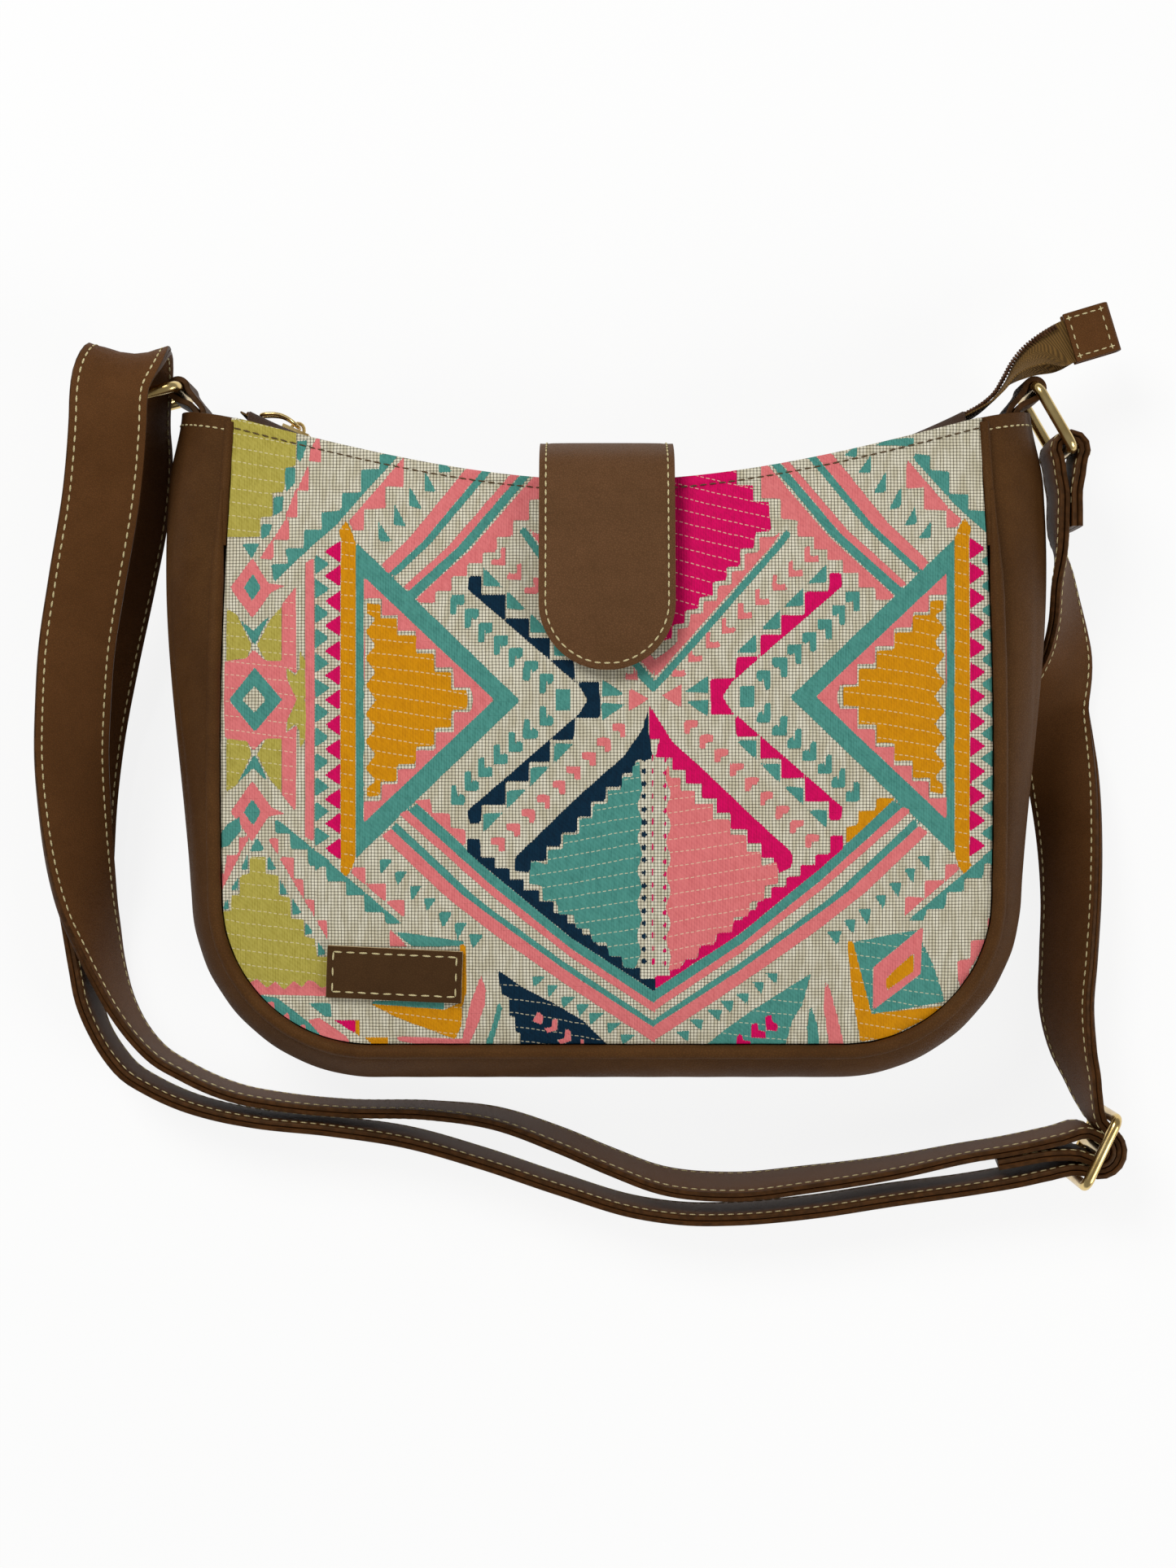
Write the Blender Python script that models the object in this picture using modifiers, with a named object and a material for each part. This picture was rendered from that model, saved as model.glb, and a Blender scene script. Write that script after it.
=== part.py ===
"""A woven sling bag lying on its back, with its leather strap laid out around it.

Units are metres. +X points to the right of the bag, +Y from its bottom to its mouth, and +Z
out of its front panel. z = 0 is the outside of the flat back panel, on which the bag rests.
"""
from math import asin, copysign, cos, hypot, pi, radians, sin, sqrt

import bmesh
import bpy
import numpy as np
from mathutils import Matrix, Vector

for old in list(bpy.data.objects):
    bpy.data.objects.remove(old)

parts = bpy.data.collections.new("sling_bag")
bpy.context.scene.collection.children.link(parts)

GAP = 0.0003                  # between pieces that touch
SLIM = 0.0001                 # merge distance

# Body of the bag
PANEL_HALF = 0.1200           # half width of the woven panels at their widest
PANEL_TOP_HALF = 0.1160       # half width at the ends of the mouth
PANEL_BOTTOM = -0.0944        # y of the panels' bottom edge
PANEL_CORNER = 0.0440         # radius of the two bottom corners
PANEL_THICKNESS = 0.0014      # woven cloth on its backing
MOUTH_LOW = 0.0813            # y of the mouth's edge at its middle
MOUTH_RISE = 0.0196           # how far the edge climbs towards its ends
BODY_DEPTH = 0.0570           # back to front, at the panels' edges
MOUTH_LEAN = 0.0030           # how far the front edge of the mouth leans back
DOME = 0.0085                 # swell of the stuffed front panel

# Gusset, the leather strip around the sides and the bottom
GUSSET_THICKNESS = 0.0013
GUSSET_BULGE_LOW = 0.0103     # at the bottom
GUSSET_BULGE_HIGH = 0.0202    # at the sides
GUSSET_PEAK = 0.0032          # rise of its hem between the two panels
PIPING_RADIUS = 0.0022
PIPING_TOP = 0.0780           # y where the piping runs out into the seam

# Zip in the mouth
ZIP_LOW = 0.0760              # y of the zip at its middle
ZIP_RADIUS = 0.2520           # of the arc that it follows
ZIP_HALF_LENGTH = 0.1160
TAPE_WIDTH = 0.0138           # each of its two tapes
TAPE_THICKNESS = 0.0006
COIL_GAP = 0.0010             # between the two halves of the coil
COIL_WIDTH = 0.0021
COIL_HEIGHT = 0.0015
FACING_THICKNESS = 0.0010
SLIDER_LENGTH = 0.0090
SLIDER_PLATE = 0.0010
SLIDER_REST_X = -0.1010       # the zip is closed, with its slider at the left end
PULL_LENGTH = 0.0125
PULL_WIRE = 0.0006            # radius

# Flap with its magnetic snap
FLAP_WIDTH = 0.0420
FLAP_THICKNESS = 0.0012
FLAP_LINING_THICKNESS = 0.0008
SNAP_RADIUS = 0.0070
SNAP_THICKNESS = 0.0015
SNAP_Y = 0.0340

# Label patch
PATCH_LENGTH = 0.0420
PATCH_WIDTH = 0.0162
PATCH_THICKNESS = 0.0012
PATCH_AT = (-0.0657, -0.0725)
PATCH_TILT = radians(-2.5)

# Strap, its rings and its adjuster
STRAP_WIDTH = 0.0240
LAYER_THICKNESS = 0.0015      # each of the strap's two layers
WIRE = 0.00175                # radius of the ring and adjuster wire
SIDE_PLAY = 0.0010            # between the strap's edges and the metal
RING_LENGTH = 0.0226          # from the chape's bar to the strap's bar, bar centres
RING_AT = (0.1365, 0.1125)    # the chape's bar on the right, mirrored on the left
RIGHT_RING_TURN = radians(-60)
LEFT_RING_TURN = radians(195)
CHAPE_WIDTH = 0.0200
CHAPE_THICKNESS = 0.0018
ADJUSTER_PITCH = 0.0119       # from its middle bar to each end bar
ADJUSTER_AT = (0.1593, -0.1324)
ADJUSTER_TURN = radians(-25.6)

# Sizes that follow from the ones above
MID_Z = BODY_DEPTH / 2
SEAM = PIPING_RADIUS + GAP
STRAP_THICKNESS = 2 * LAYER_THICKNESS + GAP
RING_HALF_WIDTH = STRAP_WIDTH / 2 + SIDE_PLAY + WIRE
ZIP_CENTRE_Y = ZIP_LOW + ZIP_RADIUS
ADJUSTER_Z = RING_HALF_WIDTH + WIRE


def material(name, colour, roughness, metallic=0.0):
    """A plain Principled finish."""
    made = bpy.data.materials.new(name)
    made.use_nodes = True
    shader = made.node_tree.nodes["Principled BSDF"]
    shader.inputs["Base Color"].default_value = (*colour, 1.0)
    shader.inputs["Roughness"].default_value = roughness
    shader.inputs["Metallic"].default_value = metallic
    return made


LEATHER = material("leather", (0.152, 0.085, 0.050), 0.55)
DARK_LEATHER = material("dark_leather", (0.070, 0.036, 0.020), 0.6)
WOVEN = material("woven_cloth", (0.62, 0.60, 0.48), 0.9)
LINING = material("lining_cloth", (0.30, 0.24, 0.17), 0.9)
TAPE = material("zip_tape", (0.24, 0.14, 0.05), 0.85)
COIL = material("zip_coil", (0.06, 0.03, 0.02), 0.5)
GOLD = material("gold_metal", (0.72, 0.54, 0.24), 0.25, 1.0)
STEEL = material("snap_metal", (0.62, 0.60, 0.56), 0.35, 1.0)


def smooth(value):
    """An S-shaped ramp from 0 to 1."""
    t = min(max(value, 0.0), 1.0)
    return t * t * (3 - 2 * t)


def place(name, mesh, finish):
    """Put a mesh in the scene as one of the bag's pieces."""
    thing = bpy.data.objects.new(name, mesh)
    parts.objects.link(thing)
    thing.data.materials.clear()
    thing.data.materials.append(finish)
    return thing


def sheet(name, columns, rows, surface, thickness, finish, offset=0.0):
    """A grid bent over surface(u, v), given its thickness by Solidify."""
    grid = bmesh.new()
    bmesh.ops.create_grid(grid, x_segments=columns, y_segments=rows, size=0.5)
    for vert in grid.verts:
        vert.co = surface(vert.co.x + 0.5, vert.co.y + 0.5)
    bmesh.ops.remove_doubles(grid, verts=grid.verts, dist=SLIM)
    mesh = bpy.data.meshes.new(name)
    grid.to_mesh(mesh)
    grid.free()
    thing = place(name, mesh, finish)
    wall = thing.modifiers.new("thickness", "SOLIDIFY")
    wall.thickness = thickness
    wall.offset = offset
    wall.use_even_offset = True
    mesh.shade_smooth()
    mesh.set_sharp_from_angle(angle=radians(40))
    return thing


def wire(name, points, radius, finish, closed=False, resolution=2, taper=None):
    """A round wire through points, a POLY curve with filled caps."""
    data = bpy.data.curves.new(name, "CURVE")
    data.dimensions = "3D"
    data.bevel_depth = radius
    data.bevel_resolution = resolution
    data.use_fill_caps = True
    spline = data.splines.new("POLY")
    spline.points.add(len(points) - 1)
    for index, point in enumerate(points):
        spline.points[index].co = (*point, 1.0)
        spline.points[index].radius = taper(index) if taper else 1.0
    spline.use_cyclic_u = closed
    data.materials.append(finish)
    thing = bpy.data.objects.new(name, data)
    parts.objects.link(thing)
    return thing


def to_mesh(thing):
    """Turn a curve object into a mesh object with welded caps."""
    mesh = bpy.data.meshes.new_from_object(thing.evaluated_get(bpy.context.evaluated_depsgraph_get()))
    shell = bmesh.new()
    shell.from_mesh(mesh)
    bmesh.ops.remove_doubles(shell, verts=shell.verts, dist=SLIM / 10)
    shell.to_mesh(mesh)
    shell.free()
    name, place_at = thing.name, thing.matrix_world.copy()
    finish = thing.data.materials[0]
    bpy.data.objects.remove(thing)
    made = place(name, mesh, finish)
    made.matrix_world = place_at
    return made


def join(thing, other):
    """Union other into thing, and keep other as a hidden cutter."""
    cut = thing.modifiers.new("join", "BOOLEAN")
    cut.operation = "UNION"
    cut.object = other
    cutter(other)


def cutter(thing):
    """Mark an object as a tool that isn't part of the bag."""
    for holder in list(thing.users_collection):
        holder.objects.unlink(thing)
    cutters.objects.link(thing)
    thing.hide_render = True
    thing.display_type = "WIRE"


cutters = bpy.data.collections.new("cutters")
bpy.context.scene.collection.children.link(cutters)


# Outline shared by the panels, the piping and the gusset

def mouth(x):
    """y of the mouth's edge, a shallow dip between its two ends."""
    t = min(abs(x) / PANEL_TOP_HALF, 1.0)
    return MOUTH_LOW + MOUTH_RISE * t * t * (1.45 - 0.45 * t)


MOUTH_END = mouth(PANEL_TOP_HALF)
CORNER_SHARE = 0.34           # of a side's rows that go round the bottom corner


def side_point(v):
    """A point of the right edge, v = 0 at the bottom line and 1 at the mouth."""
    if v < CORNER_SHARE:
        turn = pi / 2 * v / CORNER_SHARE
        x = PANEL_HALF - PANEL_CORNER * (1 - sin(turn))
        y = PANEL_BOTTOM + PANEL_CORNER * (1 - cos(turn))
    else:
        x = PANEL_HALF
        low = PANEL_BOTTOM + PANEL_CORNER
        y = low + (MOUTH_END - low) * (v - CORNER_SHARE) / (1 - CORNER_SHARE)
    reach = (y - PANEL_BOTTOM / 10) / (MOUTH_END - PANEL_BOTTOM / 10)
    x -= (PANEL_HALF - PANEL_TOP_HALF) * reach * reach
    return x, y


BOTTOM_SHARE = 0.2            # of the outline that is the straight bottom


def outline(s):
    """A point of the panels' outline: s = -1 left end of the mouth, 0 bottom, 1 right end."""
    if abs(s) < BOTTOM_SHARE:
        return Vector((side_point(0)[0] * s / BOTTOM_SHARE, PANEL_BOTTOM, 0))
    x, y = side_point((abs(s) - BOTTOM_SHARE) / (1 - BOTTOM_SHARE))
    return Vector((x if s > 0 else -x, y, 0))


def outward(s):
    """The outline's outward direction."""
    step = 0.004
    along = outline(min(s + step, 1.0)) - outline(max(s - step, -1.0))
    return Vector((along.y, -along.x, 0)).normalized()


def front_edge(y):
    """Height of the front panel's edge."""
    return BODY_DEPTH - MOUTH_LEAN * smooth((y - MOUTH_LOW / 4) / MOUTH_LOW)


def panel_xy(u, v):
    half, y = side_point(v)
    x = (2 * u - 1) * half
    share = (y - PANEL_BOTTOM) / (MOUTH_END - PANEL_BOTTOM)
    return x, PANEL_BOTTOM + (mouth(x) - PANEL_BOTTOM) * share, share


def swell(across, up):
    """Share of the dome at a place: across is -1 to 1, up is 0 at the bottom and 1 at the mouth."""
    return (1 - abs(across) ** 2.8) * (1 - abs(2 * up - 1) ** 3.6)


def front_height(x, y):
    """Height of the front panel's middle surface above the back."""
    up = (y - PANEL_BOTTOM) / (mouth(x) - PANEL_BOTTOM)
    return front_edge(y) + DOME * swell(x / PANEL_HALF, min(max(up, 0.0), 1.0))


def front_surface(u, v):
    x, y, share = panel_xy(u, v)
    return Vector((x, y, front_edge(y) + DOME * swell(2 * u - 1, share)))


def back_surface(u, v):
    x, y, _ = panel_xy(1 - u, v)
    return Vector((x, y, 0.0))


PANEL_COLUMNS = 20
PANEL_ROWS = 17
BACK_COLUMNS = 12
BACK_ROWS = 13


def build_panels():
    sheet("front_panel", PANEL_COLUMNS, PANEL_ROWS, front_surface, PANEL_THICKNESS, WOVEN, -1.0)
    sheet("back_panel", BACK_COLUMNS, BACK_ROWS, back_surface, PANEL_THICKNESS, WOVEN, -1.0)


# Woven fields of colour on the front panel. The weave's small teeth, arrows and stitches are left
# to the visual model. Each field is one plate, a satin float standing a little off the ground weave.

YARN_THICKNESS = 0.0004
FACET = 0.0110                # longest stretch of a field that stays flat
MILLIMETRE = 0.001
YARNS = {
    "teal": material("teal_yarn", (0.115, 0.352, 0.318), 0.8),
    "pink": material("pink_yarn", (0.800, 0.255, 0.262), 0.8),
    "magenta": material("magenta_yarn", (0.730, 0.004, 0.170), 0.8),
    "mustard": material("mustard_yarn", (0.700, 0.310, 0.006), 0.8),
    "navy": material("navy_yarn", (0.008, 0.038, 0.080), 0.8),
    "yellow": material("yellow_yarn", (0.600, 0.540, 0.120), 0.8),
}
# A yarn, then x,y corners in millimetres. A stroke starts a window, and an empty line a new field.
FIELDS = """
teal 14.6,-81.4 15,-80.5 41.4,-62.9 66.5,-42.8 91.1,-20.8 88.3,-19.1 73.3,-32.9 72.5,-34.1 66.7,-39.2
42.2,-59.3 27.9,-68.6 27.4,-69.9 25.9,-69.9 24.1,-71.1 24.1,-73.1 23.8,-73.4 20.4,-73.5 15.4,-76.8
15.3,-77.9 15,-78.2 7.4,-73.2 7.7,-72.8 9.5,-72.8 10.4,-70.6 8.8,-63.1 10.6,-58 9.1,-50.8 10.5,-43.3
9.1,-35.8 10.5,-28.3 9,-20.3 10.5,-13.2 9.3,-6.8 9.8,0.5 6.7,0.5 6.7,-3.7 6.4,-4 3.1,-4 3.1,-8.1
2.8,-8.4 -0.6,-8.4 -0.6,-12.6 -0.9,-12.9 -4.2,-12.9 -4.2,-17 -4.5,-17.3 -7.8,-17.3 -7.8,-21.5 -8.1,-21.8
-11.5,-21.8 -11.5,-25.9 -11.8,-26.2 -15.1,-26.2 -15.1,-30.4 -15.4,-30.7 -18.8,-30.7 -18.8,-34.8
-19.1,-35.1 -22.4,-35.1 -22.4,-45.4 -19.1,-45.4 -18.8,-45.7 -18.8,-48.8 -15.5,-48.8 -15.2,-49.1
-15.2,-52.2 -12,-52.2 -11.7,-52.5 -11.7,-55.6 -8.4,-55.6 -8.1,-55.9 -8.1,-59.1 -4.8,-59.1 -4.5,-59.4
-4.5,-62.5 -1.2,-62.5 -0.9,-62.8 -0.9,-65.9 2.4,-65.9 2.7,-66.2 2.7,-69.3 6.1,-69.3 6.4,-69.6 6.4,-72.1
6.1,-72.4 -12.5,-60.2 -36.8,-40.2 -42.9,-34.8 -44,-33.3 -58,-20.3 -58.5,-20.1 -60.9,-21.7 -61,-21.9
-36.7,-43.7 -11.7,-63.8

pink 20.4,-72.8 23.5,-72.8 23.5,-69.6 23.8,-69.3 27.1,-69.3 27.1,-66.2 27.4,-65.9 30.7,-65.9 30.7,-62.8
31,-62.5 34.3,-62.5 34.2,-59.4 34.5,-59.1 37.9,-59.1 37.8,-55.9 38.1,-55.6 41.4,-55.7 41.4,-52.6
41.7,-52.3 45,-52.3 45,-49.1 45.3,-48.8 48.6,-48.8 48.6,-45.8 48.9,-45.5 52.2,-45.5 52.2,-35.2
48.8,-35.2 48.5,-34.9 48.5,-30.7 45.2,-30.7 44.9,-30.4 44.9,-26.3 41.5,-26.2 41.2,-25.9 41.2,-21.8
37.9,-21.8 37.6,-21.5 37.6,-17.3 34.2,-17.3 33.9,-17 33.9,-12.9 30.6,-12.9 30.3,-12.6 30.3,-8.4
26.9,-8.4 26.6,-8.1 26.6,-4 23.3,-4 23,-3.7 23,0.5 19.9,0.5 20.4,-6.8 19.2,-12.3 20.7,-20.2 19.2,-27.3
20.7,-35.2 19.2,-42.4 20.7,-50.2 19.2,-57.6 21,-62.9 19.5,-70.3

magenta 15.2,30.3 19.9,31.7 19.9,35.5 20.5,35.9 23.6,36.2 23.8,40 24.1,40.3 27.8,40.6 28,44.1 28.3,44.4
32.5,44.7 32.5,48.9 33.4,49.3 36.7,49.5 36.7,53.4 37,53.7 40.9,54 40.9,59 41.2,59.3 45.5,59.7 45.6,63.5
45.9,63.8 50.4,64.2 50.1,70.9 45.6,70.9 45.3,71.2 45.4,75 40.5,75 40.2,75.3 40.3,79.3 21.2,79.3
20.9,79.6 20.9,80.4 15.4,80

navy 14.2,30.3 14.6,30.3 14.8,80 7,79.6 -10.1,79.8 -10.1,75.4 -10.4,75.1 -15.3,75.1 -15.2,71.2
-15.5,70.9 -20.1,70.9 -20.4,64.2 -15.9,63.9 -15.6,63.6 -15.6,59.7 -11.4,59.4 -11,59 -11,54 -7.2,53.7
-6.9,53.4 -6.9,49.5 -3.6,49.3 -2.6,48.9 -2.6,44.7 1.5,44.4 1.8,44.1 1.9,42.1 3.1,41.8 5.7,40.3 7.2,38.3
8.1,36 9.3,35.9 9.8,35.5 9.8,31.7

teal 107.6,-35.1 108,62.1 91.7,46.6 70.4,65.7 50.8,84.2 49,84 48.8,83.8 60.7,72 82.4,51.3 89.2,45
90,45.6 90.4,45.3 57,13 92.6,-20.9 94.2,-21.3 94.5,-21.8 94.1,-22.3 / 105.2,-24.8 64.3,13.3 105.4,52
105.7,51.7 105.7,45.5 105.5,-24.5

teal -77.3,-35.9 -63.9,-23.2 -64.4,-22.7 -64.1,-22.3 -62.4,-21.8 -61,-20.5 -59.3,-18.5 -58.6,-18.2
-27.2,12 -60,43.9 -59.6,44.2 -59.1,43.8 -55.9,46.8 -33.1,68.6 -21.2,80.5 -23.4,80.6 -37.7,67.1
-61.5,45.4 -77.6,60.8 -77.3,31.6 / -74.8,-25.8 -75.2,-25.5 -75.3,50.4 -75,50.7 -34.5,12.3

mustard 103.6,-16.4 104,-16.4 104,-13.8 101.2,-11.7 104.5,-7.6 101.2,-3.3 104.5,0.8 101.2,5 104.5,9.1
101.2,13.6 104.5,18.2 101.2,22.1 104.5,26.5 101.3,30.2 101.3,30.6 104.6,34.8 101.3,38.8 104.1,40.4
104.1,43.2 100.5,42.8 100.5,39.2 100.1,38.4 95.2,38.4 95.2,33.4 94.9,33.1 89.1,33.1 89.1,27.8 88.8,27.5
83.5,27.5 83.5,21.9 83.2,21.6 77.9,21.6 77.9,16.3 77.6,16 73.3,16 73.3,10.7 77.6,10.8 77.9,10.5 77.9,5.2
83.2,5.2 83.5,4.9 83.5,-0.7 88.8,-0.7 89.1,-1 89.1,-6.2 94.8,-6.2 95.1,-6.5 95.1,-11.4 100.1,-11.4
100.4,-11.7 100.4,-15.8

mustard -73.7,-17.4 -70.1,-16.8 -70.1,-12.7 -69.8,-12.4 -65,-12.4 -65,-7.5 -64.7,-7.2 -59,-7.2 -59,-2
-58.7,-1.7 -53.5,-1.7 -53.5,3.9 -53.2,4.2 -48,4.2 -48,9.4 -47.7,9.7 -43.4,9.7 -43.4,15 -47.7,15 -48,15.3
-48,20.5 -53.2,20.5 -53.5,20.8 -53.5,26.4 -58.7,26.4 -59,26.7 -59.1,31.9 -64.7,31.9 -65,32.2 -65,37.2
-69.9,37.2 -70.2,37.5 -70.2,41.6 -73.4,42 -73.8,42 -73.8,39.2 -71.3,37.9 -71,37.4 -74.2,33.4 -71,29.1
-74.2,25.1 -71,20.8 -74.2,16.8 -70.9,12.3 -74.2,7.8 -70.9,3.8 -74.2,-0.5 -70.9,-4.5 -74.2,-8.8
-70.9,-12.8 -73.7,-14.8

yellow -100.2,-77 -97.2,-74.3 -94.8,-76.2 -92.8,-74.1 -90.6,-74.4 -88.5,-76.6 -87.8,-76.4 -87.4,-67.4
-89.8,-67.4 -90.1,-67.1 -90.6,-61.9 -93.5,-61.4 -94.1,-61 -94.3,-55.9 -97.9,-55.6 -98.2,-55.3 -98.4,-49
-101.2,-48.8 -101.9,-48.4 -102.1,-42.2 -105.8,-41.9 -106.1,-41.6 -106.1,-36.5 -110.4,-36.5 -110.4,-41.6
-111,-42 -113.6,-42.2 -113.6,-48.1 -113.9,-48.4 -116.4,-48.5 -116.7,-54 -115.6,-60 -113.2,-66.9
-109.4,-73.8 -109.1,-74.1 -108.4,-73.9 -105.6,-76.7 -103.3,-74.7 -102.8,-74.6

pink 11.8,-91.8 16.8,-91.8 41.8,-74.9 66.3,-57.6 80.1,-46.7 99.2,-28.6 96.6,-26.8 74.5,-47.3 41.7,-71.2
15.4,-88.5 15.3,-89.5 14.9,-89.8 -11.4,-72.5 -35.8,-54.8 -44.6,-48.2 -66.4,-27.8 -67.5,-28.4 -69,-29.7
-48.9,-48.6 -36.2,-58.7 -11.6,-76.1

mustard 111,-41.1 111.8,-40.6 112.8,-39.2 112.3,-36.7 112.5,53.2 112.6,64 113.2,66.4 111.6,68.7
109.8,66.2 108.6,62.6 108.3,32.2 108.3,-35.3 109.5,-39

mustard -80.7,-42 -79.1,-39.9 -77.9,-36.1 -77.9,31.6 -78.2,61.3 -79.4,65 -81.1,67.4 -82.6,65.2
-82.1,62.7 -82,54.6 -81.8,-37.5 -82.3,-40

yellow -110.6,63.4 -108,63.4 -108.1,69.5 -107.8,69.8 -104.1,69.8 -104.2,76 -103.9,76.3 -100.6,76.4
-100.6,82.4 -100.3,82.7 -97.1,82.7 -97,94.3 -99.7,95 -113.9,95 -115.3,71.6 -113.4,63.5

pink 14.6,-84 14.7,-83.5 15.9,-82.5 41.2,-65.6 65.9,-46.3 93.8,-21.8 91.4,-21.1 66.5,-43.4 41.4,-63.5
15.3,-80.9 15.3,-81.9 15,-82.2 -11.7,-64.4 -36.7,-44.3 -60.8,-22.5 -61.6,-22.1 -63.5,-22.7 -63.4,-23.1
-35.6,-47.6 -11.6,-66.4

teal 14.6,-89 15.1,-88.1 41.7,-70.6 74.5,-46.7 96.4,-26.4 95,-24.9 72,-46.5 66.6,-50.9 41.7,-68.9
15.4,-86.4 15.3,-87.4 14.8,-87.7 -11.7,-70 -36.9,-51.7 -41.9,-47.6 -65,-25.9 -66.2,-27.5 -44.6,-47.6
-11.4,-71.9

pink 104.7,-23.9 104.9,-18.3 99.7,-18.3 99.4,-18 99.4,-13.1 94.4,-13.1 94.1,-12.8 94.1,-8.3 88.8,-8.3
88.5,-8 88.5,-2.4 82.8,-2.4 82.5,-2.1 82.5,3.2 77.3,3.1 77,3.4 77,9.4 71.9,9.4 71.5,9.9 70.6,13.6
71.9,17.4 77,17.4 77,23.3 77.3,23.6 82.6,23.8 82.6,28.9 82.9,29.2 88.5,29.2 88.5,34.2 88.9,35.2
94.2,35.2 94.2,39.7 94.5,40 99.5,40.1 99.5,45 99.8,45.3 105,45.3 105.1,51.1 64.9,13.3

pink -74.6,-24.9 -35.1,12.3 -74.7,49.8 -74.7,44.1 -69.6,44.1 -69.3,43.8 -69.2,38.8 -64.3,38.8 -64,38.5
-64,34 -58.8,34 -58.5,33.7 -58.5,28.1 -52.9,28.1 -52.6,27.8 -52.6,22.6 -47.3,22.6 -47,22.3 -47,16.3
-42,16.3 -40.7,12.4 -42,8.3 -47,8.3 -47,2.4 -47.3,2.1 -52.5,2.1 -52.5,-3.1 -52.8,-3.4 -58.4,-3.4
-58.4,-9 -58.7,-9.3 -64,-9.3 -64,-13.8 -64.3,-14.1 -69.2,-14.1 -69.2,-18.9 -69.5,-19.2 -74.6,-19.2

teal 82.5,-84.8 103.1,-81.4 104.3,-80.2 101.2,-69.8 98,-63.9 97.7,-72.7 82.8,-84.1 82.4,-83.8 82.3,-70.3
95.6,-59.5 76.4,-62.7

navy -26.4,-91.8 -13.4,-91.8 -13.2,-89.5 -12.9,-89.2 -11,-90.1 -10.9,-91.8 -3.1,-91.7 -7.6,-87.1
-26.6,-76.4 -33.4,-71.7 -32.2,-78.4 -30.1,-79.5 -29.9,-85.2 -28.1,-85.9 -27.9,-90.4 -26.7,-90.8
-26.4,-91.1 / -18.6,-91.3 -19.1,-90.9 -19.9,-89.3 -19.6,-89 -17.6,-88.8 -17.2,-86.4 -16.9,-86.1
-15.4,-86.1 -15.1,-86.4 -15.1,-90.1 -15.6,-90.5 / -20.2,-88.9 -23.3,-87.1 -21.2,-83.5 -19.3,-85.6
-19.8,-88.6

pink -96.7,-21.4 -96.4,2.5 -96,4.1 -99.4,1.8 -99.8,2.1 -99.8,2.6 -99.2,6.7 -96.3,12.1 -100.6,12.2
-109,2.2 -117.3,11.8 -117.3,0.5 -111.8,0 -109.4,-2.7 -106.4,0.3 -105.7,0.6 -100.7,0.8 -100.4,0.5
-100.4,-16.9

pink -100.5,12.7 -96.3,12.8 -99.2,18.3 -99.8,22.3 -99.8,22.8 -99.3,23.1 -96,20.8 -96.4,22.4 -96.5,25.3
-96.7,46.4 -100.5,41.9 -100.4,24.5 -100.7,24.2 -105.7,24.4 -106.4,24.7 -109.3,27.7 -111.7,25.1
-117.1,24.6 -117.3,13.4 -109.2,23

pink 83.5,43.7 87.8,43.7 88.7,44.7 68.2,63.3 48.4,82.2 48.2,72.6 54.2,72.6 54.5,72.3 54.4,67.4 59.2,67.4
59.5,67.1 59.4,63.2 64.2,63.3 64.5,63 64.4,59.4 68.5,59.4 68.8,59.1 68.8,55.9 73.2,56 73.5,55.7
73.5,52.1 77.9,52 78.2,51.7 78.2,47.4 82.8,47.4 83.2,47

pink -57.7,42.5 -53.5,42.5 -53.2,45.5 -52.8,46.3 -48.2,46.3 -48.2,50.6 -47.9,50.9 -43.5,51 -43.5,54.6
-43.2,54.9 -38.8,54.9 -38.8,58.1 -38.5,58.4 -34.4,58.4 -34.5,61.9 -34.2,62.2 -29.4,62.2 -29.5,66.1
-29.2,66.4 -24.4,66.4 -24.4,71.3 -24.1,71.6 -18.1,71.6 -18.2,80.2 -19.3,80.3 -37.8,62.6 -58,44.1
-58.6,43.4

teal 34.9,-91.8 40.7,-91.8 41.6,-91 42.1,-91.3 42.2,-91.8 44.5,-91.8 44.5,-88.2 46.5,-87.4 46.9,-87.7
47.4,-89.9 49.2,-90.2 49.5,-90.5 49.6,-91.8 56.2,-91.8 57.1,-87.2 60.4,-81.9 62.5,-73.1 45.3,-84
36.5,-90.3 / 52.9,-90.7 50,-90.5 49.2,-90.1 49.2,-85.6 49.5,-85.3 51,-85 51.4,-85.4 51.7,-87.3
53.2,-88.2 53.3,-90.4

mustard 78.8,-91.8 85.6,-91.8 87.9,-91 94.2,-88 98.1,-85.5 100.8,-83.3 82.3,-85.4 81.4,-83.1 75.9,-62.9
75.6,-62.5 74.8,-62.4 76.3,-77.6

navy 1.9,-69.1 2.1,-67.2 1.4,-67.2 1.1,-66.5 -1.2,-66.5 -1.5,-66.2 -1.5,-63.8 -3.1,-63.8 -3.4,-63.1
-4.8,-63.1 -5.1,-62.8 -5.1,-60.4 -7.6,-60.4 -7.9,-59.7 -8.7,-59.4 -8.7,-57 -12.1,-57 -12.4,-56.7
-12.4,-53.5 -16.6,-53.5 -16.9,-53.2 -16.9,-50.1 -21.1,-50.1 -21.4,-49.8 -21.3,-46.7 -25.5,-46.7
-25.8,-46.4 -25.8,-43.3 -30,-43.3 -30.3,-43 -30.3,-39.9 -34.5,-39.9 -34.8,-39.6 -34.8,-36.5 -39,-36.5
-39.3,-36.2 -39.3,-30.8 -42.7,-30.8 -42.7,-34.3 -36.8,-39.6 -11.5,-60.4

pink 97.3,53.3 98,53.3 99.6,55.4 98.7,56.5 84,70.2 70.4,83.7 66,85.7 63.4,86 78.6,70.6

pink 83,-83.2 97.1,-72.6 97.7,-58.6 82.9,-70.4 / 87,-77.8 86.6,-77.5 86.2,-74 89.6,-70.6 95.3,-65.7
95.6,-66 95.7,-71.5

pink -67.8,52.1 -67,52.1 -54.2,64.1 -36.2,82.1 -40.4,82.6 -54.8,68.2 -69.4,54.3

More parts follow.
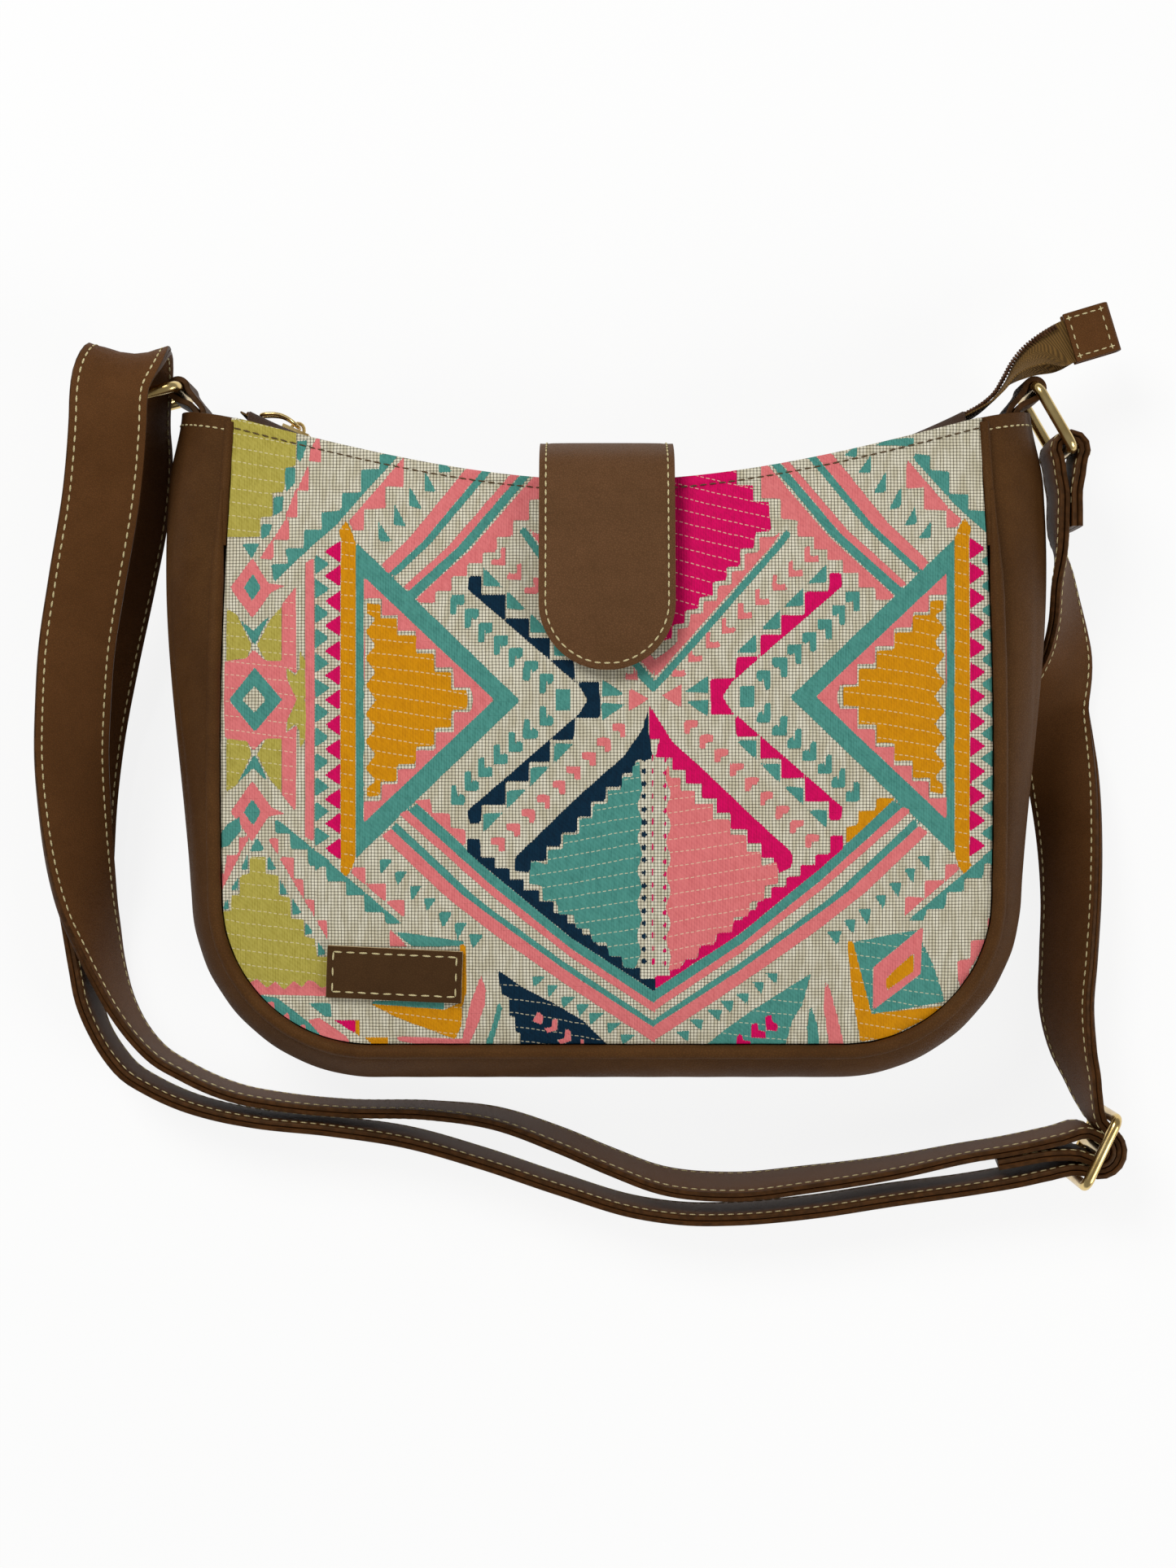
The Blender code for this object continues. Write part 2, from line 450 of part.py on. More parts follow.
magenta 31.3,-65.8 41.2,-59.5 66.7,-38.6 72.6,-33.4 72.6,-29.9 69.2,-29.9 69.2,-35.2 68.9,-35.5
64.7,-35.5 64.7,-38.6 64.4,-38.9 60.2,-38.9 60.2,-42.1 59.9,-42.4 55.6,-42.3 55.6,-45.4 55.3,-45.7
52.8,-45.7 52.5,-46.1 51.1,-46.1 51.1,-48.8 50.8,-49.1 46.6,-49.4 46.7,-52.3 46.4,-52.6 45.5,-52.6
45.3,-52.9 42.2,-52.9 42,-56 41.7,-56.3 38.5,-56.2 38.5,-59.4 38.2,-59.7 34.8,-59.7 34.9,-62.8
34.6,-63.1 31.3,-63.1

teal 14.3,14.9 20,20.9 56.4,62.6 56.7,63.2 56.2,63.7 55.6,64.1 54.9,63.4 14.7,17.6 12.7,18.9 13,19.3
13.8,19 5.8,28.1 4.4,27.1 10,20.9 9.2,20

mustard -49.3,-91.8 -46.8,-91.8 -45.6,-89.5 -44.9,-82.4 -46.4,-82.3 -50.1,-84 -71.5,-82.4 -66.1,-85.4

pink 15.4,20.3 53,62.8 51.4,62 47.5,61.8 47.5,58 47.2,57.7 42.9,57.5 42.9,52.4 42,52 38.9,51.9 38.8,47.8
38.5,47.5 34.6,47.3 34.5,43 33.6,42.6 30.1,42.5 30,38.9 29.7,38.6 25.9,38.4 25.7,34.6 25.4,34.3
21.9,33.9 21.9,30 18.5,26.9 15.4,24.8
"""


def field_loops(words):
    """The outline and the windows of a field, as lists of corners in metres."""
    loops = [[]]
    for word in words:
        if word == "/":
            loops.append([])
        else:
            x, y = word.split(",")
            loops[-1].append((float(x) * MILLIMETRE, float(y) * MILLIMETRE))
    return loops


def cut_across(shell, axis, low, high):
    """Split the faces along evenly spaced lines, so that they can bend over the dome."""
    normal = Vector((1, 0, 0)) if axis == 0 else Vector((0, 1, 0))
    at = low
    while at < high:
        everything = shell.verts[:] + shell.edges[:] + shell.faces[:]
        bmesh.ops.bisect_plane(shell, geom=everything, dist=SLIM, plane_co=normal * at,
                               plane_no=normal)
        at += FACET


def build_field(name, finish, loops):
    """A thin plate inside the first loop and outside the others, bent over the front panel."""
    shell = bmesh.new()
    edges = []
    for loop in loops:
        verts = [shell.verts.new((x, y, 0.0)) for x, y in loop]
        edges += [shell.edges.new(pair) for pair in zip(verts, verts[1:] + verts[:1])]
    bmesh.ops.triangle_fill(shell, use_beauty=True, edges=edges)
    cut_across(shell, 0, -PANEL_HALF, PANEL_HALF)
    cut_across(shell, 1, PANEL_BOTTOM, MOUTH_END)
    bmesh.ops.triangulate(shell, faces=shell.faces[:])
    for vert in shell.verts:
        vert.co.z = front_height(vert.co.x, vert.co.y) + GAP
    raised = bmesh.ops.extrude_face_region(shell, geom=shell.faces[:], use_keep_orig=True)
    upper = [part for part in raised["geom"] if isinstance(part, bmesh.types.BMVert)]
    bmesh.ops.translate(shell, verts=upper, vec=(0.0, 0.0, YARN_THICKNESS))
    bmesh.ops.recalc_face_normals(shell, faces=shell.faces[:])
    mesh = bpy.data.meshes.new(name)
    shell.to_mesh(mesh)
    shell.free()
    place(name, mesh, finish)


def build_fields():
    made = {yarn: 0 for yarn in YARNS}
    for field in FIELDS.strip().split("\n\n"):
        yarn, *words = field.split()
        made[yarn] += 1
        build_field(yarn + "_field_" + str(made[yarn]), YARNS[yarn], field_loops(words))


# Gusset and piping

GUSSET_ALONG = 52
GUSSET_ACROSS = 9


def seam_share(y):
    """1 where the seam holds the piping, 0 above it."""
    return 1 - smooth((y - PIPING_TOP) / (10 * PIPING_RADIUS))


def gusset_bulge(y):
    share = smooth((y + 0.060) / 0.130)
    return GUSSET_BULGE_LOW + (GUSSET_BULGE_HIGH - GUSSET_BULGE_LOW) * share


def gusset_surface(u, v):
    """u runs from the front seam to the back seam, v from the left hem to the right hem."""
    s = 2 * v - 1
    edge = outline(s)
    away = outward(s)
    held = seam_share(edge.y)
    low = PANEL_THICKNESS * (1 - held) + 2 * (PIPING_RADIUS + GAP) * held
    high = front_edge(edge.y) - PANEL_THICKNESS * (1 - held) - (PIPING_RADIUS + GAP) * held
    bow = sin(pi * u) ** 0.62
    point = edge + away * (SEAM * held + 2 * GAP + gusset_bulge(edge.y) * bow)
    point.y += GUSSET_PEAK * bow * smooth((abs(s) - 0.8) / 0.2)
    point.z = high + (low - high) * u
    return point


def piping_path(height):
    """Points beside the panel's edge, from the left to the right end of the piping."""
    points = []
    top = (PIPING_TOP - PANEL_BOTTOM - PANEL_CORNER) / (MOUTH_END - PANEL_BOTTOM - PANEL_CORNER)
    end = BOTTOM_SHARE + (1 - BOTTOM_SHARE) * (CORNER_SHARE + (1 - CORNER_SHARE) * top)
    for step in range(PIPING_STEPS + 1):
        s = -end + 2 * end * step / PIPING_STEPS
        edge = outline(s)
        point = edge + outward(s) * (SEAM + GAP / 2)
        point.z = height(edge.y)
        points.append(point)
    return points


PIPING_STEPS = 48


def piping_taper(index):
    """The piping thins to a point where it runs into the seam."""
    return 0.35 + 0.65 * smooth(min(index, PIPING_STEPS - index) / 3)


def build_gusset():
    sheet("gusset", GUSSET_ACROSS, GUSSET_ALONG, gusset_surface, GUSSET_THICKNESS, LEATHER, -1.0)
    wire("front_piping", piping_path(front_edge), PIPING_RADIUS, LEATHER, resolution=2,
         taper=piping_taper)
    wire("back_piping", piping_path(lambda y: PIPING_RADIUS + GAP), PIPING_RADIUS, LEATHER,
         resolution=2, taper=piping_taper)


def flow(stations, spacing):
    """Samples of a smooth curve through rows of numbers, whose first two or three are a place."""
    rows = np.array(stations, dtype=float)
    steps = np.linalg.norm(np.diff(rows[:, :3], axis=0), axis=1)
    slopes = np.diff(rows, axis=0) / steps[:, None]
    bends = np.vstack([slopes[:1], slopes, slopes[-1:]])
    reach = np.concatenate([steps[:1], steps, steps[-1:]])[:, None]
    tangents = (bends[:-1] * reach[1:] + bends[1:] * reach[:-1]) / (reach[:-1] + reach[1:])
    samples = []
    for index, step in enumerate(steps):
        count = max(1, round(step / spacing))
        for t in np.arange(count) / count:
            a = (1 + 2 * t) * (1 - t) ** 2 * rows[index] + t * t * (3 - 2 * t) * rows[index + 1]
            b = t * (1 - t) ** 2 * tangents[index] + t * t * (t - 1) * tangents[index + 1]
            samples.append(a + b * step)
    samples.append(rows[-1])
    return np.array(samples)


def directions(points):
    """Unit tangents along sampled points."""
    along = np.gradient(points, axis=0)
    return along / np.linalg.norm(along, axis=1)[:, None]


def row_of(v, count):
    """Index of the grid row at v."""
    return round(v * (count - 1))


# Lining, a loose cloth sack inside the shell

LINING_THICKNESS = 0.0005
LINING_PLAY = 0.0004          # between the lining and the shell
LINING_DROP = 0.0120          # of its mouth below the panels' edge
LINING_SQUARE = 2.6           # how square its section is


def lining_surface(u, v):
    turn = 2 * pi * u
    half, y = side_point(v)
    half += 0.8 * gusset_bulge(y) - LINING_PLAY
    x = half * copysign(abs(cos(turn)) ** (2 / LINING_SQUARE), cos(turn))
    share = (y - PANEL_BOTTOM) / (MOUTH_END - PANEL_BOTTOM)
    full = sqrt(max(0.0, 1 - (1 - min(v / CORNER_SHARE, 1.0)) ** 2.5))
    deep = MID_Z - PANEL_THICKNESS - LINING_THICKNESS - LINING_PLAY
    if sin(turn) > 0:
        deep += 0.8 * DOME * swell(min(abs(x) / PANEL_HALF, 1.0), share) - MOUTH_LEAN * share
    z = MID_Z + full * deep * copysign(abs(sin(turn)) ** (2 / LINING_SQUARE), sin(turn))
    top = mouth(x) - LINING_DROP
    return Vector((x, PANEL_BOTTOM + (top - PANEL_BOTTOM) * share, z))


def build_lining():
    sheet("lining", 24, 10, lining_surface, LINING_THICKNESS, LINING, -1.0)


# Zip: two tapes with a coil on each, from the left end of the mouth to a loose tail on the right

ZIP_TAIL = [(0.1215, 0.1074, 90), (0.1262, 0.1115, 90), (0.1292, 0.1165, 86), (0.1316, 0.1218, 66),
            (0.1346, 0.1266, 42), (0.1388, 0.1308, 16), (0.1440, 0.1343, 1.5), (0.1500, 0.1370, 0.4),
            (0.1590, 0.1398, 0.4)]
TAIL_COILED = 0.0150          # of the tail's end that has no coil
ZIP_STEPS = 22


def zip_y(x):
    return ZIP_CENTRE_Y - sqrt(ZIP_RADIUS ** 2 - x * x)


def zip_path():
    """Places, tangents and fold angles along the zip: 90 degrees is flat, 0 folded in two."""
    stations = []
    for step in range(ZIP_STEPS + 1):
        x = ZIP_HALF_LENGTH * (2 * step / ZIP_STEPS - 1)
        stations.append((x, zip_y(x), 90))
    flat = [(x, y, 0.0, fold) for x, y, fold in stations + ZIP_TAIL]
    rows = flow(flat, 0.006)
    places = rows[:, :3] + np.array([0, 0, MID_Z])
    return places, directions(places), np.radians(rows[:, 3])


ZIP_PLACES, ZIP_ALONG, ZIP_FOLD = zip_path()


def zip_frame(index, side):
    """Place, width and height directions of one tape: side 1 is the front tape, -1 the back one."""
    along = Vector(ZIP_ALONG[index])
    away = Vector((along.y, -along.x, 0))
    up = Vector((0, 0, 1)) * side
    fold = ZIP_FOLD[index]
    wide = up * sin(fold) + away * cos(fold)
    high = -away * sin(fold) + up * cos(fold)
    return Vector(ZIP_PLACES[index]) + up * (COIL_GAP / 2), wide, high


def build_zip():
    rows = len(ZIP_PLACES)
    kept = int(np.sum(np.linalg.norm(ZIP_PLACES - ZIP_PLACES[-1], axis=1) > TAIL_COILED))
    for side, label in ((1, "front"), (-1, "back")):

        def tape_surface(u, v, side=side):
            place_at, wide, _ = zip_frame(row_of(v, rows), side)
            return place_at + wide * TAPE_WIDTH * u

        def coil_surface(u, v, side=side):
            place_at, wide, high = zip_frame(row_of(v, kept), side)
            lift = TAPE_THICKNESS / 2 + GAP + COIL_HEIGHT / 2
            return place_at + wide * COIL_WIDTH * u + high * lift

        sheet("zip_tape_" + label, 1, rows - 1, tape_surface, TAPE_THICKNESS, TAPE)
        sheet("zip_coil_" + label, 1, kept - 1, coil_surface, COIL_HEIGHT, COIL)
        sheet("facing_" + label, 3, 18, facing_surface(side), FACING_THICKNESS, DARK_LEATHER)
    build_zip_tab()


FACING_END = 0.0030           # between the facing's end and the end of the mouth
FACING_LAP = 0.0030           # of the facing over the tape


def facing_surface(side):
    """The leather strip from the hem of a panel to its tape."""

    def surface(u, v):
        x = (2 * v - 1) * (PANEL_TOP_HALF - FACING_END)
        outer = MID_Z + side * (MID_Z - PANEL_THICKNESS - GAP)
        if side > 0:
            outer += front_edge(mouth(x)) - BODY_DEPTH
        inner = MID_Z + side * (COIL_GAP / 2 + TAPE_WIDTH - FACING_LAP)
        high = mouth(x) - FACING_THICKNESS
        low = zip_y(x) + TAPE_THICKNESS / 2 + GAP + FACING_THICKNESS / 2
        share = smooth(u * 1.5)
        return Vector((x, high + (low - high) * share, outer + (inner - outer) * u))

    return surface


TAB_THICKNESS = 0.0012
TAB_LENGTH = 0.0125
TAB_EDGE = 0.0012             # of the tab beyond the tape


def build_zip_tab():
    """A piece of leather folded over the end of the tail and sewn through."""
    last = len(ZIP_PLACES) - 1
    along = Vector(ZIP_ALONG[last])
    _, wide, high = zip_frame(last, 1)
    centre = Vector(ZIP_PLACES[last])
    half = COIL_GAP / 2 + TAPE_THICKNESS / 2 + 2 * GAP + TAB_THICKNESS / 2
    profile = [(-TAB_LENGTH, half), (-TAB_LENGTH / 2, half), (GAP, half)]
    profile += [(GAP + half * sin(pi * k / 6), half * cos(pi * k / 6)) for k in range(1, 6)]
    profile += [(GAP, -half), (-TAB_LENGTH / 2, -half), (-TAB_LENGTH, -half)]

    def surface(u, v):
        forward, rise = profile[row_of(v, len(profile))]
        across = -TAB_EDGE + (TAPE_WIDTH + 2 * TAB_EDGE) * u
        return centre + along * forward + high * rise + wide * across

    sheet("zip_end_tab", 1, len(profile) - 1, surface, TAB_THICKNESS, LEATHER)


# Slider and its pull

SLIDER_PLAY = 0.00045         # around the coil and the tape
SLIDER_FLANGE = 0.0009
SLIDER_BLADE = 0.0005         # between the two halves of the coil
SLIDER_TOP = TAPE_THICKNESS / 2 + GAP + COIL_HEIGHT + SLIDER_PLAY + SLIDER_PLATE
BRIDGE_RISE = 0.0026
BRIDGE_SPAN = 0.0022
BRIDGE_WIRE = 0.00055
PULL_RISE = SLIDER_TOP + BRIDGE_RISE / 2 - BRIDGE_WIRE / 2
PULL_HALF = 0.0028


def on_slider(x, y, z):
    """A place given along the zip, above it and across it, from the slider's middle."""
    slope = asin(SLIDER_REST_X / ZIP_RADIUS)
    return Vector((SLIDER_REST_X + x * cos(slope) - y * sin(slope),
                   zip_y(SLIDER_REST_X) + x * sin(slope) + y * cos(slope), MID_Z + z))


def build_slider():
    """An I-shaped section pushed out along the zip, with a bridge that holds the pull."""
    roof = SLIDER_TOP - SLIDER_PLATE
    wall = COIL_GAP / 2 + COIL_WIDTH + SLIDER_PLAY
    foot = TAPE_THICKNESS / 2 + SLIDER_PLAY
    half = wall + SLIDER_FLANGE
    blade = SLIDER_BLADE / 2
    right = [(half, SLIDER_TOP), (half, foot), (wall, foot), (wall, roof), (blade, roof),
             (blade, -foot), (half, -foot), (half, -foot - SLIDER_PLATE)]
    section = right + [(-z, y) for z, y in reversed(right)]
    data = bpy.data.curves.new("zip_slider", "CURVE")
    data.dimensions = "2D"
    data.fill_mode = "BOTH"
    data.extrude = SLIDER_LENGTH / 2
    spline = data.splines.new("POLY")
    spline.points.add(len(section) - 1)
    for point, (z, y) in zip(spline.points, section):
        point.co = (z, y, 0, 1)
    spline.use_cyclic_u = True
    data.materials.append(GOLD)
    body = bpy.data.objects.new("zip_slider", data)
    parts.objects.link(body)
    origin = on_slider(0, 0, 0)
    along = on_slider(1, 0, 0) - origin
    up = on_slider(0, 1, 0) - origin
    turn = Matrix((Vector((0, 0, 1)), up, -along)).transposed()
    body.matrix_world = Matrix.Translation(origin) @ turn.to_4x4()
    bpy.context.view_layer.update()
    body = to_mesh(body)
    arch = [(BRIDGE_SPAN * cos(pi * k / 8), BRIDGE_RISE * sin(pi * k / 8)) for k in range(9)]
    points = [on_slider(x, SLIDER_TOP - BRIDGE_WIRE / 2 + y, 0) for x, y in arch]
    bridge = wire("slider_bridge", points, BRIDGE_WIRE, GOLD, resolution=1)
    bpy.context.view_layer.update()
    join(body, to_mesh(bridge))


def build_pull():
    """A bent wire loop that lies back along the zip."""
    points = []
    rest = TAPE_THICKNESS / 2 + GAP + COIL_HEIGHT + 2 * PULL_WIRE
    side = [(t, PULL_HALF) for t in (0.04, 0.25, 0.5, 0.75)]
    tip = [(0.92, 0.85 * PULL_HALF), (0.99, 0.5 * PULL_HALF), (1.0, 0.0)]
    half = [(0.0, 0.0), (0.0, 0.8 * PULL_HALF)] + side + tip
    loop = half + [(t, -z) for t, z in reversed(half[1:-1])]
    for t, z in loop:
        height = PULL_RISE + (rest - PULL_RISE) * t + 0.0018 * sin(pi * t)
        points.append(on_slider(-PULL_LENGTH * t, height, z))
    wire("zip_pull", points, PULL_WIRE, GOLD, closed=True, resolution=1)


# Flap: a leather tab sewn to the back edge of the mouth and laid over to the front

FLAP_STACK = 2 * SNAP_THICKNESS + 5 * GAP + FLAP_LINING_THICKNESS + FLAP_THICKNESS / 2
FLAP_HINGE_Z = 0.0035
FLAP_ROUND = 0.68             # share of the rows that are straight
FLAP_FOLD = [(0.0028, 0.0000), (0.0065, 0.0060), (0.0105, 0.0145), (0.0127, 0.0260),
             (0.0126, 0.0370), (0.0102, 0.0470), (0.0055, 0.0555)]
FLAP_TIP_Y = 0.0212


def flap_path():
    """(y, z) from the hinge over the mouth and down the front panel."""
    points = [(MOUTH_LOW + y, FLAP_HINGE_Z + z) for y, z in FLAP_FOLD]
    for y, extra in ((0.0760, 0.0012), (0.0640, 0.0006), (0.0500, 0.0), (SNAP_Y, 0.0),
                     (FLAP_TIP_Y, -0.0012)):
        points.append((y, front_height(0, y) + FLAP_STACK + extra))
    rows = flow([(y, z, 0.0) for y, z in points], 0.004)
    along = directions(rows)
    length = np.concatenate([[0], np.cumsum(np.linalg.norm(np.diff(rows, axis=0), axis=1))])
    return rows, along, length


FLAP_ROWS, FLAP_ALONG, FLAP_LENGTH = flap_path()


def flap_at(travel, lift):
    """(y, z) at a distance along the flap, lifted off it."""
    y, z = (np.interp(travel, FLAP_LENGTH, FLAP_ROWS[:, k]) for k in (0, 1))
    dy, dz = (np.interp(travel, FLAP_LENGTH, FLAP_ALONG[:, k]) for k in (0, 1))
    size = hypot(dy, dz)
    return y + lift * dz / size, z - lift * dy / size


def flap_surface(inset, lift):
    """The flap's outline, straight and then round at its end, on the path."""
    half_width = FLAP_WIDTH / 2 - inset
    whole = FLAP_LENGTH[-1] - inset

    def surface(u, v):
        if v < FLAP_ROUND:
            travel = inset + (whole - inset - half_width) * v / FLAP_ROUND
            half = half_width
        else:
            turn = radians(84) * (v - FLAP_ROUND) / (1 - FLAP_ROUND)
            travel = whole - half_width * (1 - sin(turn))
            half = half_width * cos(turn)
        y, z = flap_at(travel, lift)
        return Vector(((2 * u - 1) * half, y, z))

    return surface


def snap(name, at, axis):
    """One half of the magnetic snap, a disc with a rounded rim."""
    bpy.ops.mesh.primitive_cylinder_add(vertices=24, radius=SNAP_RADIUS, depth=SNAP_THICKNESS)
    disc = bpy.context.object
    disc.name = name
    disc.rotation_euler = axis.to_track_quat("Z", "Y").to_euler()
    disc.location = at
    for holder in list(disc.users_collection):
        holder.objects.unlink(disc)
    parts.objects.link(disc)
    disc.data.materials.append(STEEL)
    rim = disc.modifiers.new("rim", "BEVEL")
    rim.width = SNAP_THICKNESS / 5
    rim.segments = 1
    rim.limit_method = "ANGLE"


def build_flap():
    under = FLAP_THICKNESS / 2 + GAP + FLAP_LINING_THICKNESS / 2
    sheet("flap", 4, 30, flap_surface(0.0, 0.0), FLAP_THICKNESS, LEATHER)
    sheet("flap_lining", 4, 30, flap_surface(0.0006, -under), FLAP_LINING_THICKNESS, DARK_LEATHER)
    travel = float(np.interp(-SNAP_Y, -FLAP_ROWS[:, 0], FLAP_LENGTH))
    y, z = flap_at(travel, -under - FLAP_LINING_THICKNESS / 2 - 2 * GAP - SNAP_THICKNESS / 2)
    dy, dz = flap_at(travel, 1.0)
    axis = Vector((0, dy - flap_at(travel, 0.0)[0], dz - flap_at(travel, 0.0)[1]))
    snap("snap_flap", Vector((0, y, z)), axis)
    low = front_height(0, SNAP_Y) + GAP + SNAP_THICKNESS / 2
    snap("snap_panel", Vector((0, SNAP_Y, low)), axis)


# Label patch, left without any wording

def patch_surface(u, v):
    a = (u - 0.5) * PATCH_LENGTH
    b = (v - 0.5) * PATCH_WIDTH
    x = PATCH_AT[0] + a * cos(PATCH_TILT) - b * sin(PATCH_TILT)
    y = PATCH_AT[1] + a * sin(PATCH_TILT) + b * cos(PATCH_TILT)
    return Vector((x, y, front_height(x, y) + 2 * GAP + PATCH_THICKNESS / 2))


# Chapes, rings and adjuster

def build_chape(name, side):
    """A leather strip folded round the ring's bar, with both ends sewn inside the gusset's hem."""
    round_bar = WIRE + GAP + CHAPE_THICKNESS / 2
    x, y = RING_AT
    fold = [(x + round_bar * cos(radians(a)), y + round_bar * sin(radians(a)))
            for a in (180, 150, 120, 90, 60, 30, 0, -30)]
    inner = [(0.1278, 0.0935), (0.1278, 0.1010), (0.1289, 0.1062), (0.1316, 0.1096)]
    outer = [(0.1361, 0.1088), (0.1325, 0.1072), (0.1304, 0.1042), (0.1299, 0.1005), (0.1299, 0.0935)]
    rows = flow([(px, py, 0.0) for px, py in inner + fold + outer], 0.0022)

    def surface(u, v):
        px, py, _ = rows[row_of(v, len(rows))]
        return Vector((side * px, py, MID_Z + (u - 0.5) * CHAPE_WIDTH))

    sheet(name, 1, len(rows) - 1, surface, CHAPE_THICKNESS, LEATHER)


def frame_loop(centre, along, low, high, half, corner):
    """A rectangle with round corners in the plane of along and +Z."""
    points = []
    middle = (low + high) / 2
    reach = (high - low) / 2 - corner
    tall = half - corner
    for quarter, (a, b) in enumerate(((1, 1), (-1, 1), (-1, -1), (1, -1))):
        for step in range(4):
            turn = pi / 2 * (quarter + step / 3)
            t = middle + a * reach + corner * cos(turn)
            points.append(centre + along * t + Vector((0, 0, b * tall + corner * sin(turn))))
    return points


def ring_frame(side):
    """Pivot and direction of a ring, from the chape's bar to the strap's bar."""
    turn = RIGHT_RING_TURN if side > 0 else LEFT_RING_TURN
    return Vector((side * RING_AT[0], RING_AT[1], MID_Z)), Vector((cos(turn), sin(turn), 0))


def build_ring(name, side):
    pivot, along = ring_frame(side)
    loop = frame_loop(pivot, along, 0.0, RING_LENGTH, RING_HALF_WIDTH, 1.6 * WIRE)
    wire(name, loop, WIRE, GOLD, closed=True)


ADJUSTER_ALONG = Vector((sin(ADJUSTER_TURN), -cos(ADJUSTER_TURN), 0))
ADJUSTER_OUT = Vector((cos(ADJUSTER_TURN), sin(ADJUSTER_TURN), 0))
ADJUSTER_MIDDLE = Vector((*ADJUSTER_AT, ADJUSTER_Z))


def build_adjuster():
    """A three-bar slide: the strap's sewn end on its middle bar, the strap round its end bars."""
    loop = frame_loop(ADJUSTER_MIDDLE, ADJUSTER_ALONG, -ADJUSTER_PITCH, ADJUSTER_PITCH,
                      RING_HALF_WIDTH, 1.6 * WIRE)
    frame = wire("adjuster", loop, WIRE, GOLD, closed=True)
    bpy.context.view_layer.update()
    frame = to_mesh(frame)
    bpy.ops.mesh.primitive_cylinder_add(vertices=12, radius=0.92 * WIRE, depth=2 * RING_HALF_WIDTH,
                                        location=ADJUSTER_MIDDLE)
    join(frame, bpy.context.object)


# Strap: one long strap of two layers, laid out around the bag
# Each station is x, y, z and the strap's tilt: 0 lies flat, 90 and -90 stand on an edge

STRAP_REST = STRAP_WIDTH / 2 + GAP


def arch():
    """The strap's bend over the left ring's front bar, untwisting on its way round."""
    stations = []
    for step in range(9):
        t = step / 8
        turn = pi * (t - 0.5)
        radius = ARCH_LOW + (ARCH_HIGH - ARCH_LOW) * smooth(t)
        x = ARCH_X[0] + (ARCH_X[1] - ARCH_X[0]) * smooth(t) ** 1.37
        tilt = ARCH_TILT[0] + (ARCH_TILT[1] - ARCH_TILT[0]) * t
        stations.append((x, ARCH_Y + radius * cos(turn), ARCH_Z + radius * sin(turn), tilt))
    return stations


def strap_stations():
    """Stations with the side that faces the bag, in degrees from +X, as a fifth number."""
    pivot, along = ring_frame(1)
    bar = pivot + along * RING_LENGTH
    apart = (STRAP_THICKNESS + GAP) / 2 + GAP
    loop = WIRE + RING_LOOP_PLAY + STRAP_THICKNESS / 2
    end = [(bar.x + apart, bar.y - 0.0245), (bar.x + apart, bar.y - 0.0190),
           (bar.x + apart, bar.y - 0.0130), (bar.x + apart + 0.0009, bar.y - 0.0080)]
    turn = [(bar.x + loop * cos(radians(a)), bar.y + loop * sin(radians(a)))
            for a in (-35, -5, 25, 55, 90, 125, 155, 185, 215)]
    neck = [(bar.x - apart - 0.0009, bar.y - 0.0080), (bar.x - apart, bar.y - 0.0130)]
    stations = [(x, y, MID_Z, 90, 180) for x, y in end + turn + neck]
    stations += [(*place_at, 180) for place_at in RIGHT_RUN]
    middle = ADJUSTER_MIDDLE
    inner = WIRE + GAP + STRAP_THICKNESS / 2
    outer = inner + STRAP_THICKNESS + GAP
    for a in range(0, 181, 20):
        spot = middle + (ADJUSTER_OUT * sin(radians(a)) - ADJUSTER_ALONG * cos(radians(a))) * outer
        stations.append((spot.x, spot.y, spot.z, -90, 90 + 90 * cos(radians(a / 2))))
    stations += [(*place_at, 90) for place_at in LOWER_RUN]
    stations += [(*place_at, 0) for place_at in LEFT_RUN + arch() + FRONT_RUN]
    stations += [(*place_at, 90) for place_at in UPPER_RUN]
    for a in range(0, 181, 20):
        spot = middle + (ADJUSTER_OUT * sin(radians(a)) - ADJUSTER_ALONG * cos(radians(a))) * inner
        stations.append((spot.x, spot.y, spot.z, -90, 90))
    stations += [(*place_at, 90) for place_at in SEWN_END]
    return stations


RING_LOOP_PLAY = 0.0012       # between the right ring's bar and the strap's sewn loop
ARCH_Y = 0.1080               # middle of the strap's bend over the left ring
ARCH_Z = 0.0441
ARCH_LOW = 0.0148             # its radius below and above the bar
ARCH_HIGH = 0.0109
ARCH_X = (-0.1486, -0.1553)
ARCH_TILT = (-61, -8)

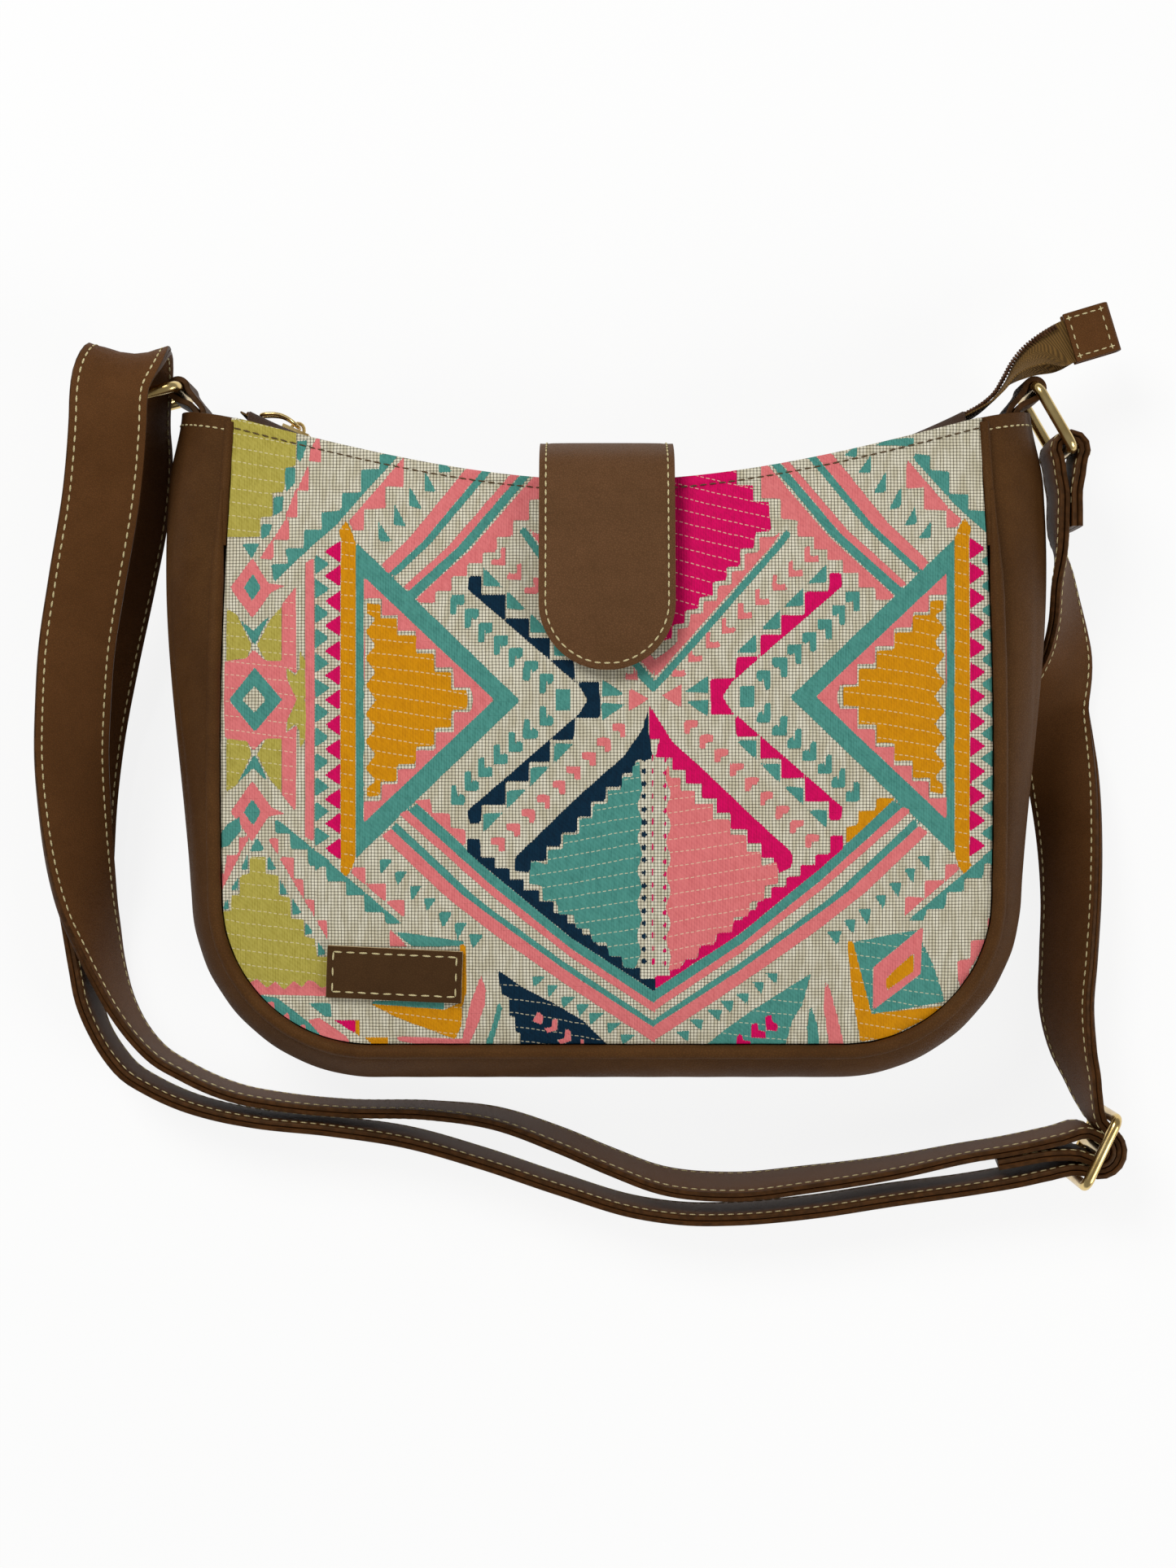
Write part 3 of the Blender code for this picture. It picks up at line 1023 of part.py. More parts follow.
RIGHT_RUN = [
    (0.1457, 0.0720, 0.0285, 90), (0.1459, 0.0660, 0.0282, 88), (0.1474, 0.0545, 0.0255, 71),
    (0.1494, 0.0410, 0.0202, 60), (0.1503, 0.0305, 0.0152, 46), (0.1500, 0.0210, 0.0100, 25),
    (0.1484, 0.0120, 0.0068, 5), (0.1493, 0.0000, 0.0074, -12), (0.1508, -0.0110, 0.0085, -25),
    (0.1522, -0.0250, 0.0098, -38), (0.1530, -0.0520, 0.0112, -51), (0.1521, -0.0710, 0.0115, -54),
    (0.1514, -0.0870, 0.0119, -58), (0.1536, -0.1010, 0.0128, -66), (0.1566, -0.1105, 0.0142, -76),
    (0.1586, -0.1180, 0.0158, -85), (0.1604, -0.1232, 0.0165, -90)]
LOWER_RUN = [
    (0.1512, -0.1385, 0.0162, -90), (0.1450, -0.1399, 0.0155, -90), (0.1350, -0.1422, 0.0142, -89),
    (0.1202, -0.1450, 0.0128, -89), (0.0938, -0.1487, STRAP_REST, -88),
    (0.0674, -0.1527, STRAP_REST, -88), (0.0411, -0.1550, STRAP_REST, -88),
    (0.0268, -0.1550, STRAP_REST, -88), (0.0101, -0.1528, STRAP_REST, -88),
    (-0.0152, -0.1452, STRAP_REST, -88), (-0.0406, -0.1367, STRAP_REST, -88),
    (-0.0657, -0.1297, STRAP_REST, -88), (-0.0900, -0.1262, STRAP_REST, -89),
    (-0.1141, -0.1238, STRAP_REST, -90), (-0.1263, -0.1215, STRAP_REST, -90),
    (-0.1384, -0.1179, STRAP_REST, -90), (-0.1490, -0.1130, STRAP_REST, -90)]
LEFT_RUN = [
    (-0.1565, -0.1083, STRAP_REST, -90), (-0.1622, -0.1016, STRAP_REST, -90),
    (-0.1667, -0.0939, STRAP_REST, -90), (-0.1698, -0.0846, STRAP_REST, -86),
    (-0.1708, -0.0733, 0.0122, -79), (-0.1711, -0.0619, 0.0119, -69), (-0.1716, -0.0500, 0.0113, -58),
    (-0.1723, -0.0390, 0.0104, -48), (-0.1728, -0.0270, 0.0092, -38), (-0.1705, -0.0006, 0.0094, -30),
    (-0.1645, 0.0265, 0.0140, -32), (-0.1575, 0.0514, 0.0200, -40), (-0.1520, 0.0720, 0.0245, -48),
    (-0.1491, 0.0920, 0.0281, -55), (-0.1487, 0.1005, 0.0291, -61)]
FRONT_RUN = [
    (-0.1557, 0.1000, 0.0546, -8), (-0.1584, 0.0791, 0.0500, -10), (-0.1648, 0.0491, 0.0430, -13),
    (-0.1689, 0.0288, 0.0382, -16),
    (-0.1707, 0.0133, 0.0346, -19), (-0.1721, -0.0049, 0.0306, -24), (-0.1718, -0.0233, 0.0266, -32),
    (-0.1708, -0.0392, 0.0228, -42), (-0.1690, -0.0531, 0.0190, -54), (-0.1668, -0.0628, 0.0162, -64),
    (-0.1640, -0.0739, 0.0138, -74), (-0.1598, -0.0855, 0.0126, -82),
    (-0.1541, -0.0952, STRAP_REST, -87), (-0.1468, -0.1031, STRAP_REST, -89)]
UPPER_RUN = [
    (-0.1383, -0.1082, STRAP_REST, -90), (-0.1293, -0.1126, STRAP_REST, -90),
    (-0.1200, -0.1158, STRAP_REST, -90), (-0.1082, -0.1180, STRAP_REST, -90),
    (-0.0862, -0.1203, STRAP_REST, -90), (-0.0575, -0.1210, STRAP_REST, -89),
    (-0.0364, -0.1236, STRAP_REST, -86), (-0.0152, -0.1308, STRAP_REST, -83),
    (0.0017, -0.1379, STRAP_REST, -82), (0.0183, -0.1440, STRAP_REST, -82),
    (0.0410, -0.1462, STRAP_REST, -82), (0.0674, -0.1436, STRAP_REST, -84),
    (0.0938, -0.1398, 0.0127, -87), (0.1202, -0.1344, 0.0138, -90), (0.1300, -0.1327, 0.0146, -90),
    (0.1396, -0.1306, 0.0157, -90), (0.1480, -0.1286, 0.0163, -90), (0.1560, -0.1266, 0.0165, -90)]
SEWN_END = [
    (0.1532, -0.1340, 0.0165, -90), (0.1475, -0.1337, 0.0163, -90), (0.1404, -0.1344, 0.0158, -90),
    (0.1340, -0.1357, 0.0151, -90), (0.1280, -0.1369, 0.0145, -90)]


def ribbon(name, sections, finish):
    """A solid strip through four-cornered sections, low side first.

    Both broad sides are split along the same diagonal, so that two twisted strips laid on each
    other keep their gap.
    """
    shell = bmesh.new()
    rings = [[shell.verts.new(corner) for corner in section] for section in sections]
    for near, far in zip(rings, rings[1:]):
        for side in range(4):
            a, b, c, d = near[side], near[side - 3], far[side - 3], far[side]
            split = ((a, b, d), (b, c, d)) if side == 2 else ((a, b, c), (a, c, d))
            for corners in split:
                shell.faces.new(corners)
    shell.faces.new(rings[0])
    shell.faces.new(rings[-1])
    bmesh.ops.recalc_face_normals(shell, faces=shell.faces)
    mesh = bpy.data.meshes.new(name)
    shell.to_mesh(mesh)
    shell.free()
    mesh.shade_smooth()
    mesh.set_sharp_from_angle(angle=radians(40))
    return place(name, mesh, finish)


def strap_layer(name, side, width):
    """One layer of the strap, on one side of its middle surface."""
    rows = flow(STRAP_STATIONS, 0.0105)
    places = rows[:, :3]
    along = directions(places)
    tilt, inward = np.radians(rows[:, 3]), np.radians(rows[:, 4])
    wide = np.stack([np.cos(inward) * np.cos(tilt), np.sin(inward) * np.cos(tilt), np.sin(tilt)], 1)
    wide -= along * np.sum(wide * along, axis=1)[:, None]
    wide /= np.linalg.norm(wide, axis=1)[:, None]
    lift = side * (LAYER_THICKNESS + GAP) / 2
    corners = []
    for across, height in ((-1, -1), (1, -1), (1, 1), (-1, 1)):
        edge = places + wide * across * width / 2
        normal = np.cross(directions(edge) * 0.5 + along * 0.5, wide)
        corners.append(edge + normal * (lift + height * LAYER_THICKNESS / 2))
    ribbon(name, np.stack(corners, axis=1).tolist(), LEATHER)


STRAP_STATIONS = strap_stations()
BACKING_INSET = 0.0004        # the backing is cut a little narrower

build_panels()
build_fields()
build_gusset()
build_lining()
build_zip()
build_slider()
build_pull()
build_flap()
sheet("label_patch", 10, 4, patch_surface, PATCH_THICKNESS, LEATHER)
build_chape("chape_left", -1)
build_chape("chape_right", 1)
build_ring("ring_left", -1)
build_ring("ring_right", 1)
build_adjuster()
strap_layer("strap_face", 1, STRAP_WIDTH)
strap_layer("strap_backing", -1, STRAP_WIDTH - 2 * BACKING_INSET)
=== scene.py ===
# %% [markdown]
# This script dresses a woven sling bag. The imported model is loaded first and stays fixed: it says
# where every piece is and how the flap, the zip and the rings move. Everything that is soft gets
# a finer piece in its place, and every piece gets a finish made of nodes.

from math import asin, cos, pi, radians, sin

import bmesh
import bpy
import numpy as np
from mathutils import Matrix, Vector


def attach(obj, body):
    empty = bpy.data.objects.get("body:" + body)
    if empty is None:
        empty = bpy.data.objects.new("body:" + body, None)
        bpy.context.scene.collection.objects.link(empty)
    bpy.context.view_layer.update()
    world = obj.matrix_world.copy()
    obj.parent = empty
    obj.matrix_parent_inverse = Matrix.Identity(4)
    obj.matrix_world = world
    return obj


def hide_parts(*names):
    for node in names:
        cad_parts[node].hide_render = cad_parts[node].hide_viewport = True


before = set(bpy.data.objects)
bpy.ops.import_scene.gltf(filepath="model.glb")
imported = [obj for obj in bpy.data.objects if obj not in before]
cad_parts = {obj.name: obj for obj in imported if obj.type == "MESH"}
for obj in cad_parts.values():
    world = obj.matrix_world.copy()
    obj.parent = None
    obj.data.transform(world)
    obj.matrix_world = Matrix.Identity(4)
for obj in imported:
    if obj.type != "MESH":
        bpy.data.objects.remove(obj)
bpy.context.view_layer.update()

# %% [markdown]
# The bag lies on its back and is seen from straight above, from about 0.8 m. A longer lens from
# further away would flatten it more. This distance gives the strap, which lies lower than the
# panel, the slightly smaller scale that it has on the real one.

# %% Camera
EYE = Vector((-0.00586, -0.01367, 0.835))
LENS = 57.4
SENSOR = 36.0
FRAME_SIZE = (1445, 1927)

camera_data = bpy.data.cameras.new("camera")
camera_data.lens = LENS
camera_data.sensor_width = SENSOR
camera = bpy.data.objects.new("camera", camera_data)
camera.location = EYE
bpy.context.scene.collection.objects.link(camera)
bpy.context.scene.camera = camera
bpy.context.scene.view_settings.view_transform = "Standard"
PIXELS_PER_SLOPE = FRAME_SIZE[1] * LENS / SENSOR
print("camera height in mm:", round(1000 * EYE.z))

# %% [markdown]
# Meshes here are grids of points held in arrays. A flat piece of leather is a slab: a grid for
# its middle surface, pushed out to both sides and closed by a rim. Solidify would do the same,
# but a slab knows which faces are its rim, so that the cut edge can have its own finish, and its
# surface can swell between its seams.

# %% Grids and slabs
PIECES = {}


def piece(name, vertices, faces, finishes, body="bag", shares=None, angle=40):
    """A mesh object that rides on a body. shares gives each face its finish by number."""
    mesh = bpy.data.meshes.new(name)
    mesh.from_pydata([], [], [])
    mesh.vertices.add(len(vertices))
    mesh.vertices.foreach_set("co", np.asarray(vertices, dtype=np.float32).ravel())
    faces = np.asarray(faces, dtype=np.int32)
    mesh.loops.add(faces.size)
    mesh.loops.foreach_set("vertex_index", faces.ravel())
    mesh.polygons.add(len(faces))
    mesh.polygons.foreach_set("loop_start", np.arange(len(faces), dtype=np.int32) * faces.shape[1])
    mesh.update(calc_edges=True)
    for finish in finishes:
        mesh.materials.append(finish)
    if shares is not None:
        mesh.polygons.foreach_set("material_index", np.asarray(shares, dtype=np.int32))
    mesh.shade_smooth()
    mesh.set_sharp_from_angle(angle=radians(angle))
    thing = bpy.data.objects.new(name, mesh)
    bpy.context.scene.collection.objects.link(thing)
    PIECES[name] = (thing, body)
    return thing


def grid_faces(rows, columns, closed=False):
    """Quads of a grid whose points are stored row by row."""
    index = np.arange(rows * columns).reshape(rows, columns)
    if closed:
        index = np.concatenate([index, index[:, :1]], axis=1)
    quads = np.stack([index[:-1, :-1], index[:-1, 1:], index[1:, 1:], index[1:, :-1]], axis=-1)
    return quads.reshape(-1, 4)


def normals_of(grid):
    """Unit normals of a grid of points."""
    along = np.gradient(grid, axis=0)
    across = np.gradient(grid, axis=1)
    normal = np.cross(across, along)
    return normal / np.maximum(np.linalg.norm(normal, axis=-1), 1e-12)[..., None]


def recalculated(thing):
    """Turn a closed piece's faces outwards."""
    shell = bmesh.new()
    shell.from_mesh(thing.data)
    bmesh.ops.recalc_face_normals(shell, faces=shell.faces)
    shell.to_mesh(thing.data)
    shell.free()
    return thing


def slab(name, grid, thickness, finishes, body="bag", swell_by=None, rim=0.0003):
    """A sheet with thickness. swell_by(a) thickens it, a being -1 to 1 across its columns."""
    rows, columns = grid.shape[:2]
    normal = normals_of(grid)
    lift = np.full((rows, columns), thickness / 2)
    if swell_by is not None:
        lift = lift + swell_by(np.linspace(-1, 1, columns))[None, :]
    top = grid + normal * lift[..., None]
    low = grid - normal * lift[..., None]
    index = np.arange(rows * columns).reshape(rows, columns)
    loop = np.concatenate([index[0, :], index[1:, -1], index[-1, -2::-1], index[-2:0:-1, 0]])
    after = np.roll(loop, -1)
    count = rows * columns
    faces = grid_faces(rows, columns)
    walls = np.stack([loop, after, after + count, loop + count], axis=-1)
    every = np.concatenate([faces, faces[:, ::-1] + count, walls])
    shares = np.zeros(len(every))
    if len(finishes) > 1:
        shares[2 * len(faces):] = 1
    vertices = np.concatenate([top.reshape(-1, 3), low.reshape(-1, 3)])
    thing = recalculated(piece(name, vertices, every, finishes, body, shares))
    if rim:
        edge = thing.modifiers.new("rim", "BEVEL")
        edge.width = rim
        edge.segments = 2
        edge.limit_method = "ANGLE"
        edge.angle_limit = radians(50)
    return thing


def tube(name, points, radius, finish, closed=False, sides=16, body="bag"):
    """A round wire or cord through points. radius is a number or one for each point."""
    points = np.asarray(points, dtype=float)
    if closed:
        along = np.roll(points, -1, axis=0) - np.roll(points, 1, axis=0)
    else:
        along = np.gradient(points, axis=0)
    along /= np.linalg.norm(along, axis=1)[:, None]
    side = np.cross(along[0], (0.0, 0.0, 1.0))
    if np.linalg.norm(side) < 0.1:
        side = np.cross(along[0], (0.0, 1.0, 0.0))
    frames = []
    for direction in along:
        side = side - direction * np.dot(side, direction)
        side = side / np.linalg.norm(side)
        frames.append(side)
    side = np.array(frames)
    up = np.cross(along, side)
    turn = np.linspace(0, 2 * pi, sides, endpoint=False)
    size = np.broadcast_to(np.asarray(radius, dtype=float), (len(points),))
    ring = side[:, None] * np.cos(turn)[None, :, None] + up[:, None] * np.sin(turn)[None, :, None]
    grid = points[:, None] + ring * size[:, None, None]
    vertices = grid.reshape(-1, 3)
    faces = grid_faces(len(points), sides, closed=True)
    if closed:
        start = np.arange(sides)
        last = start + (len(points) - 1) * sides
        seam = np.stack([last, np.roll(last, -1), np.roll(start, -1), start], axis=-1)
        faces = np.concatenate([faces, seam])
    else:
        count = len(vertices)
        vertices = np.concatenate([vertices, points[:1], points[-1:]])
        caps = []
        for k in range(0, sides, 2):
            a, b, c = k, (k + 1) % sides, (k + 2) % sides
            far = (len(points) - 1) * sides
            caps.append((count, c, b, a))
            caps.append((count + 1, far + a, far + b, far + c))
        faces = np.concatenate([faces, np.array(caps)])
    return recalculated(piece(name, vertices, faces, [finish], body))


def flow(stations, spacing):
    """Samples of a smooth curve through rows of numbers, whose first three are a place."""
    rows = np.array(stations, dtype=float)
    steps = np.linalg.norm(np.diff(rows[:, :3], axis=0), axis=1)
    slopes = np.diff(rows, axis=0) / steps[:, None]
    bends = np.vstack([slopes[:1], slopes, slopes[-1:]])
    reach = np.concatenate([steps[:1], steps, steps[-1:]])[:, None]
    tangents = (bends[:-1] * reach[1:] + bends[1:] * reach[:-1]) / (reach[:-1] + reach[1:])
    samples = []
    for index, step in enumerate(steps):
        count = max(1, round(step / spacing))
        for t in np.arange(count) / count:
            a = (1 + 2 * t) * (1 - t) ** 2 * rows[index] + t * t * (3 - 2 * t) * rows[index + 1]
            b = t * (1 - t) ** 2 * tangents[index] + t * t * (t - 1) * tangents[index + 1]
            samples.append(a + b * step)
    samples.append(rows[-1])
    return np.array(samples)


def directions(points):
    """Unit tangents along sampled points."""
    along = np.gradient(points, axis=0)
    return along / np.linalg.norm(along, axis=1)[:, None]


def smooth(value):
    """An S-shaped ramp from 0 to 1, for numbers and arrays."""
    t = np.clip(value, 0.0, 1.0)
    return t * t * (3 - 2 * t)


print("helpers for grids, slabs and tubes are ready")

# %% [markdown]
# A finish is a node tree. Its sums read best as sums, so a small class wraps a socket and lets
# Python's own operators add the Math nodes. Every other node comes from one method, which takes
# the node's type, its settings and what goes into its sockets.

# %% Shader sums
def linear(code):
    """A colour written as six hex digits, as the numbers that a shader takes."""
    values = [int(code[k:k + 2], 16) / 255 for k in (0, 2, 4)]
    return (*[v / 12.92 if v <= 0.04045 else ((v + 0.055) / 1.055) ** 2.4 for v in values], 1.0)


class Term:
    """A socket that can be used in a sum."""

    def __init__(self, finish, socket):
        self.finish = finish
        self.socket = socket

    def math(self, operation, first, second=0.0, third=0.0):
        return self.finish.node("ShaderNodeMath", {"operation": operation},
                                {0: first, 1: second, 2: third})

    def __add__(self, other):
        return self.math("ADD", self, other)

    def __radd__(self, other):
        return self.math("ADD", other, self)

    def __sub__(self, other):
        return self.math("SUBTRACT", self, other)

    def __rsub__(self, other):
        return self.math("SUBTRACT", other, self)

    def __mul__(self, other):
        return self.math("MULTIPLY", self, other)

    def __rmul__(self, other):
        return self.math("MULTIPLY", other, self)

    def __truediv__(self, other):
        return self.math("DIVIDE", self, other)

    def sine(self):
        return self.math("SINE", self)

    def absolute(self):
        return self.math("ABSOLUTE", self)

    def fraction(self):
        return self.math("FRACT", self)

    def highest(self, other):
        return self.math("MAXIMUM", self, other)

    def ramp(self, low, high, to_low=0.0, to_high=1.0):
        """This value, smoothly from to_low at low to to_high at high."""
        settings = {"interpolation_type": "SMOOTHSTEP"}
        return self.finish.node("ShaderNodeMapRange", settings,
                                {"Value": self, "From Min": low, "From Max": high,
                                 "To Min": to_low, "To Max": to_high})


class Finish:
    """A material whose shader is fed by sums and nodes."""

    def __init__(self, name, **constants):
        self.material = bpy.data.materials.new(name)
        self.material.use_nodes = True
        self.tree = self.material.node_tree
        self.shader = self.tree.nodes["Principled BSDF"]
        for socket, value in constants.items():
            self.shader.inputs[socket.replace("_", " ")].default_value = value

    def node(self, kind, settings=None, inputs=None, out=0):
        made = self.tree.nodes.new(kind)
        for key, value in (settings or {}).items():
            setattr(made, key, value)
        for key, value in (inputs or {}).items():
            self.plug(made.inputs[key], value)
        return Term(self, made.outputs[out])

    def plug(self, socket, value):
        if isinstance(value, Term):
            self.tree.links.new(value.socket, socket)
        else:
            socket.default_value = value

    def feed(self, **values):
        for socket, value in values.items():
            self.plug(self.shader.inputs[socket.replace("_", " ")], value)
        return self.material

    def place(self):
        return self.node("ShaderNodeTexCoord", out="Object")

    def split(self, vector):
        made = self.tree.nodes.new("ShaderNodeSeparateXYZ")
        self.plug(made.inputs[0], vector)
        return [Term(self, made.outputs[k]) for k in range(3)]

    def attribute(self, name):
        return self.node("ShaderNodeAttribute", {"attribute_name": name}, out="Fac")

    def noise(self, vector, scale, detail=2.0, stretch=None):
        if stretch is not None:
            vector = self.node("ShaderNodeMapping", inputs={"Vector": vector, "Scale": stretch})
        return self.node("ShaderNodeTexNoise",
                         inputs={"Vector": vector, "Scale": scale, "Detail": detail}, out="Fac")

    def cells(self, vector, scale, feature="DISTANCE_TO_EDGE"):
        return self.node("ShaderNodeTexVoronoi", {"feature": feature},
                         {"Vector": vector, "Scale": scale}, out="Distance")

    def mix(self, share, first, second):
        return self.node("ShaderNodeMix", {"data_type": "RGBA"}, {0: share, 6: first, 7: second},
                         out=2)

    def bump(self, height, depth, strength=1.0):
        return self.node("ShaderNodeBump", inputs={"Height": height, "Distance": depth,
                                                   "Strength": strength}, out="Normal")


print("teal yarn as a shader sees it:", [round(v, 3) for v in linear("53998d")])

# %% [markdown]
# The leather is a coated split with a fine pebbled grain. A Voronoi pattern gives the pebbles,
# a second finer one breaks them up, and slow noise varies the colour and the gloss, as handling
# does. The creases between the pebbles get painted shade. Cut edges are painted: darker, smoother
# and a little uneven.

# %% Leather
WARM_SHEEN = (1.0, 0.72, 0.46, 1.0)


def leather(name, colour, shade, grain=1500.0, depth=0.00007, roughness=0.56):
    finish = Finish(name, Specular_IOR_Level=0.17, Specular_Tint=WARM_SHEEN)
    place = finish.place()
    pebbles = finish.cells(place, grain).ramp(0.0, 0.35)
    fine = finish.cells(place, 2.6 * grain).ramp(0.0, 0.4)
    cloud = finish.noise(place, 26.0, 4.0)
    rub = finish.noise(place, 160.0, 3.0)
    tone = (cloud * 0.7 + rub * 0.3).ramp(0.30, 0.72)
    body = finish.mix(tone, linear(shade), linear(colour))
    # painted shade: the creases between the pebbles are darkened towards 2a180b, as shade in them
    with_crease_shade = finish.mix(pebbles.ramp(0.0, 0.6, 0.30, 0.0), body, linear("2a180b"))
    gloss = roughness + cloud * 0.16 - pebbles * 0.08
    height = pebbles * 0.75 + fine * 0.25 + rub * 0.5
    return finish.feed(Base_Color=with_crease_shade, Roughness=gloss, Normal=finish.bump(height, depth))


def painted_edge(name, colour, shade):
    finish = Finish(name, Specular_IOR_Level=0.22, Specular_Tint=WARM_SHEEN)
    place = finish.place()
    uneven = finish.noise(place, 420.0, 3.0)
    slow = finish.noise(place, 60.0, 2.0)
    paint = finish.mix(uneven.ramp(0.35, 0.7), linear(shade), linear(colour))
    return finish.feed(Base_Color=paint, Roughness=0.38 + slow * 0.2,
                       Normal=finish.bump(uneven, 0.00012))


LEATHER = leather("leather", "69482e", "5e4027")
STRAP_LEATHER = leather("strap leather", "643f20", "573518", grain=1700.0)
GUSSET_LEATHER = leather("gusset leather", "5a3a1c", "4b2e14", grain=1350.0)
DARK_LEATHER = leather("dark leather", "412816", "311d0f", roughness=0.58)
EDGE_PAINT = painted_edge("edge paint", "4a2d15", "351f0d")
RAW_EDGE = painted_edge("raw leather edge", "cdb68e", "b0936a")
print("leathers:", [m.name for m in (LEATHER, STRAP_LEATHER, GUSSET_LEATHER, DARK_LEATHER)])

# %% [markdown]
# Sewing thread is twisted, so each stitch catches the light in slanting streaks; these are bumped
# and also painted into its colour as highlights and shade. Metal is plated: almost smooth, with
# hairline scratches and soft wear. A scratch is noise that has been stretched a lot in one
# direction.

# %% Thread and metal
def thread(name, colour, shade):
    finish = Finish(name, Specular_IOR_Level=0.3)
    place = finish.place()
    x, y, z = finish.split(place)
    twist_and_sheen = ((x + y + z) * 9000.0).sine() * 0.5 + 0.5
    cloud = finish.noise(place, 300.0, 2.0)
    # painted highlight and shade: the slanting streaks lighten and darken the thread's colour
    yarn = finish.mix(twist_and_sheen * 0.6 + cloud * 0.4, linear(shade), linear(colour))
    return finish.feed(Base_Color=yarn, Roughness=0.62 + cloud * 0.2,
                       Normal=finish.bump(twist_and_sheen, 0.00006))


def plated(name, colour, shade, roughness):
    finish = Finish(name, Metallic=1.0)
    place = finish.place()
    hairs = finish.noise(place, 900.0, 3.0, stretch=(1.0, 0.06, 0.2))
    wear = finish.noise(place, 90.0, 4.0)
    tone = finish.mix(wear.ramp(0.35, 0.65), linear(shade), linear(colour))
    gloss = roughness + wear * 0.12 + hairs * 0.08
    return finish.feed(Base_Color=tone, Roughness=gloss, Normal=finish.bump(hairs, 0.00001))


CREAM_THREAD = thread("cream thread", "e6dcae", "a8925c")
BROWN_THREAD = thread("brown thread", "6b5434", "3a2a18")
GOLD = plated("gold plate", "e3c98c", "c9a866", 0.14)
STEEL = plated("nickel plate", "cfccc4", "a9a69e", 0.24)
print("threads and metals are ready")

# %% [markdown]
# The cloth is a jacquard: an off-white plain ground, with coloured satin yarns that float over it
# where the pattern wants them. The pattern is a chart of plain shapes, steps, teeth, stripes and
# hooks. Each entry below is one shape: its yarn, its ways, and its corners in chart units of about
# a quarter millimetre, y down. The ways are m mirrored (m:navy: its mirror image is navy), f
# flipped, and c, r or s crossed by pale couching threads of one of three slopes. 9*20.5,17.6 sets
# a shape 9 times, each 20.5 units further right and 17.6 lower, and w puts those copies on whole
# units. An entry goes on in the indented lines after it. The yarn called ground clears the
# coloured ones away.

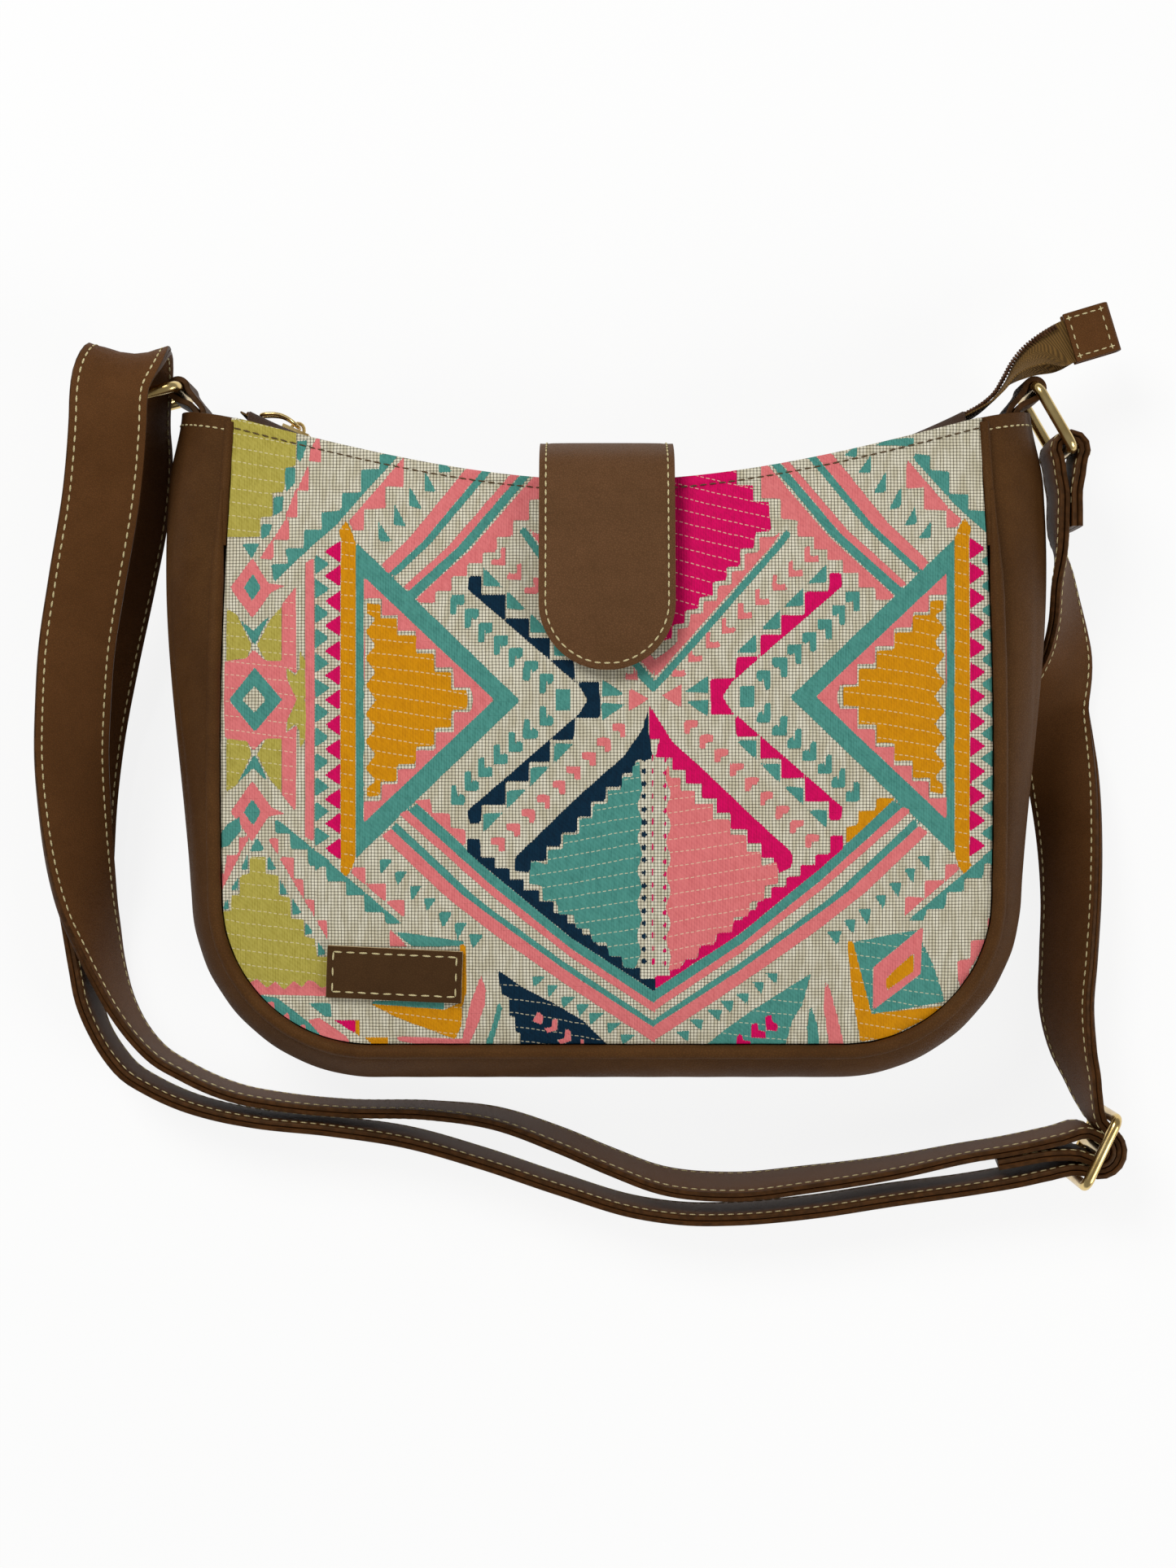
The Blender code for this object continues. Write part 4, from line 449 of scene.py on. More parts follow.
# %% The weaver's chart
CHART = """
yellow c -535,-325 -440,-325 -442,-275 -455,-275 -456,-251 -470,-250 -470,-225 -485,-225 -485,-200
  -535,-200 -535,-233 -535,-272
teal - -440,-300 -427,-300 -435,-279 -440,-283
teal - -455,-275 -442,-274 -443,-258 -454,-250
teal - -469,-247 -456,-246 -458,-233 -469,-225
teal - -484,-216 -471,-216 -474,-203 -484,-196
teal - -508,-192 -486,-192 -496,-174
pink - -412,-306 -411,-278 -426,-280 -422,-294
pink - -425,-277 -425,-250 -439,-252 -433,-264
pink - -440,-255 -440,-224 -455,-225
pink - -451,-226 -450,-196 -470,-197
pink - -470,-198 -469,-172 -485,-174
pink f -495,-174 -475,-143 -455,-140 -472,-132 -495,-100 -522,-138
teal f -494,-155 -484,-138 -495,-121 -506,-138
teal f -514,-103 -494,-84 -474,-103 -492,-67
pink fc -530,0 -528,-48 -502,-51 -493,-62 -481,-49 -459,-48 -459,-116 -442,-138 -441,-40 -438,-30
  -454,-41 -452,-24 -440,0
yellow fc -437,-62 -430,-49 -430,0 -440,0 -451,-24 -454,-40 -442,-29 -437,-38
yellow fc -527,-113 -514,-104 -496,-67 -502,-51 -527,-48
yellow fc -459,-114 -472,-100 -489,-67 -478,-48 -459,-48
teal - -492,-40 -458,0 -492,40 -524,0
ground - -492,-17 -478,0 -492,16 -508,0
pink f -430,-168 -420,-174 -418,0 -430,0
magenta mw 13*0,30.4 -386,-196 -386,-168 -406,-182
teal mw 13*0,30.4 -418,-179.4 -418,-154.5 -400,-166.8
mustard mfc -386,-198 -388,-208 -380,-219 -373,-208 -368,-192 -368,1 -387,1
teal mf -368,-193 -358,-184 -358,1 -368,1
teal m -368,-194 -166,1 -368,195
pink m -358,-151 -198,0 -358,151
ground m -357,-125 -336,-125 -336,-104 -316,-104 -316,-85 -294,-85 -294,-62 -270,-62 -270,-40
  -248,-40 -248,-15 -227,-15 -223,0 -227,15 -248,15 -248,40 -270,40 -270,62 -294,62 -294,85 -316,85
  -316,104 -336,104 -336,125 -357,125
mustard mc -354,-106 -354,-119 -338,-117 -338,-100 -317,-100 -317,-79 -294,-79 -294,-57 -272,-57
  -272,-34 -250,-34 -250,-12 -231,-12 -231,0 -231,12 -250,12 -250,34 -272,34 -272,57 -294,57 -294,79
  -317,79 -317,100 -338,100 -338,117 -354,120 -354,108 -343,100 -356,84 -343,67 -356,51 -343,34
  -356,18 -343,0 -356,-18 -343,-34 -356,-51 -343,-67 -356,-84 -343,-100
teal mf -251,-129 -234,-129 -234,-118 -239,-115 -243,-120 -244,-105 -251,-105
teal mf -234,-112 -217,-112 -217,-101 -222,-98 -226,-103 -227,-88 -234,-88
teal mf -217,-95 -200,-95 -200,-84 -205,-81 -209,-86 -210,-71 -217,-71
teal mf -198,-79 -181,-79 -181,-68 -186,-65 -190,-70 -191,-55 -198,-55
teal mf -180,-64 -163,-64 -163,-53 -168,-50 -172,-55 -173,-40 -180,-40
teal mf -162,-48 -144,-48 -144,-38 -150,-34 -154,-40 -154,-24 -162,-24
teal mf -142,-32 -125,-32 -125,-22 -130,-18 -134,-24 -135,-8 -142,-8
teal m -122,-13 -104,-13 -104,13 -122,13
navy mf:magenta -230,-136 -228,-152 -214,-152 -214,-129 -184,-129 -184,-100 -155,-100 -155,-76
  -129,-76 -129,-49 -100,-49 -99,-22 -68,-22 -68,1 -82,1 -94,-18
teal mf -211,-163 -187,-139 -211,-140
teal mf -182,-134 -158,-110 -182,-112
teal mf -153,-106 -129,-82 -153,-83
teal mf -124,-78 -100,-54 -124,-54
teal mf -65,-25 -37,-6 -66,-4
pink mw 9*20.5,17.6 -190.5,-185 -184.5,-185 -184.5,-165 -202.5,-166 -200.5,-174 -194.5,-172
  -189.5,-174
pink mw 9*-18.6,17.5 -53,30 -45,29 -36,30 -36,46 -43,46 -43.5,38.5 -52,38
pink m -32,-15 -32,14 -8,-1
teal - 161,-206 167,-201 22,-35 -2,-9 -24,-31 -19,-35 -1,-22
pink - 157,-205 1,-29 1,-50 15,-60 27,-71 27,-87 42,-89 43,-105 59,-106 59,-121 77,-122 77,-140
  94,-141 94,-158 110,-159 110,-180 128,-181 128,-197 146,-198
pink - -157,-205 -1,-29 -1,-50 -110,-158 -128,-181 -128,-197 -146,-198
teal - -161,-206 -167,-201 -22,-35 1,-22
magenta cs 24,-270 100,-270 100,-248 121,-248 121,-232 140,-232 142,-204 122,-202 122,-186 104,-185
  104,-164 88,-163 88,-147 71,-145 71,-128 54,-126 53,-112 37,-110 36,-94 21,-92 21,-76 0,-70 0,-270
navy cs -24,-270 -100,-270 -100,-248 -121,-248 -121,-232 -140,-232 -142,-204 -122,-202 -122,-186
  -104,-185 -104,-164 -88,-163 -88,-147 -71,-145 -71,-128 -54,-126 -53,-112 -37,-110 -36,-94 -21,-92
  -21,-76 0,-70 0,-270
ground - 24,-270 100,-270 100,-264 24,-264
teal m -468,-145 -472,-167 -451,-167 -454,-186 -431,-186 -431,-209 -409,-209 -410,-228 -385,-229
  -385,-246 -361,-246 -361,-268 -338,-268 -338,-282 -319,-284 -317,-279 -362,-241 -425,-186
pink m -376,-218 -309,-278 -309,-249 -331,-251 -331,-229 -358,-229 -358,-208 -371,-208
teal m -340,-217 -323,-194 -339,-195
teal m -320,-233 -306,-210 -321,-212
teal m -302,-249 -286,-226 -302,-230
teal m -284,-265 -268,-242 -283,-244
teal m -266,-281 -250,-262 -265,-262
teal m -248,-289 -232,-278 -247,-277
pink m -336,-166 -218,-278 -200,-285 -188,-286 -322,-157 -329,-156
teal m -327,-156 -208,-266 -185,-286 -179,-282 -319,-152
pink m -310,-138 -170,-264 -150,-282 -140,-281 -301,-134
teal m -305,-132 -159,-262 -138,-281 -125,-282 -295,-124
pink m -294,-124 -130,-272 -130,-232 -155,-232 -155,-212 -175,-212 -175,-196 -195,-196 -195,-181
  -212,-181 -212,-168 -231,-168 -231,-152 -250,-152 -250,-134 -270,-134 -271,-119 -289,-119
pink - -332,-305 -319,-304 -318,-299 -329,-289
teal m -318,-299 -285,-296 -272,-290 -318,-291
pink m -336,167 -259,240 -205,283 -105,353 0,422 0,404 -105,336 -205,264 -237,240 -324,159
teal m -324,159 -237,240 -205,264 -105,336 0,404 0,396 -105,327 -205,255 -227,237 -318,151
pink m -315,140 -205,237 -105,315 0,385 0,374 -105,305 -205,225 -304,136
teal m -304,136 -205,225 -105,305 0,374 0,359 -105,291 -205,209 -292,128
pink - -296,124 -276,122 -274,139 -253,140 -251,157 -234,159 -233,181
mustard - 295,121 272,121 271,136 250,137 249,154 235,156 235,177
navy m:magenta -231,171 -231,186 -205,209 -105,291 0,359 0,343 -18,343 -18,329 -36,329 -36,316
  -54,316 -54,302 -72,302 -72,289 -90,289 -90,275 -108,275 -108,262 -125,262 -125,248 -143,248
  -143,234 -161,234 -161,221 -179,221 -179,207 -197,207 -197,194 -215,194 -215,180 -215,171
navy - -8,10 -15,36 -39,70 -96,120 -172,194 -172,210 -155,212 -149,198 -134,198 -134,180 -116,180
  -116,163 -96,163 -96,143 -79,143 -79,125 -61,125 -61,107 -41,107 -41,90 -24,90 -24,73 -3,73 -8,40
magenta - -7,6 6,28 23,54 51,78 100,125 168,188 168,206 146,216 146,194 131,194 131,176 113,176
  113,159 93,159 93,139 76,139 76,121 58,121 58,103 38,103 38,86 21,86 21,71 0,71 6,48 -7,48
teal cr -20,76 -28,81 -28,95 -41,95 -41,111 -58,111 -58,128 -76,128 -76,146 -93,146 -93,166 -113,166
  -113,184 -132,184 -132,203 -153,197 -155,226 -139,228 -137,247 -121,247 -119,264 -100,264 -97,281
  -80,281 -77,298 -60,298 -57,315 -42,315 -39,329 -25,331 -17,310 -23,290 -16,270 -22,250 -16,230
  -22,210 -16,190 -22,170 -16,150 -22,130 -16,110
pink cr 14,80 18,84 18,96 31,96 31,112 49,112 49,128 71,128 71,147 92,147 92,166 112,166 112,187
  130,187 130,205 150,199 152,226 135,228 133,247 117,248 115,266 97,267 95,286 76,287 73,301 55,302
  52,318 36,319 31,330 16,333 20,315 13,295 20,275 13,255 20,235 13,215 20,195 13,175 20,155 13,135
  20,115 13,98
navy w 17*0,15.6 -15,67.5 -11,69.5 -10,73.5 -14,76.6 -17,72.6
magenta - 17*0,15.6 -4,67.6 -1,67.6 -1,75.6 -4,75.6
magenta - 17*0,15.6 10,70.6 14,71.6 14,77.6 10,76.6
teal m -467,146 -447,161 -311,275 -330,275 -334,261 -356,261 -358,240 -379,240 -380,223 -403,223
  -404,205 -425,204 -427,184 -447,183 -449,164 -466,164
teal - -536,167 -526,154 -510,143 -509,161 -524,179 -536,183
pink m -373,213 -371,206 -356,206 -356,226 -331,226 -331,247 -308,246 -307,269
pink - -476,170 -464,170 -463,193 -444,194 -444,220 -433,221 -431,244 -419,246 -418,271 -404,271
  -401,297
pink - -499,169 -511,169 -513,191 -527,191 -529,214 -539,214 -539,246
teal - -489,169 -479,186 -498,186
teal - -476,189 -465,209 -476,209
teal - -461,220 -451,239 -461,239
teal - -446,244 -434,263 -446,264
teal - -431,271 -419,287 -430,289
teal - -414,296 -404,313 -414,314
teal - -501,189 -501,209 -509,209
teal - -513,219 -513,234 -522,234
teal - -526,243 -524,257 -532,258
pink - -516,341 -399,341 -399,364 -496,362
yellow c -498,193 -479,193 -479,214 -463,216 -462,241 -449,243 -448,269 -432,270 -431,291 -418,294
  -416,316 -399,316 -399,350 -410,354 -419,346 -427,344 -434,353 -444,345 -456,356 -467,346 -477,354
  -489,343 -500,348 -514,340 -539,277 -532,260 -521,260 -521,240 -510,240 -510,216 -498,214
teal m -338,196 -321,196 -337,214
teal m -320,211 -305,211 -317,230
teal m -302,229 -287,229 -299,247
teal m -284,244 -269,244 -281,262
teal m -266,261 -249,261 -261,281
teal m -247,274 -231,274 -243,293
teal m -229,288 -211,289 -224,306
teal m -151,340 -135,340 -149,354
teal m -133,351 -119,351 -131,366
teal m -115,365 -98,365 -113,379
teal m -97,374 -80,374 -93,390
teal m -82,385 -63,385 -79,399
teal m -59,397 -42,397 -57,411
teal m -42,411 -25,412 -40,424
teal - -319,286 -304,287 -236,297 -234,303 -299,303
pink - -327,281 -304,303 -326,303
mustard - -240,301 -233,301 -232,357 -236,373 -240,373
teal - -344,370 -259,371 -259,383 -350,374
mustard c -349,374 -259,381 -236,371 -239,403 -246,417 -284,403 -321,389
teal - -499,367 -484,363 -464,367 -430,393 -410,409 -390,417 -407,426 -456,406 -487,383
pink - -480,373 -469,371 -467,383 -479,381
pink - -464,394 -451,384 -449,397
pink - -436,400 -430,399 -429,409 -436,409
pink - -427,394 -413,391 -379,414 -375,423 -407,416
teal - -426,373 -399,373 -397,390 -406,389
magenta - -394,394 -368,394 -368,410
mustard - -368,394 -363,394 -363,414 -368,410
mustard - -357,415 -328,415 -328,427 -344,427
pink - -214,339 -208,357 -209,374 -221,407 -233,431 -240,431 -316,419 -317,414 -237,417 -227,374
teal - -192,370 -188,379 -202,431 -211,431 -200,400
navy c -194,332 -165,352 -122,375 -89,394 -70,413 -50,432 -165,432 -165,410 -171,408 -172,390
  -179,388 -180,365 -188,362
pink - -151,395 -144,382 -137,389 -139,400
pink - -137,403 -128,402 -126,392 -120,392 -120,406 -133,410
pink - -120,418 -112,416 -110,404 -104,406 -103,419 -116,424
pink - -91.8,416.2 -87.5,417.6 -87.5,424.8 -91.8,423.9
teal c 191,337 181,374 168,395 159,430 56,430 85,406 122,380
magenta - 136,406 136,389 143,388 144,396 150,399 150,407
magenta - 118,415 118,399 125,397 127,406 135,408 136,416
magenta - 100,425 101,413 105,410 109,419 117,420 118,426
teal - 191,374 200,403 201,426 188,426 187,403
pink - 210,342 217,363 233,426 214,426 207,377
mustard c 236,296 243,297 266,386 359,376 351,383 285,416 252,420 249,403 242,357
teal c 243,298 305,286 329,283 329,300 342,326 356,371 266,387
pink - 329,279 326,337 268,381 268,329
mustard - 318,311 318,333 285,357 284,343 294,333
pink - 424,240 426,269 420,260
pink - 408,269 421,268 422,283 411,297 409,286
pink - 388,296 405,295 406,300 388,329
pink - 371,320 388,319 386,337 374,354
pink - 392,346 411,346 405,367 395,370
teal - 421,283 422,311 406,311 408,297
teal - 392,326 403,321 405,339 391,339
teal - 388,349 392,367 374,368
yellow - 411,319 418,314 416,337 409,337
"""
UNIT = 1 / 3970               # metres of one chart unit on the cloth
CHART_MIDDLE = (805, 860)     # where its middle lies in the full frame, in pixels
MIRROR_DROP = -4              # the right half of the pattern lies a little higher
COUCHING = {"r": -0.17, "s": 0.28, "c": 0.14}    # slopes of the pale threads over a field
# each yarn's dark colour is also the painted shade between the ridges of its floats
YARNS = {                     # each yarn's light and dark colour
    "teal": ("53998d", "37756c"), "pink": ("e67f7f", "cf6466"),
    "magenta": ("de0260", "b8014c"), "mustard": ("d99205", "bc7902"),
    "navy": ("052a3f", "01192a"), "yellow": ("baad52", "9a8c35"),
}


def chart_copies(corners, whole):
    """Corners of a shape, or of each of its copies in an even run."""
    count, step = corners.pop(0).split("*") if "*" in corners[0] else ("1", "0,0")
    rows = np.array([[float(v) for v in pair.split(",")] for pair in [step, *corners]])
    copies = [rows[1:] + k * rows[0] for k in range(int(count))]
    return [np.round(copy) for copy in copies] if whole else copies


def chart_shapes():
    """(yarn, corners, slope of the couching or None) of every shape, in the order they lie in."""
    shapes = []
    for entry in CHART.strip().replace("\n ", " ").splitlines():
        yarn, ways, *corners = entry.split()
        ways, _, other = ways.partition(":")
        slope = next((COUCHING[way] for way in COUCHING if way in ways), None)
        for points in chart_copies(corners, "w" in ways):
            turned = [points, points * (1, -1)] if "f" in ways else [points]
            shapes += [(yarn, shape, slope) for shape in turned]
            if "m" in ways:
                shapes += [(other or yarn, shape * (-1, 1) + (0, MIRROR_DROP), slope)
                           for shape in turned]
    return shapes


SHAPES = chart_shapes()
print("shapes in the chart:", len(SHAPES))

# %% [markdown]
# A shape could be painted on the cloth as an image. Instead, every point of the cloth gets the
# distance to the nearest edge of each yarn's field, negative inside. The shader cuts that
# distance at zero, so that edges stay sharp however close the camera comes, and they can be
# combed by the threads.

# %% Distances to the fields
def distance_to(shape, a, b):
    """Signed distance from points (a, b) to a shape's edge, negative inside."""
    nearest = np.full(a.shape, 1e9)
    inside = np.zeros(a.shape, dtype=bool)
    for (x0, y0), (x1, y1) in zip(shape, np.roll(shape, -1, axis=0)):
        dx, dy = x1 - x0, y1 - y0
        length = dx * dx + dy * dy
        if length < 1e-9:
            continue
        t = np.clip(((a - x0) * dx + (b - y0) * dy) / length, 0, 1)
        nearest = np.minimum(nearest, (a - x0 - t * dx) ** 2 + (b - y0 - t * dy) ** 2)
        if y0 != y1:
            crossing = ((y0 > b) != (y1 > b)) & (a < x0 + (b - y0) * dx / dy)
            inside ^= crossing
    return np.sqrt(nearest) * np.where(inside, -1, 1)


NEAR = 8.0                    # chart units around a shape in which distances matter
SLOPE_REACH = 3.0             # and in which its couching keeps its slope


def woven_fields(a, b):
    """Distance to each yarn's field for every point, in chart units, later shapes on top."""
    fields = {yarn: np.full(a.shape, NEAR) for yarn in YARNS}
    fields["couched"] = np.full(a.shape, NEAR)
    slopes = np.zeros(a.shape)
    for yarn, shape, slope in SHAPES:
        low, high = shape.min(axis=0) - NEAR, shape.max(axis=0) + NEAR
        near = (a > low[0]) & (a < high[0]) & (b > low[1]) & (b < high[1])
        if not near.any():
            continue
        d = distance_to(shape, a[near], b[near])
        for name, field in fields.items():
            own = name == yarn or (name == "couched" and slope is not None)
            field[near] = np.minimum(field[near], d) if own else np.maximum(field[near], -d)
        if slope is not None:
            slopes[near] = np.where(d < SLOPE_REACH, slope, slopes[near])
    return fields, slopes


def chart_place(x, y, z):
    """Where a point of the cloth lies on the chart: as seen from the eye."""
    scale = PIXELS_PER_SLOPE / (EYE.z - z)
    right, down = [size / 2 - middle for size, middle in zip(FRAME_SIZE, CHART_MIDDLE)]
    return right + (x - EYE.x) * scale, down - (y - EYE.y) * scale


def weave_into(thing, a, b):
    """Store the distances on a mesh's points."""
    fields, slopes = woven_fields(a.ravel(), b.ravel())
    values = {name: field * UNIT * 1000 for name, field in fields.items()}
    values["slope"] = slopes
    for name, value in values.items():
        layer = thing.data.attributes.new("yarn_" + name, "FLOAT", "POINT")
        layer.data.foreach_set("value", np.asarray(value, dtype=np.float32))


print("a field's edge is kept to", NEAR, "chart units")

# %% [markdown]
# The ground shows pinholes where four threads meet, in upright rows; these and the gaps between
# the threads are painted dark, as shade. The satin floats stand a little higher, as fine upright
# ridges, painted lighter on top and darker between them, as light and shade, and their ends make
# the level edges of a field look like a comb. Thin pale couching threads cross the large fields as
# dashes on a slight slope.

# %% Cloth
GROUND_PITCH = (0.00104, 0.00100)
FLOAT_PITCH = 0.00050
COUCH_PITCH = 0.0042
DASH = 0.0017


def cloth(name, patterned=True):
    finish = Finish(name, Roughness=0.9, Specular_IOR_Level=0.15)
    place = finish.place()
    x, y, z = finish.split(place)
    wander = finish.noise(place, 240.0, 2.0) - 0.5
    slub = finish.noise(place, 500.0, 2.0, stretch=(1.0, 0.25, 1.0))
    warp = ((x + wander * 0.0003) * (pi / GROUND_PITCH[0])).sine().absolute()
    weft = ((y + wander * 0.0003) * (pi / GROUND_PITCH[1])).sine().absolute()
    # painted shade: the pinholes and the gaps between threads are darkened towards 4a4333
    hole_shade = ((1.0 - warp).ramp(0.40, 0.90) * 0.75).highest((1.0 - weft).ramp(0.45, 0.92) * 0.75)
    hole_shade = hole_shade.highest((1.0 - warp * weft).ramp(0.62, 0.98))
    pale = finish.mix(slub.ramp(0.3, 0.7), linear("cdc5aa"), linear("e4dec8"))
    colour = finish.mix(hole_shade * 0.9, pale, linear("4a4333"))
    height = (warp * 0.6 + weft * 0.4) * 0.55
    if patterned:
        rib_relief_and_shade = ((x + wander * 0.0002) * (pi / FLOAT_PITCH)).sine().absolute()
        twill = ((x * 0.8 + y + wander * 0.0012) * (2 * pi / 0.0015)).sine() * 0.5 + 0.5
        bow = finish.noise(place, 14.0, 1.0)
        fleck = finish.noise(place, 900.0, 2.0, stretch=(1.0, 0.4, 1.0))
        comb = ((x * (pi / 0.0008)).sine().absolute() - 0.5) * 0.26 + wander * 0.5
        floats = None
        for yarn, (light, dark) in YARNS.items():
            depth = finish.attribute("yarn_" + yarn)
            mask = (comb - depth).ramp(-0.05, 0.05)
            # painted light and shade: the floats' ridge tops and faint twill lines are lighter, the
            # grooves darker; the flecks vary at random
            tone = (rib_relief_and_shade * 0.45 + twill * 0.12 + fleck * 0.75).ramp(0.30, 0.98)
            colour = finish.mix(mask, colour, finish.mix(tone, linear(dark), linear(light)))
            floats = mask if floats is None else floats.highest(mask)
        climb = x * finish.attribute("yarn_slope") + bow * 0.006
        line = ((y + climb) / COUCH_PITCH + wander * 0.14).fraction()
        line = 1.0 - (line - 0.5).absolute().ramp(0.018, 0.046)
        dash = ((x / DASH + wander * 0.5).fraction() - 0.5).absolute().ramp(0.25, 0.36, 1.0, 0.0)
        couched = finish.attribute("yarn_couched")
        couching = line * dash * (0.0 - couched).ramp(0.0, 0.3) * floats
        colour = finish.mix(couching * 0.62, colour, linear("e6dcb8"))
        satin = 0.75 + rib_relief_and_shade * 0.45 + twill * 0.15 - line * 0.35
        height = height * (1.0 - floats) + floats * satin + couching * 0.3
    bump = finish.bump(height + slub * 0.3, 0.00016)
    return finish.feed(Base_Color=colour, Roughness=0.93 - slub * 0.15, Normal=bump)


WOVEN = cloth("woven cloth")
print("woven cloth:", len(WOVEN.node_tree.nodes), "nodes")


def plain_cloth(name, colour, shade, pitch):
    finish = Finish(name, Specular_IOR_Level=0.2)
    place = finish.place()
    x, y, z = finish.split(place)
    cloud = finish.noise(place, 40.0, 4.0)
    warp = ((x + z) * (pi / pitch)).sine().absolute()
    weft = (y * (pi / pitch)).sine().absolute()
    threads = (warp * weft).ramp(0.0, 0.8)
    # painted shade: the gaps between the threads are darker in the colour, besides the bump
    tone = (threads * 0.6 + cloud * 0.5).ramp(0.2, 0.95)
    return finish.feed(Base_Color=finish.mix(tone, linear(shade), linear(colour)),
                       Roughness=0.8 + cloud * 0.15, Normal=finish.bump(threads, 0.00012))


LINING = plain_cloth("lining cloth", "7d6848", "5e4b32", 0.0005)
BACKING = plain_cloth("backing cloth", "b9b4a2", "979280", 0.0008)
print("plain cloths are ready")

# %% [markdown]
# A zip tape is a herringbone twill: narrow upright bands whose threads lean one way and then the
# other; their diagonal lines are bumped and also painted lighter and darker, as light and shade.
# The coil is a nylon spring, sewn on along the tape's edge.

# %% Zip finishes
def herringbone(name, colour, shade):
    finish = Finish(name, Specular_IOR_Level=0.25)
    place = finish.place()
    x, y, z = finish.split(place)
    band = (z / 0.0032).fraction()
    side = (band - 0.5).absolute() * 2.0
    slant_and_shade = ((x + y * 0.6 + side * 0.0016) * (2 * pi / 0.0011)).sine() * 0.5 + 0.5
    cloud = finish.noise(place, 220.0, 3.0)
    # painted light and shade: the twill's diagonal lines lighten and darken the tape's colour
    tone = (slant_and_shade * 0.7 + cloud * 0.5).ramp(0.2, 0.95)
    return finish.feed(Base_Color=finish.mix(tone, linear(shade), linear(colour)),
                       Roughness=0.72 + cloud * 0.2, Normal=finish.bump(slant_and_shade, 0.00014))


TAPE = herringbone("zip tape", "755628", "523b18")
COIL = painted_edge("zip coil", "5a3a26", "3a2215")
print("zip finishes are ready")

# %% [markdown]
# The panels, the piping and the gusset share one outline: a straight bottom, two round corners
# and sides that lean in towards a dipped mouth. These sums repeat those of the part's source.

# %% Outline
PANEL_HALF = 0.1200
PANEL_TOP_HALF = 0.1160
PANEL_BOTTOM = -0.0944
PANEL_CORNER = 0.0440
PANEL_THICKNESS = 0.0014
MOUTH_LOW = 0.0813
MOUTH_RISE = 0.0196
BODY_DEPTH = 0.0570
MOUTH_LEAN = 0.0030
DOME = 0.0085
GAP = 0.0003
PIPING_RADIUS = 0.0022
PIPING_TOP = 0.0780
CORNER_SHARE = 0.34
BOTTOM_SHARE = 0.2
MID_Z = BODY_DEPTH / 2
SEAM = PIPING_RADIUS + GAP


def mouth(x):
    """Height of the mouth's edge at x: low in the middle, high at both ends."""
    t = np.minimum(np.abs(x) / PANEL_TOP_HALF, 1.0)
    return MOUTH_LOW + MOUTH_RISE * t * t * (1.45 - 0.45 * t)


MOUTH_END = float(mouth(PANEL_TOP_HALF))


def side_point(v):
    """(half width, y) of the right edge, v = 0 at the bottom line and 1 at the mouth."""
    v = np.asarray(v, dtype=float)
    turn = pi / 2 * np.minimum(v / CORNER_SHARE, 1.0)
    low = PANEL_BOTTOM + PANEL_CORNER
    rise = np.clip((v - CORNER_SHARE) / (1 - CORNER_SHARE), 0.0, None)
    x = PANEL_HALF - PANEL_CORNER * (1 - np.sin(turn))
    y = np.where(v < CORNER_SHARE, PANEL_BOTTOM + PANEL_CORNER * (1 - np.cos(turn)),
                 low + (MOUTH_END - low) * rise)
    reach = (y - PANEL_BOTTOM / 10) / (MOUTH_END - PANEL_BOTTOM / 10)
    return x - (PANEL_HALF - PANEL_TOP_HALF) * reach * reach, y


def outline(s):
    """Points of the outline: s = -1 left end of the mouth, 0 bottom, 1 right end."""
    s = np.asarray(s, dtype=float)
    x, y = side_point(np.clip((np.abs(s) - BOTTOM_SHARE) / (1 - BOTTOM_SHARE), 0.0, 1.0))
    flat = np.abs(s) < BOTTOM_SHARE
    x = np.where(flat, float(side_point(0.0)[0]) * np.abs(s) / BOTTOM_SHARE, x)
    return np.stack([np.sign(s) * x, y, np.zeros_like(x)], axis=-1)


def outward(s):
    """Unit directions away from the bag, square to the outline."""
    step = 0.004
    along = outline(np.minimum(s + step, 1.0)) - outline(np.maximum(s - step, -1.0))
    away = np.stack([along[..., 1], -along[..., 0], np.zeros_like(along[..., 0])], axis=-1)
    return away / np.linalg.norm(away, axis=-1)[..., None]


def front_edge(y):
    """Height of the front panel's edge above the floor, a little less at the mouth."""
    return BODY_DEPTH - MOUTH_LEAN * smooth((y - MOUTH_LOW / 4) / MOUTH_LOW)


def swell(across, up):
    """Share of the dome: 0 along a panel's edges, 1 in its middle."""
    return (1 - np.abs(across) ** 2.8) * (1 - np.abs(2 * up - 1) ** 3.6)


def front_height(x, y):
    up = (y - PANEL_BOTTOM) / (mouth(x) - PANEL_BOTTOM)
    return front_edge(y) + DOME * swell(x / PANEL_HALF, np.clip(up, 0.0, 1.0))


print("mouth rises from", MOUTH_LOW, "to", round(MOUTH_END, 4))

# %% [markdown]
# The front panel is a stuffed, slightly domed sheet. A cloth simulation could puff it up, but its
# dome is only a few millimetres high over a quarter of a metre, so it is shaped directly: the
# dome, small puckers along the seam, and at the mouth a hem that rolls over and runs down
# inside, with the groove that its line of stitches pulls in. A point every 0.8 mm carries the
# chart.

# %% Panels
PANEL_POINTS = (302, 236)
HEM_ROLL = PANEL_THICKNESS / 2
HEM_DEPTH = 0.0060
HEM_STITCH = 0.0034
HEM_GROOVE = (0.00035, 0.0006)    # depth and width of the groove along the stitches
HEM_PUFF = 0.00015
HEM_PULL = 0.0050             # the pattern is drawn out over the hem by this much
HEM_REACH = 0.0260
TUCK = (0.0004, 0.0010, 0.0012)
PUCKER = 0.00030
PUCKER_REACH = 0.007
PUCKER_PITCHES = (0.0113, 0.0047)
DRAPE = 0.00010               # slow waves over the whole panel


def panel_grid(columns, rows):
    """x, y, across and up of a panel's points below its hem."""
    u = np.linspace(0, 1, columns)[None, :]
    half, y = side_point(np.linspace(0, 1, rows)[:, None])
    x = (2 * u - 1) * half
    up = (y - PANEL_BOTTOM) / (MOUTH_END - PANEL_BOTTOM)
    up = np.broadcast_to(up, x.shape)
    return x, PANEL_BOTTOM + (mouth(x) - HEM_ROLL - PANEL_BOTTOM) * up, 2 * u - 1 + 0 * x, up, half


